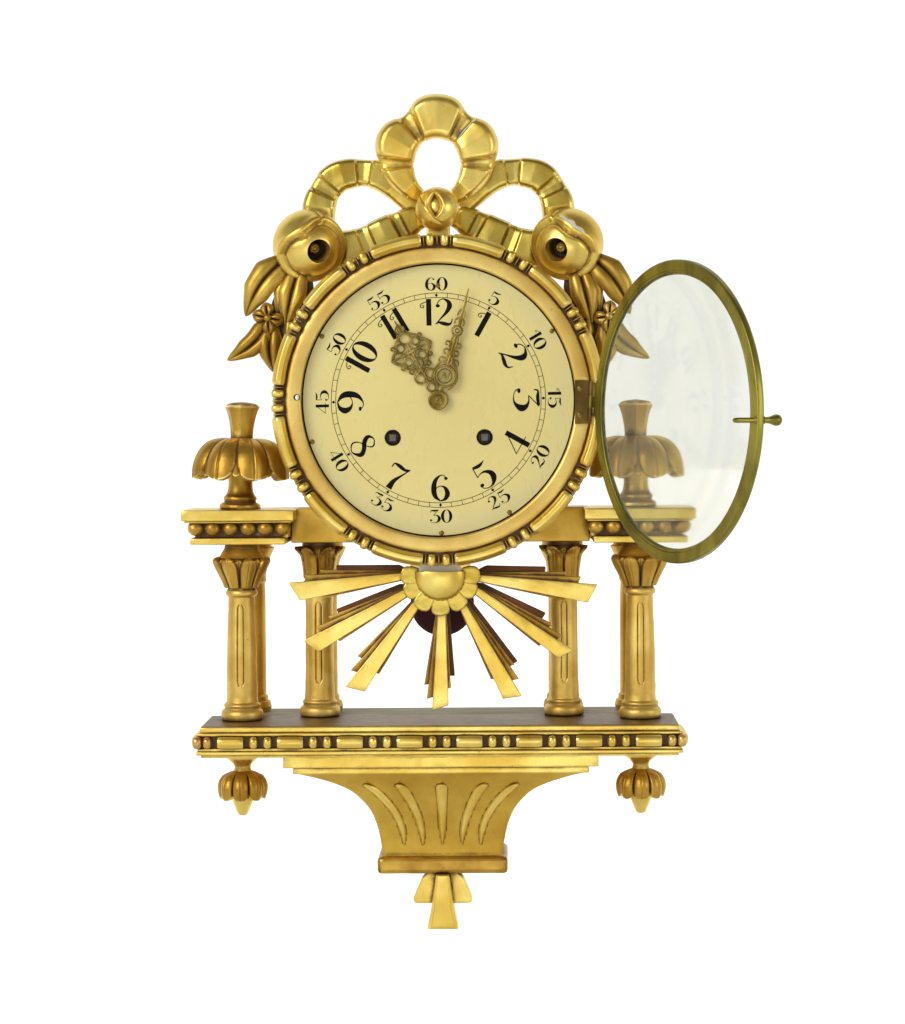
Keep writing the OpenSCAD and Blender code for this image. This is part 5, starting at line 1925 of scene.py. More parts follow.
@dataclass
class Hands:
    """Pierced cast hands with scrolls, and the nut that holds them."""

    hour_back: float = 104.0
    minute_back: float = 107.0
    thick: float = 1.0
    minutes: float = 2.6
    hour_length: float = 68.0
    minute_length: float = 86.4

    def ring(self, x: float, y: float, r: float, w: float, z: float) -> Carving:
        """A small cast ring.

        Args:
            x: Place of its middle across the hand.
            y: Height of its middle on the hand.
            r: Its radius.
            w: Width of the metal.
            z: Forward distance of its back.

        Returns:
            The ring.
        """
        turn = np.linspace(0, TAU, 12, endpoint=False)
        return stroke([(x + r * math.cos(a), y + r * math.sin(a), w) for a in turn], z,
                      z + self.thick * 0.75, self.thick * 0.5, 28, True)

    def scroll(self, x: float, y: float, r: float, side: int, z: float, start: float = 90.0,
               sweep: float = 420.0) -> Carving:
        """A rolled scroll that tightens towards its eye.

        Args:
            x: Place of its eye across the hand.
            y: Height of its eye on the hand.
            r: Radius of its outer end.
            side: 1 to roll clockwise, -1 the other way.
            z: Forward distance of its back.
            start: Angle of its outer end.
            sweep: Angle that it rolls through.

        Returns:
            The scroll.
        """
        steps = np.linspace(0, 1, 14)
        line = []
        for s in steps:
            a = math.radians(start - side * sweep * s)
            reach = r * (1 - 0.72 * s)
            line.append((x + reach * math.cos(a), y + reach * math.sin(a), 1.5 - 0.5 * s))
        return stroke(line, z, z + self.thick * 0.75, self.thick * 0.5, 40)

    def line(self, points: Sequence[Sequence[float]], z: float, count: int = 20) -> Carving:
        """A crowned stroke of a hand."""
        return stroke(points, z, z + self.thick * 0.7, self.thick * 0.5, count)

    def boss(self, z: float) -> Carving:
        """The round eye at the hand's root."""
        return faced([(2.9, z), (7.5, z), (7.5, z + 0.9), (6.4, z + 1.3), (5.4, z + 0.8),
                      (2.9, z + 1.2)], 56)

    def minute_parts(self) -> list[Carving]:
        """Parts of the minute hand, pointing up.

        Returns:
            The castings of the hand.
        """
        z, tip = self.minute_back, self.minute_length
        parts = [self.boss(z), self.ring(0, 18.6, 8.0, 1.9, z), self.ring(0, 18.6, 5.3, 0.9, z),
                 self.line([(0, 6.5, 4.4), (0, 9, 3.4), (0, 11.2, 3.6)], z),
                 self.line([(-3, 15.2, 1.1), (-1.2, 20.6, 1.5), (1.6, 17.0, 1.5), (3.2, 21.8, 1.1)], z)]
        for s in (-1, 1):
            parts += [
                self.line([(s * 5.0, 9.2, 0.9), (s * 8.2, 13.4, 1.5), (s * 9.4, 19.6, 1.3),
                           (s * 6.6, 26.4, 1.6), (s * 3.0, 31.0, 1.6)], z),
                self.scroll(s * 5.4, 29.4, 3.2, s, z, 200 if s > 0 else -20, 380),
                self.scroll(s * 3.9, 36.4, 3.1, s, z, 230 if s > 0 else -50, 400),
                self.scroll(s * 4.6, 42.6, 2.5, s, z, 230 if s > 0 else -50, 360),
                self.line([(s * 1.0, 27, 1.4), (s * 2.6, 33, 1.4), (s * 1.6, 40, 1.4),
                           (s * 2.4, 46, 1.3), (s * 1.5, 50.6, 1.3)], z),
                self.line([(s * 3.2, 58.2, 0.8), (s * 3.4, 61.0, 1.3), (s * 1.0, 64.0, 1.6)], z),
                self.line([(s * 2.7, 64.6, 0.7), (s * 2.4, 67.6, 1.2), (s * 0.8, 70.4, 1.4)], z),
            ]
        parts += [self.ring(0, 53.6, 3.7, 1.5, z), self.ring(0, 53.6, 1.5, 0.9, z),
                  self.line([(0, 26.0, 3.2), (0, 34, 2.2), (0, 42, 2.6), (0, 50.4, 2.0)], z, 24),
                  self.line([(0, 57.0, 3.0), (0, 63.0, 3.8), (0, 68.6, 2.4), (0, 73.4, 3.2),
                             (0, 78.0, 1.8), (0, tip, 0.5)], z, 30)]
        return parts

    def hour_parts(self) -> list[Carving]:
        """Parts of the hour hand, pointing up.

        Returns:
            The castings of the hand.
        """
        z, tip = self.hour_back, self.hour_length
        eye = faced([(4.1, z), (7.5, z), (7.5, z + 0.9), (6.2, z + 1.3), (4.1, z + 1.0)], 56)
        parts = [eye, self.ring(0, 11.2, 3.2, 1.5, z),
                 self.line([(0, 14.0, 1.8), (0, 19.0, 1.4), (0, 27.0, 2.6), (0, 33.0, 1.8),
                            (0, 41.0, 2.4), (0, 49.0, 1.8)], z, 30),
                 self.line([(-15.5, 41.4, 1.2), (-8, 41.4, 1.8), (0, 41.4, 2.2), (8, 41.4, 1.8),
                            (15.5, 41.4, 1.2)], z),
                 self.ring(0, 41.4, 2.8, 1.3, z), self.ring(0, 52.4, 4.2, 1.5, z),
                 self.ring(0, 31.6, 3.6, 1.4, z),
                 self.line([(0, 56.2, 2.6), (0, 59.4, 3.4), (0, 62.4, 1.6), (0, tip, 0.5)], z)]
        for s in (-1, 1):
            parts += [
                self.ring(s * 4.2, 20.6, 3.6, 1.5, z), self.ring(s * 10.6, 41.4, 4.2, 1.5, z),
                self.scroll(s * 6.6, 27.6, 3.1, s, z, 200 if s > 0 else -20, 400),
                self.ring(s * 6.2, 47.4, 3.0, 1.3, z), self.ring(s * 6.0, 35.6, 3.0, 1.3, z),
                self.line([(s * 1.0, 15.6, 1.2), (s * 3.4, 16.8, 1.4), (s * 6.2, 18.2, 1.4),
                           (s * 7.4, 21.8, 1.3), (s * 4.6, 24.6, 1.4), (s * 1.0, 25.6, 1.4)], z),
                self.line([(s * 16.8, 41.4, 0.8), (s * 13.4, 45.4, 1.5), (s * 9.2, 47.4, 1.4),
                           (s * 8.6, 51.6, 1.4), (s * 4.8, 54.6, 1.4), (s * 3.8, 57.8, 0.9)], z),
                self.line([(s * 16.8, 41.4, 0.8), (s * 13.4, 37.4, 1.5), (s * 9.2, 35.4, 1.4),
                           (s * 8.8, 31.6, 1.4), (s * 5.0, 28.4, 1.4)], z),
                self.scroll(s * 11.8, 33.6, 2.4, -s, z, 90, 360),
                self.scroll(s * 11.6, 49.4, 2.4, s, z, -90, 360),
                self.line([(s * 2.4, 56.8, 0.9), (s * 3.4, 60.4, 1.2), (s * 0.8, 63.4, 1.2)], z),
            ]
        return parts

    def make(self, bench: Bench) -> None:
        """Makes both hands and the nut.

        Args:
            bench: Takes the pieces.
        """
        cast = Cut(rough=0.10, rough_size=4.0, crease=60.0)
        hour_angle = 30 * (11 + self.minutes / 60)
        hour = joined(self.hour_parts()).turned(hour_angle)
        bench.make("hour hand casting", hour, Slot.HANDS, cast, ["hour_hand"], "hour_train")
        minute = joined(self.minute_parts()).turned(6 * self.minutes)
        bench.make("minute hand casting", minute, Slot.HANDS, cast, ["minute_hand"], "minute_train")
        z = self.minute_back + 1.2
        nut = disc([(0.0, z), (3.8, z), (3.8, z + 1.2), (3.4, z + 1.7), (2.4, z + 1.8), (1.8, z + 1.2),
                    (1.5, z + 1.2), (1.4, z + 2.3), (0.9, z + 2.7), (0.0, z + 2.8)], 36)
        bench.make("domed hand nut", nut, Slot.HANDS, FINE, ["hand_nut"], "minute_train")


# Carved crest


def polar_edge(centre: Point, knots: Sequence[Point], angles: Array) -> Array:
    """Points round a centre, from angle and radius pairs (0 points up, clockwise).

    Args:
        centre: The centre on the face.
        knots: The pairs of one half, from the top down.
        angles: Angles wanted, in degrees.

    Returns:
        The points.
    """
    line = curve([(-a, r) for a, r in knots[:0:-1]] + list(knots), 240)
    radius = np.interp(angles, line[:, 0], line[:, 1])
    a = np.radians(angles)
    return np.stack([centre[0] + radius * np.sin(a), centre[1] + radius * np.cos(a)], axis=1)


@dataclass
class Bow:
    """Ribbon bow: middle loop with five facets, two side loops with tails, and a knot."""

    loop_centre: Point = (-0.5, 178.0)
    loop_back: float = 82.0
    loop_front: float = 92.0
    side_back: float = 66.0
    side_front: float = 75.5
    knot_centre: Point3 = (0.0, 143.4, 100.0)
    knot_radius: float = 16.4
    loop_outer: tuple[Point, ...] = ((0, 52.8), (14, 51.8), (24, 48.2), (30, 45.8), (38, 45.4), (51, 49),
                                     (64, 49.4), (75, 47.6), (84, 44.8), (101, 41.5), (126, 36), (152, 33))
    loop_inner: tuple[Point, ...] = ((0, 20.9), (42, 19.6), (90, 17.8), (125, 19.2), (152, 21.3))
    loop_facets: tuple[Point, ...] = ((0, 4.2), (21, 3.6), (24, 2.6), (26, -1.6), (33, -2.6), (39, -1.8),
                                      (41, 3.2), (60, 4.8), (79, 3.6), (82, 2.8), (84, -1.2), (90, -2.4),
                                      (95, -1.6), (98, 1.6), (130, 1.8), (152, -3.0))

    def middle_loop(self) -> Carving:
        """The loop over the knot.

        Returns:
            The loop.
        """
        angles = np.linspace(-152, 152, 230)
        relief = [((a + 152) / 304, h) for a, h in self.loop_facets]
        relief = [(1 - s, h) for s, h in relief[:0:-1]] + relief
        band = Band(polar_edge(self.loop_centre, self.loop_inner, angles),
                    polar_edge(self.loop_centre, self.loop_outer, angles), relief,
                    self.loop_front, self.loop_back, 5.0, chamfer=3.2)
        return band.carve(22)

    def stem(self) -> Carving:
        """The short stem under the knot that seats the bow on the drum."""
        return box((-8.6, 8.6), (105.5, 141.0), (self.side_back, self.loop_back + 8))

    def side_loop(self) -> Carving:
        """The ribbon that leaves the middle loop and rounds down into the rose.

        Returns:
            The right ribbon.
        """
        path = [(17.0, 147.0, 7.5), (25.0, 155.5, 9.2), (34.0, 164.0, 10.0), (45.0, 171.4, 10.6),
                (57.0, 173.8, 10.2), (67.0, 173.2, 10.8), (76.0, 170.8, 11.4), (82.4, 165.6, 11.6),
                (87.0, 158.6, 11.6), (90.4, 150.0, 12.0), (91.4, 140.0, 12.0), (90.4, 132.0, 11.6)]
        inner, outer = ribbon_edges(path, 180)
        relief = [(0.0, -3.0), (0.16, 1.0), (0.22, 2.4), (0.385, 2.6), (0.393, -1.4), (0.44, -2.2),
                  (0.48, -1.8), (0.49, 1.8), (0.58, 3.0), (0.682, 2.0), (0.692, -1.8), (0.73, -2.8),
                  (0.768, -2.2), (0.78, 1.6), (0.86, 2.8), (1.0, 0.5)]
        return Band(inner, outer, relief, self.side_front, self.side_back, 4.2).carve(18)

    def tail(self) -> Carving:
        """The ribbon that runs from the knot along the bezel to the rose.

        Returns:
            The right ribbon.
        """
        path = [(10.0, 139.4, 6.4), (19.0, 137.4, 10.0), (30.0, 132.0, 12.4), (42.0, 125.6, 13.4),
                (54.0, 120.4, 13.6), (66.0, 116.4, 13.8), (79.0, 115.0, 14.2)]
        inner, outer = ribbon_edges(path, 140)
        relief = [(0.0, -2.0), (0.10, 1.8), (0.225, 2.2), (0.235, -1.8), (0.29, -2.6), (0.335, -2.0),
                  (0.345, 2.0), (0.46, 3.0), (0.585, 2.4), (0.595, -1.6), (0.66, -2.4), (0.72, -1.4),
                  (0.74, 0.6), (0.88, 1.6), (1.0, -1.0)]
        return Band(inner, outer, relief, self.side_front - 1.0, self.side_back, 4.2).carve(18)

    def knot(self) -> Carving:
        """The round knot, with a pocket between two crescent lips.

        Returns:
            The knot.
        """
        cx, cy, cz = self.knot_centre
        a, b = np.meshgrid(np.linspace(0, math.pi * 0.62, 90),
                           np.linspace(0, TAU, 150, endpoint=False), indexing="ij")
        x, y, z = np.sin(a) * np.cos(b), np.sin(a) * np.sin(b), np.cos(a)
        across, up = x + 0.09 + 0.06 * y, y - 0.12
        lens = 0.33 * np.clip(1 - (up / 0.56) ** 2, -0.3, 1)
        pocket = ease((lens - np.abs(across)) / 0.16 + 0.4)
        lip = bump(np.abs(across) - lens - 0.07, 0.09) * ease((0.75 - np.abs(up)) / 0.3)
        swirl = bump(y + 0.62 - 0.9 * (x - 0.1) ** 2 + 0.55 * x, 0.06) * ease((0.35 - x) / 0.2)
        size = self.knot_radius * (1 - 0.24 * pocket + 0.045 * lip - 0.05 * swirl * (z > 0))
        grid = np.stack([cx + size * x, cy + size * y, cz + size * z], axis=-1)
        shell = sheet(grid, wrap_columns=True)
        rim = len(shell.points) - grid.shape[1]
        shell.faces.append(tuple(rim + i for i in range(grid.shape[1])))
        return shell

    def make(self, bench: Bench) -> None:
        """Makes the whole bow.

        Args:
            bench: Takes the pieces.
        """
        cut = Cut(rough=0.24, rough_size=15.0, crease=28.0)
        bench.make("middle loop of the bow", self.middle_loop(), Slot.BURNISHED, cut, ["bow_loop"])
        bench.make("stem of the bow", self.stem(), Slot.BURNISHED, JOINERY)
        right = joined([self.side_loop(), self.tail()])
        bench.make("side loops of the bow", [right, right.mirrored()], Slot.BURNISHED, cut,
                   ["bow_side_loops"], finish=bench.extra.ribbon)
        bench.make("knot of the bow", self.knot(), Slot.BURNISHED, Cut(rough=0.12, crease=60.0),
                   ["bow_knot"])
        (cx, cy), a, z = self.loop_centre, math.radians(41.5), self.loop_front + 1.4
        root, tip = ((cx + r * math.sin(a), cy + r * math.cos(a)) for r in (24.0, 46.0))
        chip = Leaf((*root, z), (*tip, z - 0.2), 0.9, 0.3, 0.3, 0.0, 2.0)
        bench.make("bare gesso on the bow", chip.carve(24, 9), Slot.BURNISHED, FINE,
                   finish=bench.extra.gesso)


@dataclass
class Rose:
    """Rolled rose: an inner bowl with a dark mouth, held by an outer petal with a lip."""

    centre: Point3 = (98.0, 118.0, 84.0)
    radius: float = 25.0
    mouth: float = 9.8
    lean: Point3 = (-0.40, -0.26, 0.88)
    petal_edge: tuple[Point, ...] = ((-110, 68), (-80, 70), (-45, 74), (-15, 73), (10, 60), (30, 48),
                                     (48, 43), (70, 46), (92, 55), (110, 59), (150, 62), (200, 66),
                                     (250, 68), (280, 70))
    seam: float = 98.0

    def skin(self, a: Array, b: Array) -> Array:
        """Distance of the surface from the centre, by its angles from and round the mouth.

        Args:
            a: Angle from the mouth's axis.
            b: Angle round it.

        Returns:
            The distance.
        """
        around = np.degrees(np.mod(b + math.radians(110), TAU)) - 110
        edge = np.radians(np.interp(around, *zip(*self.petal_edge)))
        beyond = a - edge
        outer = ease(beyond / 0.07 + 0.5)
        reach = self.radius + 2.1 * outer + 0.9 * bump(beyond - 0.12, 0.10)
        reach -= 1.9 * bump(beyond + 0.09, 0.09)
        seam = bump((around - self.seam) / 57.3 + 0.10 * (a - 1.2), 0.045)
        return reach - 1.5 * seam * outer * ease((2.0 - a) / 0.5)

    def set_on_pole(self, radial: Array, high: Array, b: Array) -> Array:
        """Turns radius, height and angle round the mouth's axis into places on the clock.

        Args:
            radial: Distance from the mouth's axis.
            high: Distance along it.
            b: Angle round it.

        Returns:
            Points in the face frame.
        """
        pole = Vector(self.lean).normalized()
        side = Vector((1.0, 0.0, -self.lean[0] / self.lean[2])).normalized()
        local = np.stack([radial * np.cos(b), radial * np.sin(b), high], axis=-1)
        return local @ np.array([side, pole.cross(side), pole]) + np.array(self.centre)

    def carve(self) -> Carving:
        """Builds the right rose.

        Returns:
            The rose.
        """
        around, rows = 170, 120
        lip = math.asin(self.mouth / self.radius)
        a = np.linspace(math.pi, lip, rows)[:, None]
        b = np.linspace(0, TAU, around, endpoint=False)[None, :]
        reach = self.skin(a, b)
        radial, high = reach * np.sin(a), reach * np.cos(a)
        floor, m = self.radius * math.cos(lip), self.mouth
        inner = [(m - 0.8, floor + 0.2), (m - 1.2, floor - 1.4), (m - 1.3, floor - 6.0),
                 (m - 1.9, floor - 13.0), (5.6, floor - 14.6), (4.3, floor - 13.6), (3.9, floor - 9.6),
                 (3.4, floor - 8.2), (2.4, floor - 7.4), (1.6, floor - 8.6), (0.8, floor - 8.2),
                 (0.0, floor - 8.0)]
        radial = np.vstack([radial] + [np.full((1, around), r) for r, _ in inner])
        high = np.vstack([high] + [np.full((1, around), h) for _, h in inner])
        return sheet(self.set_on_pole(radial, high, b), wrap_columns=True)

    def bare_patch(self) -> Carving:
        """The strip of bare gesso on the right rose's petal.

        Returns:
            The strip.
        """
        s = np.linspace(0, 1, 40)[:, None]
        v = np.linspace(-1, 1, 9)[None, :]
        b = np.radians(86 - 62 * s) + 0 * v
        edge = np.radians(np.interp(np.degrees(b), *zip(*self.petal_edge)))
        width = 0.062 * np.sin(math.pi * s) ** 0.5 * (1 + 0.25 * np.sin(s * 17)) + 0.003
        a = edge + 0.10 + width * (1 + v)
        reach = self.skin(a, b)
        skins = [self.set_on_pole((reach + lift) * np.sin(a), (reach + lift) * np.cos(a), b)
                 for lift in (0.16, -0.6)]
        rings = np.concatenate([skins[0], skins[1][:, ::-1]], axis=1)
        return loft(rings)

    def make(self, bench: Bench) -> None:
        """Makes both roses.

        Args:
            bench: Takes the pieces.
        """
        cut = Cut(rough=0.16, rough_size=20.0, crease=38.0)
        x, y, z = self.centre
        stalk = disc([(0.0, 60.0), (16.0, 60.0), (16.0, z - 8), (0.0, z - 8)], 60, (x, y))
        right = [self.carve(), stalk]
        bench.make("right rose", right, Slot.BURNISHED, cut, ["rose_right"])
        left = [part.mirrored() for part in right]
        bench.make("left rose", left, Slot.BURNISHED, cut, ["rose_left"])
        bench.make("bare gesso on the rose", self.bare_patch(), Slot.BURNISHED, FINE,
                   finish=bench.extra.gesso)


@dataclass
class Sprays:
    """Leaves and a flower that hang from each rose beside the bezel."""

    def carve(self) -> Carving:
        """Builds the right spray.

        Returns:
            The spray.
        """
        leaves = [
            Leaf((112.0, 110.0, 86.0), (146.0, 64.5, 85.0), 12.6, 4.6, 3.8, 1.2, lobes=3, curl=4.0),
            Leaf((104.0, 104.0, 85.0), (115.5, 57.0, 87.0), 11.0, 1.0, 3.8, 1.3, lobes=2, curl=3.0),
            Leaf((110.0, 100.0, 85.0), (121.0, 64.0, 85.5), 8.1, 1.0, 3.2, 1.2, lobes=2, curl=2.0),
            Leaf((124.0, 66.0, 85.5), (160.0, 31.0, 84.5), 9.6, -5.0, 3.4, 1.2, lobes=3, curl=3.0),
            Leaf((125.0, 60.0, 86.0), (124.5, 21.5, 85.0), 9.2, 3.0, 3.6, 1.2, lobes=3, curl=3.0),
            Leaf((110.0, 70.0, 84.5), (107.5, 33.0, 84.0), 6.4, 2.0, 2.8, 1.0, lobes=2, curl=2.0),
        ]
        return joined([leaf.carve() for leaf in leaves] + [self.flower()])

    @staticmethod
    def flower() -> Carving:
        """The small flower between the leaves.

        Returns:
            The flower.
        """
        x, y, z = 128.5, 62.7, 91.0
        petals = [Leaf((x, y, z), (x + dx, y + dy, z - 1.0), 4.8, 0.0, 2.8, 0.8, 3.0, fullest=0.6)
                  for dx, dy in ((11.8, 3.0), (1.5, 12.0), (-11.6, -2.0), (-1.0, -12.0))]
        return joined([p.carve(18, 13) for p in petals] + [ball((x, y, z + 2.4), (3.0, 2.9, 2.4), 10, 16)])

    @staticmethod
    def backing() -> Carving:
        """The flat ground behind the leaves.

        Returns:
            The ground of the right spray.
        """
        line = softened([(96, 98), (94, 78), (105, 54), (109, 40), (117, 36), (127, 42), (130, 62),
                         (124, 82), (114, 102)], 2, True)
        return slab(line, 78.0, 83.5)

    def make(self, bench: Bench) -> None:
        """Makes both sprays and the ground behind them.

        Args:
            bench: Takes the pieces.
        """
        right, ground = self.carve(), self.backing()
        cut = Cut(rough=0.2, rough_size=11.0, crease=34.0)
        bench.make("leaf sprays", [right, right.mirrored()], Slot.MATTE, cut, ["leaf_sprays"],
                   finish=bench.extra.foliage)
        # This dark sheet behind the leaves paints the shade there, partly as toner
        bench.make("ground of the sprays", [ground, ground.mirrored()], Slot.MATTE, JOINERY,
                   finish=bench.extra.dark_ground)


# Cornice, finials and columns


@dataclass
class Finial:
    """Turned finial with a canopy of drooping leaves and a flared cup."""

    across: float = 150.0
    forward: float = 72.0
    base: float = -81.7
    leaves: int = 8
    stem: tuple[Point, ...] = ((0.0, 0.0), (14.4, 0.0), (15.6, 1.2), (15.7, 3.4), (14.2, 4.8),
                               (11.9, 5.6), (11.8, 7.0), (12.8, 7.9), (12.4, 9.6), (10.2, 11.8),
                               (9.2, 17.0), (9.3, 25.0), (10.6, 33.0), (16.0, 40.0), (0.0, 44.0))
    cup: tuple[Point, ...] = ((0.0, 47.0), (9.4, 49.0), (8.8, 52.5), (8.2, 54.5), (9.0, 64.0),
                              (11.0, 73.0), (13.4, 78.2), (13.2, 79.4))
    cup_top: tuple[Point, ...] = ((0.0, 77.0), (12.2, 77.0), (12.5, 78.8), (10.4, 80.4), (6.0, 81.4),
                                  (0.0, 81.8))
    crown: tuple[Point, ...] = ((7.8, 53.0), (12.0, 54.4), (18.0, 53.2), (24.5, 49.8), (29.6, 44.4),
                                (32.8, 37.6), (34.4, 30.4), (34.8, 22.6))
    lean: float = 1.6
    set_out: float = 2.4

    def turned_part(self, profile: Sequence[Point], facets: float, steps: int, around: int) -> Carving:
        """A turned part, with eight flat facets where asked.

        Args:
            profile: Radius and height over the finial's base.
            facets: 0 for a round part, near 1 for flat facets.
            steps: Number of rows.
            around: Number of points in a row.

        Returns:
            The part of the right finial.
        """
        def shape(angle: Array, t: Array) -> tuple[Array, Array]:
            """Radius and height of the part.

            Args:
                angle: Angles round the axis.
                t: Places from 0 to 1 along the profile.

            Returns:
                Radii and heights.
            """
            radius, height = profiled(profile, 1)(t)
            flat = np.cos(math.pi / 8) / np.cos(within_leaf(angle, 8, 0.5) * TAU / 8)
            held = facets * ease((height - 54) / 6)
            return radius * (1 + held * (flat - 1)), height + self.base

        return upright(shape, self.across, self.forward, steps, around)

    def canopy(self) -> Carving:
        """The leaves, as one shell with a scalloped edge and an underside.

        Returns:
            The leaves of the right finial.
        """
        around, rows = 360, 46
        a = np.linspace(0, TAU, around, endpoint=False)[None, :]
        u = within_leaf(a, self.leaves, 0.5)
        between = np.abs(u) - 0.5
        front = np.clip(1 - np.abs(u / 0.47) ** 2.3, 0, 1) ** 0.5
        rear = np.clip(1 - np.abs(between / 0.20) ** 2.0, 0, 1) ** 0.5
        upper = 0.66 + 0.34 * front
        lower = 0.62 + 0.31 * rear
        t = np.linspace(0, 1, rows)[:, None] * np.maximum(upper, lower)
        radius, height = profiled(self.crown, 1)(t)
        full = ease(t / 0.35)
        on_top = (t <= upper) * (np.abs(u) < 0.47)
        lift = full * on_top * (3.1 * np.clip(1 - (2.1 * u) ** 2, 0, 1) - 0.9 * bump(u, 0.028))
        lift += full * (1 - on_top) * (0.5 * np.clip(1 - (between / 0.2) ** 2, 0, 1) - 1.2)
        outer = np.stack([(radius + lift) * np.sin(a), height + 0.25 * lift + 0 * a,
                          (radius + lift) * np.cos(a)], axis=-1)
        shrunk = np.maximum(radius - 3.4 - 1.8 * np.linspace(0, 1, rows)[::-1][:, None], 4.0)
        inner = np.stack([shrunk * np.sin(a), height - 2.2 + 1.8 * t + 0 * a, shrunk * np.cos(a)], axis=-1)
        shell = np.vstack([outer, inner[::-1]]) + np.array([self.across, self.base, self.forward])
        return sheet(shell, wrap_rows=True, wrap_columns=True)

    def make(self, bench: Bench) -> None:
        """Makes both finials; the left one has settled inward.

        Args:
            bench: Takes the pieces.
        """
        turned = [self.turned_part(self.stem, 0.0, 60, 84), self.turned_part(self.cup, 0.9, 40, 96)]
        top, leaves = self.turned_part(self.cup_top, 0.8, 20, 72), self.canopy()
        for side, node in ((1, "finial_right"), (-1, "finial_left")):
            word = node.split("_")[1]
            for name, parts, finish, stands_for in (
                    ("turning", turned, bench.extra.carved, [node]),
                    # The cup's top takes the darker gilding, painted shade on a face that looks up
                    ("cup top", [top], bench.extra.browned, []),
                    ("leaves", [leaves], bench.extra.carved, [])):
                if side < 0:
                    parts = [part.mirrored().turned(self.lean, (-self.across, self.base))
                             .moved(-self.set_out, -0.3) for part in parts]
                bench.make(f"{word} finial {name}", parts, Slot.BURNISHED,
                           Cut(rough=0.2, rough_size=10.0, crease=38.0), stands_for, finish=finish)


@dataclass
class Columns:
    """Outer columns with lotus capitals and inner columns with calyx capitals."""

    outer_x: float = 151.5
    outer_z: float = 72.0
    inner_x: float = 94.0
    inner_z: float = 50.0
    foot: float = -242.1
    head: float = -107.8
    flutes: int = 4
    flute_half: float = 0.15

    def outer_profile(self) -> list[Point]:
        """Profile of an outer column.

        Returns:
            Radius and height pairs.
        """
        b, t = self.foot, self.head
        return [(0.0, b), (14.8, b), (15.9, b + 1.6), (16.0, b + 5.6), (15.0, b + 7.8), (13.4, b + 8.6),
                (13.2, b + 10.0), (14.2, b + 11.2), (13.4, b + 12.8), (11.7, b + 13.8),
                (11.8, b + 30.0), (11.4, b + 60.0), (10.0, t - 41.0), (10.1, t - 40.4), (11.8, t - 39.4),
                (12.1, t - 37.6), (11.6, t - 36.0), (10.2, t - 34.6), (10.0, t - 30.0), (0.0, t - 30.0)]

    def outer_bell(self) -> list[Point]:
        """Profile of an outer column's capital.

        Returns:
            Radius and height pairs.
        """
        t = self.head
        return [(0.0, t - 34.8), (10.0, t - 34.8), (10.3, t - 33.6), (11.6, t - 30.0), (14.4, t - 24.0),
                (17.4, t - 18.0), (18.8, t - 14.0), (18.6, t - 12.0), (16.2, t - 9.4), (14.9, t - 7.0),
                (13.0, t - 4.0), (12.4, t - 1.0), (12.2, t), (0.0, t)]

    def inner_profile(self) -> list[Point]:
        """Profile of an inner column.

        Returns:
            Radius and height pairs.
        """
        b, t = self.foot, self.head
        return [(0.0, b), (14.4, b), (15.5, b + 1.6), (15.6, b + 5.4), (14.6, b + 7.6), (12.8, b + 8.4),
                (12.6, b + 10.0), (13.4, b + 11.0), (12.7, b + 12.6), (11.4, b + 13.5),
                (11.2, b + 40.0), (10.9, t - 50.0), (10.6, t - 34.6), (11.8, t - 33.0), (12.0, t - 31.4),
                (11.4, t - 29.6), (10.4, t - 28.0), (10.2, t - 24.0), (0.0, t - 24.0)]

    def inner_bell(self) -> list[Point]:
        """Profile of an inner column's capital.

        Returns:
            Radius and height pairs.
        """
        t = self.head
        return [(0.0, t - 29.4), (10.6, t - 29.4), (10.8, t - 28.0), (11.0, t - 22.0), (12.0, t - 14.0),
                (13.4, t - 7.0), (13.6, t - 4.6), (12.5, t - 3.4), (12.5, t), (0.0, t)]

    def flute(self, angle: Array, height: Array, low: float, high: float) -> Array:
        """Depth of the flutes of a shaft: a flat floor between crisp edges and round ends.

        Args:
            angle: Angles round the shaft.
            height: Heights on the clock.
            low: Where the flutes start.
            high: Where they end.

        Returns:
            What the flutes add to the radius, below zero.
        """
        u = within_leaf(angle, self.flutes)
        ends = np.clip(np.minimum(height - low, high - height) / 4.5, 0, 1)
        half = self.flute_half * np.sqrt(1 - (1 - ends) ** 2)
        inside = ease((half - np.abs(u)) / 0.03 + 0.5) * (half > 0.01)
        edge = bump(np.abs(u) - half, 0.02) * (half > 0.01)
        return -0.9 * inside + 0.45 * inside * (1 - (u / self.flute_half) ** 2) - 0.5 * edge

    def lotus(self, angle: Array, height: Array, low: float, high: float, count: int,
              shift: float, rise: float, wide: float, swell: float = 0.35) -> Array:
        """Height of one row of leaves with round tips that stand on a capital.

        Args:
            angle: Angles round the capital.
            height: Heights on the clock.
            low: Foot of the leaves.
            high: Their tips.
            count: Number of leaves in the row.
            shift: Part of a leaf that the row is turned by.
            rise: How far they stand out.
            wide: Half a leaf's width, as a part of its room.
            swell: How full their middles are.

        Returns:
            What the leaves add to the radius.
        """
        u = within_leaf(angle, count, shift)
        part = np.clip((height - low) / (high - low), 0, 1.2)
        half = wide * np.sqrt(np.clip(1 - (np.maximum(part - 0.5, 0) / 0.5) ** 2, 0, 1))
        inside = ease((half - np.abs(u)) / 0.045 + 0.5) * (part > 0.001) * (part < 1.0)
        rim = bump(np.abs(u) - half + 0.045, 0.03)
        full = swell * np.clip(1 - (u / np.maximum(half, 0.05)) ** 2, 0, 1)
        return (rise * (0.62 + 0.35 * part + full) + 0.5 * rim) * inside - 0.4 * bump(u, 0.02) * inside

    def outer_shape(self, angle: Array, t: Array) -> tuple[Array, Array]:
        """Radius and height of an outer column."""
        radius, height = profiled(self.outer_profile(), 1)(t)
        return radius + self.flute(angle, height, self.foot + 26, self.head - 46), height

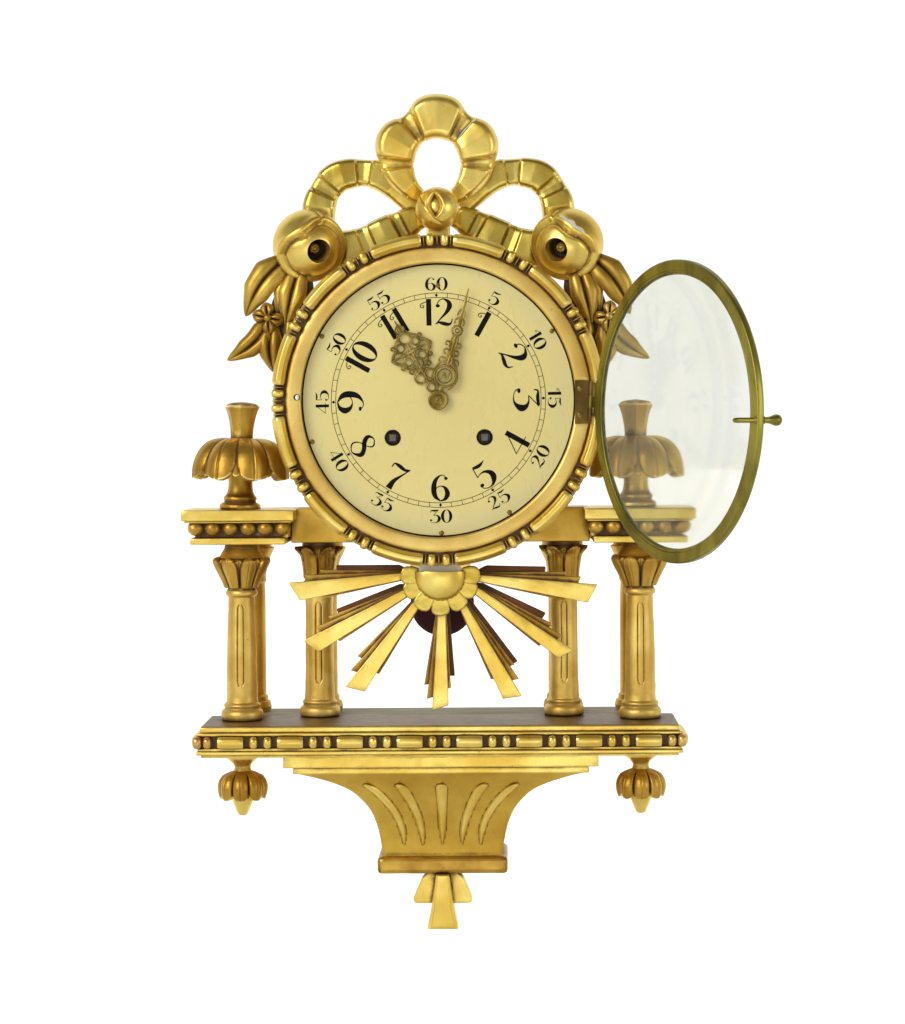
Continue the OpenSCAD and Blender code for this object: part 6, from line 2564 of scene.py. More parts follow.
    def outer_capital(self, angle: Array, t: Array) -> tuple[Array, Array]:
        """Radius and height of an outer column's capital.

        Args:
            angle: Angles round the capital.
            t: Places from 0 to 1 along its profile.

        Returns:
            Radii and heights.
        """
        radius, height = profiled(self.outer_bell(), 1)(t)
        h = self.head
        rear = self.lotus(angle, height, h - 33.5, h - 11.6, 8, 0.0, 0.4, 0.30)
        front = self.lotus(angle, height, h - 33.5, h - 10.2, 8, 0.5, 2.5, 0.42, 0.55)
        gap = -0.9 * (height > h - 33.5) * (height < h - 11.0) * (front <= 0.05) * (rear <= 0.05)
        return radius + (np.maximum(rear, front) + gap) * (radius > 5), height

    def inner_shape(self, angle: Array, t: Array) -> tuple[Array, Array]:
        """Radius and height of an inner column."""
        radius, height = profiled(self.inner_profile(), 1)(t)
        return radius + self.flute(angle, height, self.foot + 26, self.head - 46), height

    def inner_capital(self, angle: Array, t: Array) -> tuple[Array, Array]:
        """Radius and height of an inner column's capital.

        Args:
            angle: Angles round the capital.
            t: Places from 0 to 1 along its profile.

        Returns:
            Radii and heights.
        """
        radius, height = profiled(self.inner_bell(), 1)(t)
        h = self.head
        flare = 3.4 * ease((height - (h - 14)) / 9) ** 2
        front = self.lotus(angle, height, h - 28.5, h - 3.6, 6, 0.5, 1.5, 0.44)
        rear = self.lotus(angle, height, h - 28.5, h - 5.0, 6, 0.0, 0.5, 0.36)
        return radius + (np.maximum(rear, front) + flare * (front > 0.4)) * (radius > 5), height

    def make(self, bench: Bench) -> None:
        """Makes the four columns in front.

        Args:
            bench: Takes the pieces.
        """
        cut = Cut(rough=0.16, rough_size=13.0, crease=42.0)
        outer, inner = (self.outer_x, self.outer_z), (self.inner_x, self.inner_z)
        made = (("outer", "column", upright(self.outer_shape, *outer, 210, 176), bench.extra.shaft),
                ("outer", "capital", upright(self.outer_capital, *outer, 130, 240), bench.extra.carved),
                ("inner", "column", upright(self.inner_shape, *inner, 200, 144), bench.extra.shaft),
                ("inner", "capital", upright(self.inner_capital, *inner, 100, 144), bench.extra.carved))
        for kind, name, right, finish in made:
            for word, part in (("right", right), ("left", right.mirrored())):
                stands_for = [f"{kind}_column_{word}"] if name == "column" else []
                bench.make(f"{kind} {word} {name}", part, Slot.MATTE, cut, stands_for, finish=finish)


@dataclass
class Cornice:
    """Plain beam with a moulded block and a bead row over each outer column."""

    top: float = -81.7
    low: float = -107.8
    block_in: float = 109.0
    block_out: float = 193.5
    cap: float = 8.1
    front: float = 102.0
    bead: float = 5.3
    pitch: float = 13.2
    drum: float = 107.9

    def beam_half(self) -> Carving:
        """Right half of the beam, from the drum out.

        Returns:
            The half beam.
        """
        arc = [(self.drum * math.cos(a), -self.drum * math.sin(a))
               for a in np.linspace(math.asin(-self.top / self.drum), math.radians(74), 14)]
        outline = arc + [(40.0, self.low), (self.block_in + 4.6, self.low), (self.block_in + 4.6, self.top)]
        return slab(outline, 30.0, 72.0)

    def block(self) -> list[Carving]:
        """Right block: cap, recessed core and fillet.

        Returns:
            Its four layers.
        """
        b, o, cap = self.block_in, self.block_out, self.top - self.cap
        return [box((b, o), (cap, self.top), (31.0, self.front)),
                box((b + 2.0, o - 2.0), (cap - 1.6, cap + 0.5), (34.0, self.front - 2.5)),
                box((b + 5.0, o - 9.0), (self.low + 5.0, cap), (40.0, self.front - 10.0)),
                box((b + 7.0, o - 6.0), (self.low, self.low + 5.0), (37.0, self.front - 5.5))]

    def make(self, bench: Bench) -> None:
        """Makes the beam, the blocks and their beads.

        Args:
            bench: Takes the pieces.
        """
        beam = self.beam_half()
        bench.make("cornice beam", [beam, beam.mirrored()], Slot.MATTE, JOINERY, ["cornice_beam"])
        y, z = self.top - self.cap - self.bead - 0.5, self.front - 7.2
        gold, cut = bench.extra.carved, Cut(crease=60.0)
        front, end_size, pitch = (5.9, self.bead, 5.2), (5.2, self.bead, 5.9), self.pitch
        for side, word in ((1, "right"), (-1, "left")):
            parts = self.block() if side > 0 else [part.mirrored() for part in self.block()]
            bench.make(f"{word} cornice block", parts, Slot.BURNISHED, JOINERY, [f"cornice_block_{word}"])
            first, end = side * (self.block_in + 8.7), side * (self.block_out - 7.5)
            for name, place, size, count, step in (
                    ("beads", (first, y, z), front, 6, (side * pitch, 0, 0)),
                    ("side beads", (end, y, z - pitch), end_size, 4, (0, 0, -pitch))):
                row = bench.march.lay(f"{word} cornice {name}", ball(place, size, 14, 22), cut, gold, count,
                                      pitch=step)
                bench.take(row, CASE, Slot.BURNISHED, finish=gold)


# Sun and rays


@dataclass(frozen=True)
class RayLine:
    """One ray: the corners of its tip, its root, and the far edge of the layer behind it."""

    first: Point
    second: Point
    root: Point
    back_start: Point
    back_end: Point
    outer_step: float = 0.845
    inner_step: float = 0.77

    def wedge(self, reach: float, outward: Point, inward: Point, low: float, high: float) -> Carving:
        """One layer of the ray.

        Args:
            reach: Share of the ray's length.
            outward: How far the layer's outer edge stands beyond the ray's, at its root and end.
            inward: The same for its inner edge.
            low: Back of the layer.
            high: Front of the layer.

        Returns:
            The layer.
        """
        root, first, second = (np.array(p) for p in (self.root, self.first, self.second))
        middle = (first + second) / 2
        run = (middle - root) / np.hypot(*(middle - root))
        side = np.array([-run[1], run[0]])
        side *= np.sign(side[0] * middle[0]) or 1.0
        outer, inner = (first, second) if (first - middle) @ side > 0 else (second, first)
        buried = root - 17.0 * run
        corners = [buried + side * (1.6 + outward[0]), root + side * (2.9 + outward[0]),
                   root + side * 2.9 + (outer - root - side * 2.9) * reach + side * outward[1],
                   root - side * 2.9 + (inner - root + side * 2.9) * reach - side * inward[1],
                   root - side * (2.9 + inward[0]), buried - side * (1.6 + inward[0])]
        return slab(corners, low, high)

    def back(self, low: float, high: float) -> Carving:
        """The dark layer behind the ray.

        Args:
            low: Back of the layer.
            high: Front of the layer.

        Returns:
            The layer.
        """
        root = np.array(self.root)
        run = (np.array(self.first) + self.second) / 2 - root
        reach = (np.array(self.back_end) - root) @ run / (run @ run)
        return slab([self.back_start, self.back_end, root + reach * run, root - 0.2 * run], low, high)


@dataclass
class Sun:
    """Dome with petals under the bezel, and seven stepped rays."""

    centre: Point = (0.6, -131.8)
    dome: float = 18.4
    rise: float = 7.5
    top: float = -128.2
    back: float = 93.0
    ray_back: float = 82.0
    petal_angles: tuple[float, ...] = (-91.0, -64.0, -33.0, 0.0, 33.0, 64.0, 91.0)
    petal_half: tuple[Point, ...] = ((16.0, 5.4), (21.0, 6.9), (26.0, 6.9), (28.6, 5.2), (29.9, 2.0))
    rays: tuple[RayLine, ...] = (
        RayLine((-114.0, -136.9), (-105.6, -150.2), (-32.1, -133.1), (-31.0, -124.5), (-79.0, -124.3)),
        RayLine((-102.9, -180.4), (-91.7, -189.1), (-27.7, -146.2), (-31.0, -139.0), (-79.0, -157.8)),
        RayLine((-71.7, -215.4), (-57.0, -219.1), (-19.6, -156.2), (-20.7, -150.4), (-58.2, -189.6)),
        RayLine((-6.3, -233.7), (6.0, -229.6), (1.2, -161.9), (7.0, -162.0), (10.7, -208.8), 0.883, 0.81),
        RayLine((47.0, -225.0), (61.3, -223.1), (18.7, -158.1), (23.3, -151.7), (58.3, -198.0)),
        RayLine((89.1, -194.7), (100.0, -188.7), (31.1, -146.2), (32.4, -138.7), (80.0, -161.6)),
        RayLine((111.3, -152.9), (118.8, -139.4), (35.5, -135.0), (35.0, -125.1), (80.0, -126.4)))

    def petals(self) -> list[Carving]:
        """The flat lobes round the dome.

        Returns:
            The lobes.
        """
        x, y = self.centre
        side = [(half, y - r) for r, half in self.petal_half]
        outline = [(x + a, b) for a, b in side] + [(x - a, b) for a, b in side[::-1]]
        return [slab(outline, self.back + 2.0, self.back + 7.4 - 0.2 * (i % 2)).turned(-turn, self.centre)
                for i, turn in enumerate(self.petal_angles)]

    def half_dome(self) -> Carving:
        """The dome, with its upper half cut off under the bezel.

        Returns:
            The dome.
        """
        arc = [(self.dome * math.sin(a), self.back + 7.2 + self.rise * math.cos(a))
               for a in np.linspace(math.radians(88), 0, 20)]
        part = disc([(0.0, self.back), (self.dome, self.back)] + arc, 96, self.centre)
        part.points[:, 1] = np.minimum(part.points[:, 1], self.top)
        return part

    def make(self, bench: Bench) -> None:
        """Makes the dome, the petals, the rays and the dark layer behind them.

        Args:
            bench: Takes the pieces.
        """
        x, y = self.centre
        tongue = box((-15.6, 15.6), (y + 2.0, -104.4), (self.back, 100.6))
        ground = disc([(0.0, self.back), (23.0, self.back), (24.0, self.back + 1.0),
                       (24.0, self.back + 4.4), (0.0, self.back + 4.8)], 80, (x, y))
        bench.make("sun dome", [self.half_dome(), ground, tongue], Slot.BURNISHED,
                   Cut(rough=0.15, rough_size=10.0, crease=45.0), ["sun_boss"])
        bench.make("sun petals", self.petals(), Slot.BURNISHED,
                   Cut(bevel=1.1, longest=2.5, rough=0.25, rough_size=7.0, crease=40.0),
                   finish=bench.extra.ribbon)
        z = self.ray_back
        front = [ray.wedge(1.0, (0.0, 0.0), (0.0, 0.0), z + 5.5, z + 11.0) for ray in self.rays]
        held = (-2.0, -4.0)
        steps = [ray.wedge(ray.outer_step, (0.8, 4.6), held, z + 2.0, z + 7.2) for ray in self.rays]
        steps += [ray.wedge(ray.inner_step, held, (0.7, 2.1), z + 2.0, z + 7.0) for ray in self.rays]
        steps += [ray.wedge(ray.outer_step - 0.14, (1.8, 7.4), (0.0, 0.0), z, z + 3.6)
                  for ray in self.rays]
        cut = Cut(bevel=0.5, longest=6.5, rough=0.14, crease=32.0)
        bench.make("sun rays", front, Slot.BURNISHED, cut, ["sun_rays"])
        bench.make("steps of the sun rays", steps, Slot.BURNISHED, cut, finish=bench.extra.carved)
        # The layer behind the rays is coloured dark, partly as painted shade
        bench.make("dark layer behind the rays", [ray.back(z - 4.8, z - 0.2) for ray in self.rays],
                   Slot.MATTE, JOINERY, ["sun_back_rays"], finish=bench.extra.ray_back)


# Shelf and bracket


@dataclass
class Shelf:
    """Shelf board with a bead-and-reel moulding, fillets and two pendants."""

    top: float = -242.1
    half: float = 178.4
    reach: float = 117.0
    rail: float = 45.5
    under: float = -265.3
    mid: float = -253.4
    rod: float = 4.4
    rod_length: float = 19.0
    pitch: float = 44.3
    rods: int = 8
    pendant: Point = (151.5, 72.0)
    pendant_profile: tuple[Point, ...] = (
        (0.0, 0.0), (11.4, 0.0), (13.2, -2.6), (12.8, -5.4), (9.4, -8.2), (6.4, -10.8), (6.0, -13.4),
        (6.8, -15.4), (7.6, -17.6), (7.8, -34.0), (8.6, -36.4), (6.8, -41.5), (4.6, -46.6), (3.4, -49.2),
        (0.0, -49.7))
    leaf_profile: tuple[Point, ...] = ((6.8, -15.4), (10.4, -16.8), (14.6, -20.4), (16.8, -26.0),
                                       (16.6, -31.6), (14.8, -37.0))

    @property
    def first_rod(self) -> float:
        """Place of the moulding's first rod across the clock."""
        return -(self.rods - 1) / 2 * self.pitch

    @property
    def proud(self) -> float:
        """Forward distance of the moulding's axis."""
        return self.reach + 3.6

    def boards(self) -> list[Carving]:
        """Fillets under the top board, downwards.

        Returns:
            The fillets.
        """
        layers = ((-246.6, -249.0, 2.4), (-257.8, -260.4, 1.6),
                  (-260.2, -263.0, 2.5), (-262.8, self.under, -0.6))
        return [box((-self.half - out, self.half + out), (low, high), (self.rail, self.reach + out))
                for high, low, out in layers]

    def reel(self) -> Carving:
        """One rod of the moulding at the left end of the front.

        Returns:
            The rod.
        """
        rings = []
        for s in np.linspace(-1, 1, 17):
            size = self.rod * (0.86 + 0.14 * math.sqrt(max(0.0, 1 - abs(s) ** 8)))
            turn = np.linspace(0, TAU, 22, endpoint=False)
            flat = np.where(np.abs(np.cos(turn)) > 0.86, 0.95, 1.0)
            rings.append(np.column_stack([np.full(22, self.first_rod + s * self.rod_length / 2),
                                          self.mid + size * flat * np.sin(turn),
                                          self.proud + size * flat * np.cos(turn) * 0.9]))
        return loft(np.stack(rings))

    def make(self, bench: Bench) -> None:
        """Makes the board, the moulding and the pendants.

        Args:
            bench: Takes the pieces.
        """
        board = box((-self.half, self.half), (self.top - 4.8, self.top - 0.3), (self.rail, self.reach))
        bench.make("shelf board", board, Slot.BURNISHED, JOINERY, ["shelf"])
        # A thin darker skin on the shelf's top: painted shade on the face that looks up
        worn = box((-self.half + 0.8, self.half - 0.8), (self.top - 0.6, self.top),
                   (self.rail, self.reach - 1.0))
        bench.make("worn top of the shelf", worn, Slot.BURNISHED, Cut(bevel=0.2, longest=8.5),
                   finish=bench.extra.shelf_top)
        ground = box((-self.half + 0.4, self.half - 0.4), (-259.4, -248.6), (self.rail, self.reach - 0.4))
        bench.make("shelf fillets", self.boards(), Slot.BURNISHED, JOINERY)
        # This dark sheet between the rods and beads paints the shade there, partly as toner
        bench.make("ground of the moulding", ground, Slot.BURNISHED, JOINERY,
                   finish=bench.extra.dark_ground)
        gold, cut = bench.finishes[Slot.BURNISHED], Cut(crease=55.0)
        front = bench.march.lay("front reels", self.reel(), cut, gold, self.rods, pitch=(self.pitch, 0, 0))
        bench.take(front, CASE, Slot.BURNISHED, ["shelf_moulding"])
        for side, word in ((-1, "left"), (1, "right")):
            x = -(self.rods / 2 - 1) * self.pitch + side * 5.2
            bead = self.squat((x, self.mid, self.proud))
            beads = bench.march.lay(f"{word} front beads", bead, cut, gold, self.rods - 1,
                                    pitch=(self.pitch, 0, 0))
            bench.take(beads, CASE, Slot.BURNISHED)
        self.make_ends(bench)
        self.make_pendants(bench)

    def squat(self, centre: Sequence[float], scale: float = 1.0) -> Carving:
        """One bead of the moulding, squarer than a ball.

        Args:
            centre: Its middle.
            scale: How much larger it is than the usual bead.

        Returns:
            The bead.
        """
        unit = ball((0.0, 0.0, 0.0), (1.0, 1.0, 1.0), 12, 18)
        unit.points = np.sign(unit.points) * np.abs(unit.points) ** 0.82 * [3.3, 4.3, 4.0] * scale + centre
        return unit

    def make_ends(self, bench: Bench) -> None:
        """Makes the beads at the corners and the reels along the shelf's ends.

        Args:
            bench: Takes the pieces.
        """
        z, corners, reels = self.reach + 3.4, [], []
        reel = self.reel()
        along_x, height, out = (reel.points - [self.first_rod, 0.0, self.proud]).T
        for side in (-1, 1):
            end, axis = side * (self.half + 1.6), side * (self.half + 3.4)
            corners += [self.squat((end - side * 7.6, self.mid, z)),
                        self.squat((end, self.mid, z - 0.8), 1.12)]
            for start in (self.reach - 18.0, self.reach - 45.0):
                swapped = np.column_stack([out * side + axis, height, along_x + start])
                reels.append(Carving(swapped, reel.faces))
                reels += [self.squat((axis, self.mid, start + gap)) for gap in (-12.6, 12.6)]
        bench.make("corner beads", corners, Slot.BURNISHED, Cut(crease=55.0), finish=bench.extra.red_bole)
        bench.make("end reels", reels, Slot.BURNISHED, Cut(crease=55.0))

    def pendant_shape(self, angle: Array, t: Array) -> tuple[Array, Array]:
        """Radius and height of a pendant, from the shelf down."""
        radius, height = profiled(self.pendant_profile, 1)(t)
        return radius + 0 * angle, height + self.under

    def pendant_leaves(self) -> Carving:
        """The eight leaves of a pendant's cup.

        Returns:
            The leaves of the right pendant.
        """
        around, rows = 208, 34
        x, z = self.pendant
        a = np.linspace(0, TAU, around, endpoint=False)[None, :]
        u = within_leaf(a, 8)
        tipped = np.clip(1 - np.abs(u / 0.5) ** 2.6, 0, 1) ** 0.5
        t = np.linspace(0, 1, rows)[:, None] * (0.72 + 0.28 * tipped)
        radius, height = profiled(self.leaf_profile, 1)(t)
        full = ease(t / 0.3)
        lift = full * (2.4 * (1 - (2 * u) ** 2) - 0.6 * bump(u, 0.03) - 1.6 * bump(np.abs(u) - 0.5, 0.05))
        outer = np.stack([(radius + lift) * np.sin(a), height + 0 * a, (radius + lift) * np.cos(a)], -1)
        shrink = np.maximum(radius - 2.4 - 4.0 * (1 - t), 5.0)
        inner = np.stack([shrink * np.sin(a), height - 0.4 + 0.8 * t + 0 * a, shrink * np.cos(a)], -1)
        shell = np.vstack([outer, inner[::-1]]) + np.array([x, self.under, z])
        return sheet(shell, wrap_rows=True, wrap_columns=True)

    def make_pendants(self, bench: Bench) -> None:
        """Makes both pendants.

        Args:
            bench: Takes the pieces.
        """
        x, z = self.pendant
        for name, part, finish, stands_for in (
                ("pendants", upright(self.pendant_shape, x, z, 70, 72), bench.finishes[Slot.BURNISHED],
                 ["pendants"]),
                ("pendant leaves", self.pendant_leaves(), bench.extra.carved, [])):
            bench.make(name, [part, part.mirrored()], Slot.BURNISHED,
                       Cut(rough=0.16, rough_size=9.0, crease=42.0), stands_for, finish=finish)


@dataclass
class Bracket:
    """Hollow-sided bracket with five raised tongues, its fascia, plinth and drops."""

    fascia_half: float = 118.7
    under: float = -265.3
    fascia: float = 11.0
    fillet: float = 4.8
    reach: float = 95.0
    height: float = 68.0
    foot_reach: float = 58.0
    plinth_half: float = 49.9
    plinth_reach: float = 64.0
    plinth_height: float = 13.0
    drop: float = 41.6
    waist: tuple[Point, ...] = ((0.0, 1.0), (0.087, 0.81), (0.22, 0.63), (0.42, 0.512),
                                (0.62, 0.456), (0.82, 0.428), (1.0, 0.412))
    # Foot, spread and bend of each tongue
    tongues: tuple[Point3, ...] = ((0.0, 0.0, 1.0), (15.0, 18.0, 2.0), (29.4, 28.3, 2.2),
                                   (-15.0, -18.0, 2.0), (-29.4, -28.3, 2.2))
    tongue_top: float = 9.0
    tongue_end: float = 60.0

    @property
    def top(self) -> float:
        """Height where the hollow body starts."""
        return self.under - self.fascia - self.fillet

    def front(self, share: float) -> float:
        """How far the body stands out at a share of its height."""
        return self.foot_reach + (self.reach - 7.0 - self.foot_reach) * (1 - share) ** 2.2

    def tongue(self, foot: float, spread: float, power: float) -> Carving:
        """One raised tongue, from its head down to its foot.

        Args:
            foot: Place of its foot across the clock.
            spread: How far its head stands out from there.
            power: How its line bends on the way.

        Returns:
            The tongue.
        """
        rings = []
        for part in np.linspace(0, 1, 44):
            down = self.tongue_top + (self.tongue_end - self.tongue_top) * part
            half = (4.9 - 2.6 * part) * math.sqrt(max(0.0, 1 - max(0.0, 1 - part / 0.10) ** 2))
            half = max(0.2, half * math.sqrt(max(0.0, min(1.0, (1 - part) / 0.22))))
            middle, base = foot + spread * (1 - part) ** power, self.front(down / self.height)
            v = np.linspace(-1, 1, 13)
            lift = 3.0 * min(1.0, half / 3.0) * (1 - np.abs(v) ** 1.8)
            face = np.column_stack([middle + half * v, np.full(13, self.top - down), base + lift])
            back = face[::-4] * [1.0, 1.0, 0.0] + [0.0, 0.0, base - 2.5]
            rings.append(np.vstack([face, back]))
        return loft(np.stack(rings))

    def body(self) -> Carving:
        """The hollow body as a loft of level outlines.

        Returns:
            The body.
        """
        rows = []
        half_top = self.fascia_half - 7.7
        waist = curve(self.waist, 80)
        for t in np.linspace(0, 1, 90):
            half = np.interp(t, waist[:, 0], waist[:, 1]) * half_top
            x = np.linspace(-half, half, 90)
            edge = np.clip((half - np.abs(x)) / 2.2, 0, 1)
            z = self.front(t) - 1.4 * (1 - np.sqrt(1 - (1 - edge) ** 2))
            y = np.full_like(x, self.top - t * self.height)
            sides = [(half, 45.0), (half, 30.0), (half, 15.0), (half, 0.0), (-half, 0.0), (-half, 15.0),
                     (-half, 30.0), (-half, 45.0)]
            back = np.array([(a, y[0], b) for a, b in sides])
            rows.append(np.vstack([np.column_stack([x, y, z]), back]))
        return loft(np.stack(rows))

    def make(self, bench: Bench) -> None:
        """Makes the bracket, the plinth and the drops.

        Args:
            bench: Takes the pieces.
        """
        cut = Cut(rough=0.16, rough_size=12.0, crease=40.0)
        bench.make("bracket body", self.body(), Slot.BURNISHED, cut, ["console"],
                   finish=bench.extra.bracket)
        bench.make("bracket tongues", [self.tongue(*place) for place in self.tongues], Slot.BURNISHED,
                   Cut(rough=0.2, rough_size=8.0, crease=50.0))
        half, mid = self.fascia_half, self.under - self.fascia
        boards = [box((-half, half), (mid, self.under), (0.0, self.reach)),
                  box((-half + 7.1, half - 7.1), (self.top - 0.3, mid), (0.0, self.reach - 4.0))]
        bench.make("bracket fascia", boards, Slot.BURNISHED, JOINERY)
        low, p = self.top - self.height, self.plinth_half
        plinth = box((-p, p), (low - self.plinth_height, low), (0.0, self.plinth_reach))
        bench.make("plinth", plinth, Slot.BURNISHED, Cut(bevel=3.2, longest=3.6, rough=0.2, crease=40.0),
                   ["plinth"], finish=bench.extra.worn_plinth)
        self.make_drops(bench, low - self.plinth_height)

    def make_drops(self, bench: Bench, top: float) -> None:
        """Makes the middle drop with its chamfered sides and the two side drops.

        Args:
            bench: Takes the drops.
            top: Height of the plinth's underside.
        """
        end, side_end = top - self.drop, top - self.drop * 0.565
        rings = []
        for inset, z in ((0.0, 50.0), (0.0, 66.0), (1.0, 70.0)):
            right = [(5.0 - 1.4 * inset, top), (8.3 - 2.2 * inset, top - 23),
                     (12.0 - 3.0 * inset, end + 0.8 * inset)]
            line = right + [(-x, y) for x, y in right[::-1]]
            rings.append([(x, y, z) for x, y in line])
        drops = [loft(np.array(rings))]
        for side in (-1, 1):
            line = softened([(3.0, top), (14.0, top), (22.6, side_end + 4.5), (22.4, side_end + 1.2),
                             (19.6, side_end), (6.4, side_end), (4.4, side_end + 2.4),
                             (3.0, top - 18)], 1, True)
            drops.append(slab([(side * x, y) for x, y in line], 44.0, 58.0))
        bench.make("drops", drops, Slot.BURNISHED, Cut(bevel=0.6, longest=3.0, rough=0.15, crease=28.0),
                   ["drops"])


# Door


@dataclass
class Door:
    """Brass door with its glass and latch, standing open."""

    radius: float = 106.8
    thick: float = 6.0
    width: float = 10.6
    glass_edge: float = 7.2
    glass: float = 2.0
    back: float = 111.1
    centre: float = -1.7
    angle: float = 118.5
    hinge: Point3 = (113.7, -2.0, 112.95)
    lean_side: float = 2.55
    lean_front: float = 1.46
    latch: Point = (-105.0, 2.6)
    pin_length: float = 17.0

    def opened(self, part: Carving) -> Carving:
        """The part turned open about the worn hinge.

        Args:
            part: A part of the closed door.

        Returns:
            The part in the open door.
        """
        side, front = (math.tan(math.radians(lean)) for lean in (self.lean_side, self.lean_front))
        axis = Vector((side, 1.0, front))
        spin = np.array(Matrix.Rotation(math.radians(self.angle), 3, axis.normalized()))
        pin = np.array(self.hinge)
        return Carving((part.points - pin) @ spin.T + pin, part.faces)

    def ring(self) -> Carving:
        """The rolled ring with its stepped inner edge.

        Returns:
            The ring of the closed door.
        """
        b, r, w = self.back, self.radius, self.width
        f = b + self.thick
        seat, rebate = r - self.glass_edge, b + 1.2 + self.glass
        profile = [(seat - 0.6, b), (seat + 0.5, b), (r - 1.2, b), (r - 0.3, b + 0.4), (r, b + 1.4),
                   (r, f - 1.6), (r - 0.6, f - 0.4), (r - 1.8, f), (r - 4.6, f), (r - 5.6, f - 0.9),
                   (r - 6.6, f - 1.2), (r - w + 0.8, f - 1.5), (r - w, f - 2.3), (r - w, rebate),
                   (seat, rebate)]
        return faced(profile, 260, 1, (self.centre, 0.0))

    def inner_step(self) -> Carving:
        """The thin bead that holds the glass on the back.

        Returns:
            The bead of the closed door.
        """
        r, b = self.radius - self.glass_edge - 0.7, self.back
        return faced([(r - 1.6, b + 1.0), (r - 1.6, b + 0.3), (r - 0.6, b - 0.1), (r + 0.4, b + 0.2),
                      (r + 0.4, b + 1.0)], 240, 1, (self.centre, 0.0))

    def make(self, bench: Bench) -> None:
        """Makes the ring, the glass and the latch.

        Args:
            bench: Takes the pieces.
        """
        brass = Cut(rough=0.06, rough_size=30.0, crease=45.0)
        bench.make("door ring", [self.opened(self.ring()), self.opened(self.inner_step())],
                   Slot.AGED_BRASS, brass, ["door_ring"], "door")
        r, b = self.radius - self.glass_edge - 0.05, self.back + 1.05
        pane = disc([(0.0, b), (r, b), (r, b + self.glass), (0.0, b + self.glass)], 160, (self.centre, 0.0))
        bench.make("door glass", self.opened(pane), Slot.GLASS, Cut(crease=30.0), ["door_glass"], "door")
        self.make_latch(bench)

    def make_latch(self, bench: Bench) -> None:
        """Makes the pin with its pear-shaped knob.

        Args:
            bench: Takes the pin.
        """
        f, b = self.back + self.thick, self.back
        profile = [(0.0, b - self.pin_length), (0.9, b - self.pin_length), (1.5, b - self.pin_length + 0.8),
                   (1.8, b - self.pin_length + 2.4), (1.8, b - 0.9), (2.5, b - 0.6), (2.5, b + 0.2),
                   (1.8, b + 0.4), (1.8, f), (3.0, f), (3.1, f + 0.7), (2.4, f + 1.2), (2.1, f + 3.0),
                   (2.4, f + 6.0), (3.3, f + 8.6), (4.0, f + 11.0), (3.7, f + 13.2), (2.4, f + 14.6),
                   (0.0, f + 15.0)]
        bench.make("latch pin and knob", self.opened(disc(profile, 36, self.latch)), Slot.AGED_BRASS, FINE,
                   ["door_latch"], "door")


# The scene


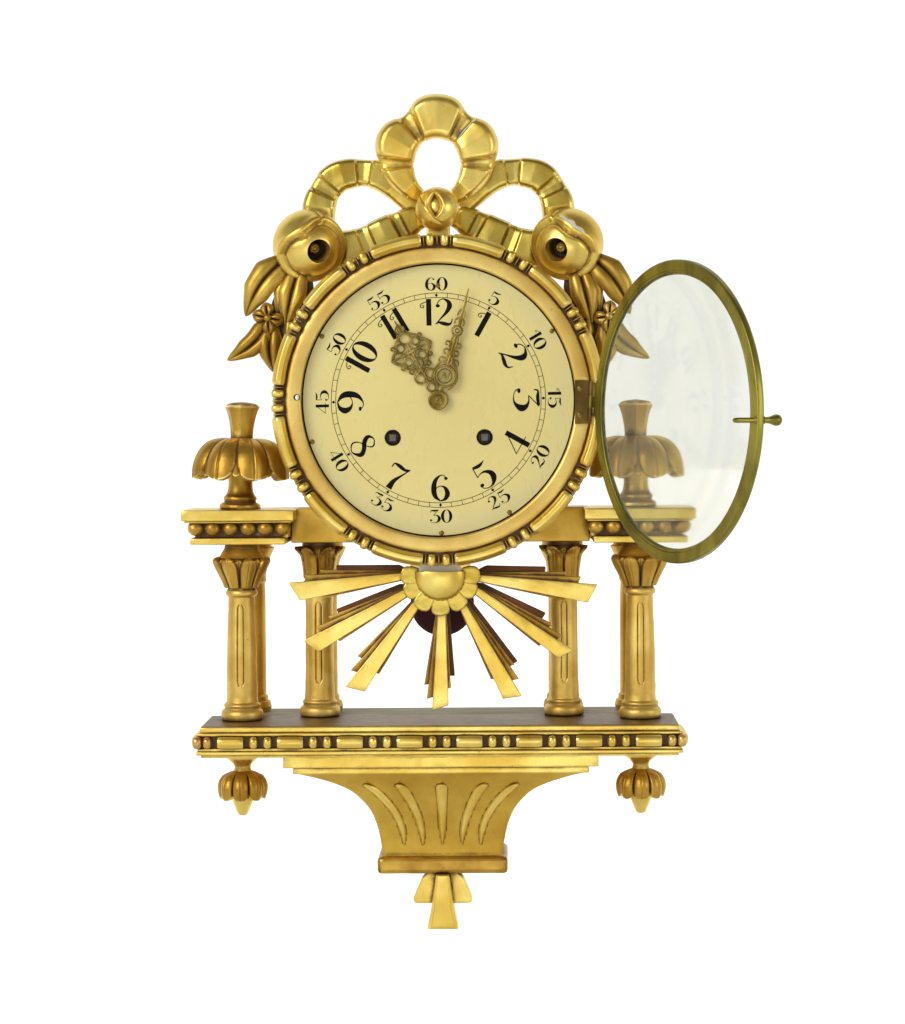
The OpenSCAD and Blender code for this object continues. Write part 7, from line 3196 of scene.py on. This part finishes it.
class Studio:
    """Floor, light and camera."""

    camera_place = (0.0520, -1.917, -0.1069)
    lens = 85.2
    roll = 0.33
    shift = (-0.0542, -0.0850)
    floor_height = -0.70

    def make(self) -> None:
        """Sets up the floor, the lights and the camera."""
        self.make_floor()
        self.make_world()
        self.make_light("key softbox", (-1.5, -2.0, 0.9), 1.5, 34.0)
        self.make_light("side softbox", (2.2, -1.4, 0.2), 1.2, 9.0)
        self.make_light("low softbox", (0.1, -1.9, -0.9), 1.2, 8.0, (0.0, 0.0, -0.2))
        camera = bpy.data.objects.new("camera", bpy.data.cameras.new("camera"))
        camera.data.lens = self.lens
        camera.data.sensor_width = 36.0
        camera.data.shift_x, camera.data.shift_y = self.shift
        camera.location = self.camera_place
        camera.rotation_euler = (math.radians(90), math.radians(self.roll), 0.0)
        bpy.context.scene.collection.objects.link(camera)
        bpy.context.scene.camera = camera
        bpy.context.scene.view_settings.view_transform = "Standard"

    def make_floor(self) -> None:
        """A plain pale floor, well below the clock; its part behind the clock glows, a painted glow that
        adds light from below.
        """
        size, z = 30.0, self.floor_height
        mesh = bpy.data.meshes.new("floor")
        mesh.from_pydata([(-size, -size, z), (size, -size, z), (size, size, z), (-size, size, z)], [],
                         [(0, 1, 2, 3)])
        floor = bpy.data.objects.new("floor", mesh)
        bpy.context.scene.collection.objects.link(floor)
        material, work, shader = started("pale floor")
        shader.inputs["Base Color"].default_value = (0.93, 0.93, 0.92, 1.0)
        shader.inputs["Roughness"].default_value = 0.9
        # The floor glows, more so behind the clock: painted light, not a lamp
        shader.inputs["Emission Color"].default_value = (1.0, 1.0, 1.0, 1.0)
        split = work.node("ShaderNodeSeparateXYZ")
        work.feed(split.inputs[0], work.node("ShaderNodeTexCoord").outputs["Object"])
        far = work.span(split.outputs[1], -0.2, 0.6)
        work.feed(shader.inputs["Emission Strength"], work.between(far, 0.0, 0.75))
        mesh.materials.append(material)

    def make_world(self) -> None:
        """A white backdrop behind the clock, and a darker room in front of it."""
        world = bpy.data.worlds.new("backdrop and room")
        bpy.context.scene.world = world
        world.use_nodes = True
        work = Wiring(world.node_tree)
        place = work.node("ShaderNodeTexCoord").outputs["Generated"]
        split = work.node("ShaderNodeSeparateXYZ")
        work.feed(split.inputs[0], place)
        high = work.span(split.outputs[2], 0.10, 0.80)
        room = work.blend(high, (0.60, 0.59, 0.57, 1.0), (0.17, 0.15, 0.12, 1.0))
        behind = work.span(split.outputs[1], 0.10, 0.55)
        ground = world.node_tree.nodes["Background"]
        work.feed(ground.inputs["Color"], work.blend(behind, room, (1.05, 1.05, 1.05, 1.0)))
        ground.inputs["Strength"].default_value = 1.0

    @staticmethod
    def make_light(name: str, place: Sequence[float], size: float, power: float,
                   aim: Point3 = (0.0, 0.0, -0.1)) -> None:
        """Adds one soft light.

        Args:
            name: Name of the light.
            place: Where it stands, in metres.
            size: Width of its square face.
            power: Strength in watts.
            aim: Point it looks at.
        """
        data = bpy.data.lights.new(name, "AREA")
        data.size, data.energy = size, power
        light = bpy.data.objects.new(name, data)
        light.location = place
        light.rotation_euler = (Vector(aim) - Vector(place)).to_track_quat("-Z", "Y").to_euler()
        bpy.context.scene.collection.objects.link(light)


def main() -> None:
    """Builds the clock, its patina with its painted shade and highlights, and the studio."""
    logging.basicConfig(level=logging.INFO, format="%(name)s: %(message)s")
    finishes = Finishes()
    bench = Bench(finishes.slots, finishes)
    assemblies = [Drum(), Bezel(), Dial(), Hands(), Bow(), Rose(), Sprays(), Finial(), Columns(),
                  Cornice(), Sun(), Shelf(), Bracket(), Door()]
    for assembly in assemblies:
        assembly.make(bench)
    replaced = {node for piece in bench.pieces for node in piece.get("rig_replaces", [])}
    shown = [name for name in frame["nodes"] if name not in replaced]
    dress_movement(frame["nodes"], finishes, shown)
    carved = [piece for piece in bench.pieces if piece["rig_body"] == CASE]
    # Stores the masks for the toner, the painted shade, the wear and the painted highlights
    Patina(carved, rays=14).store()
    Studio().make()


if __name__ == "__main__":
    main()
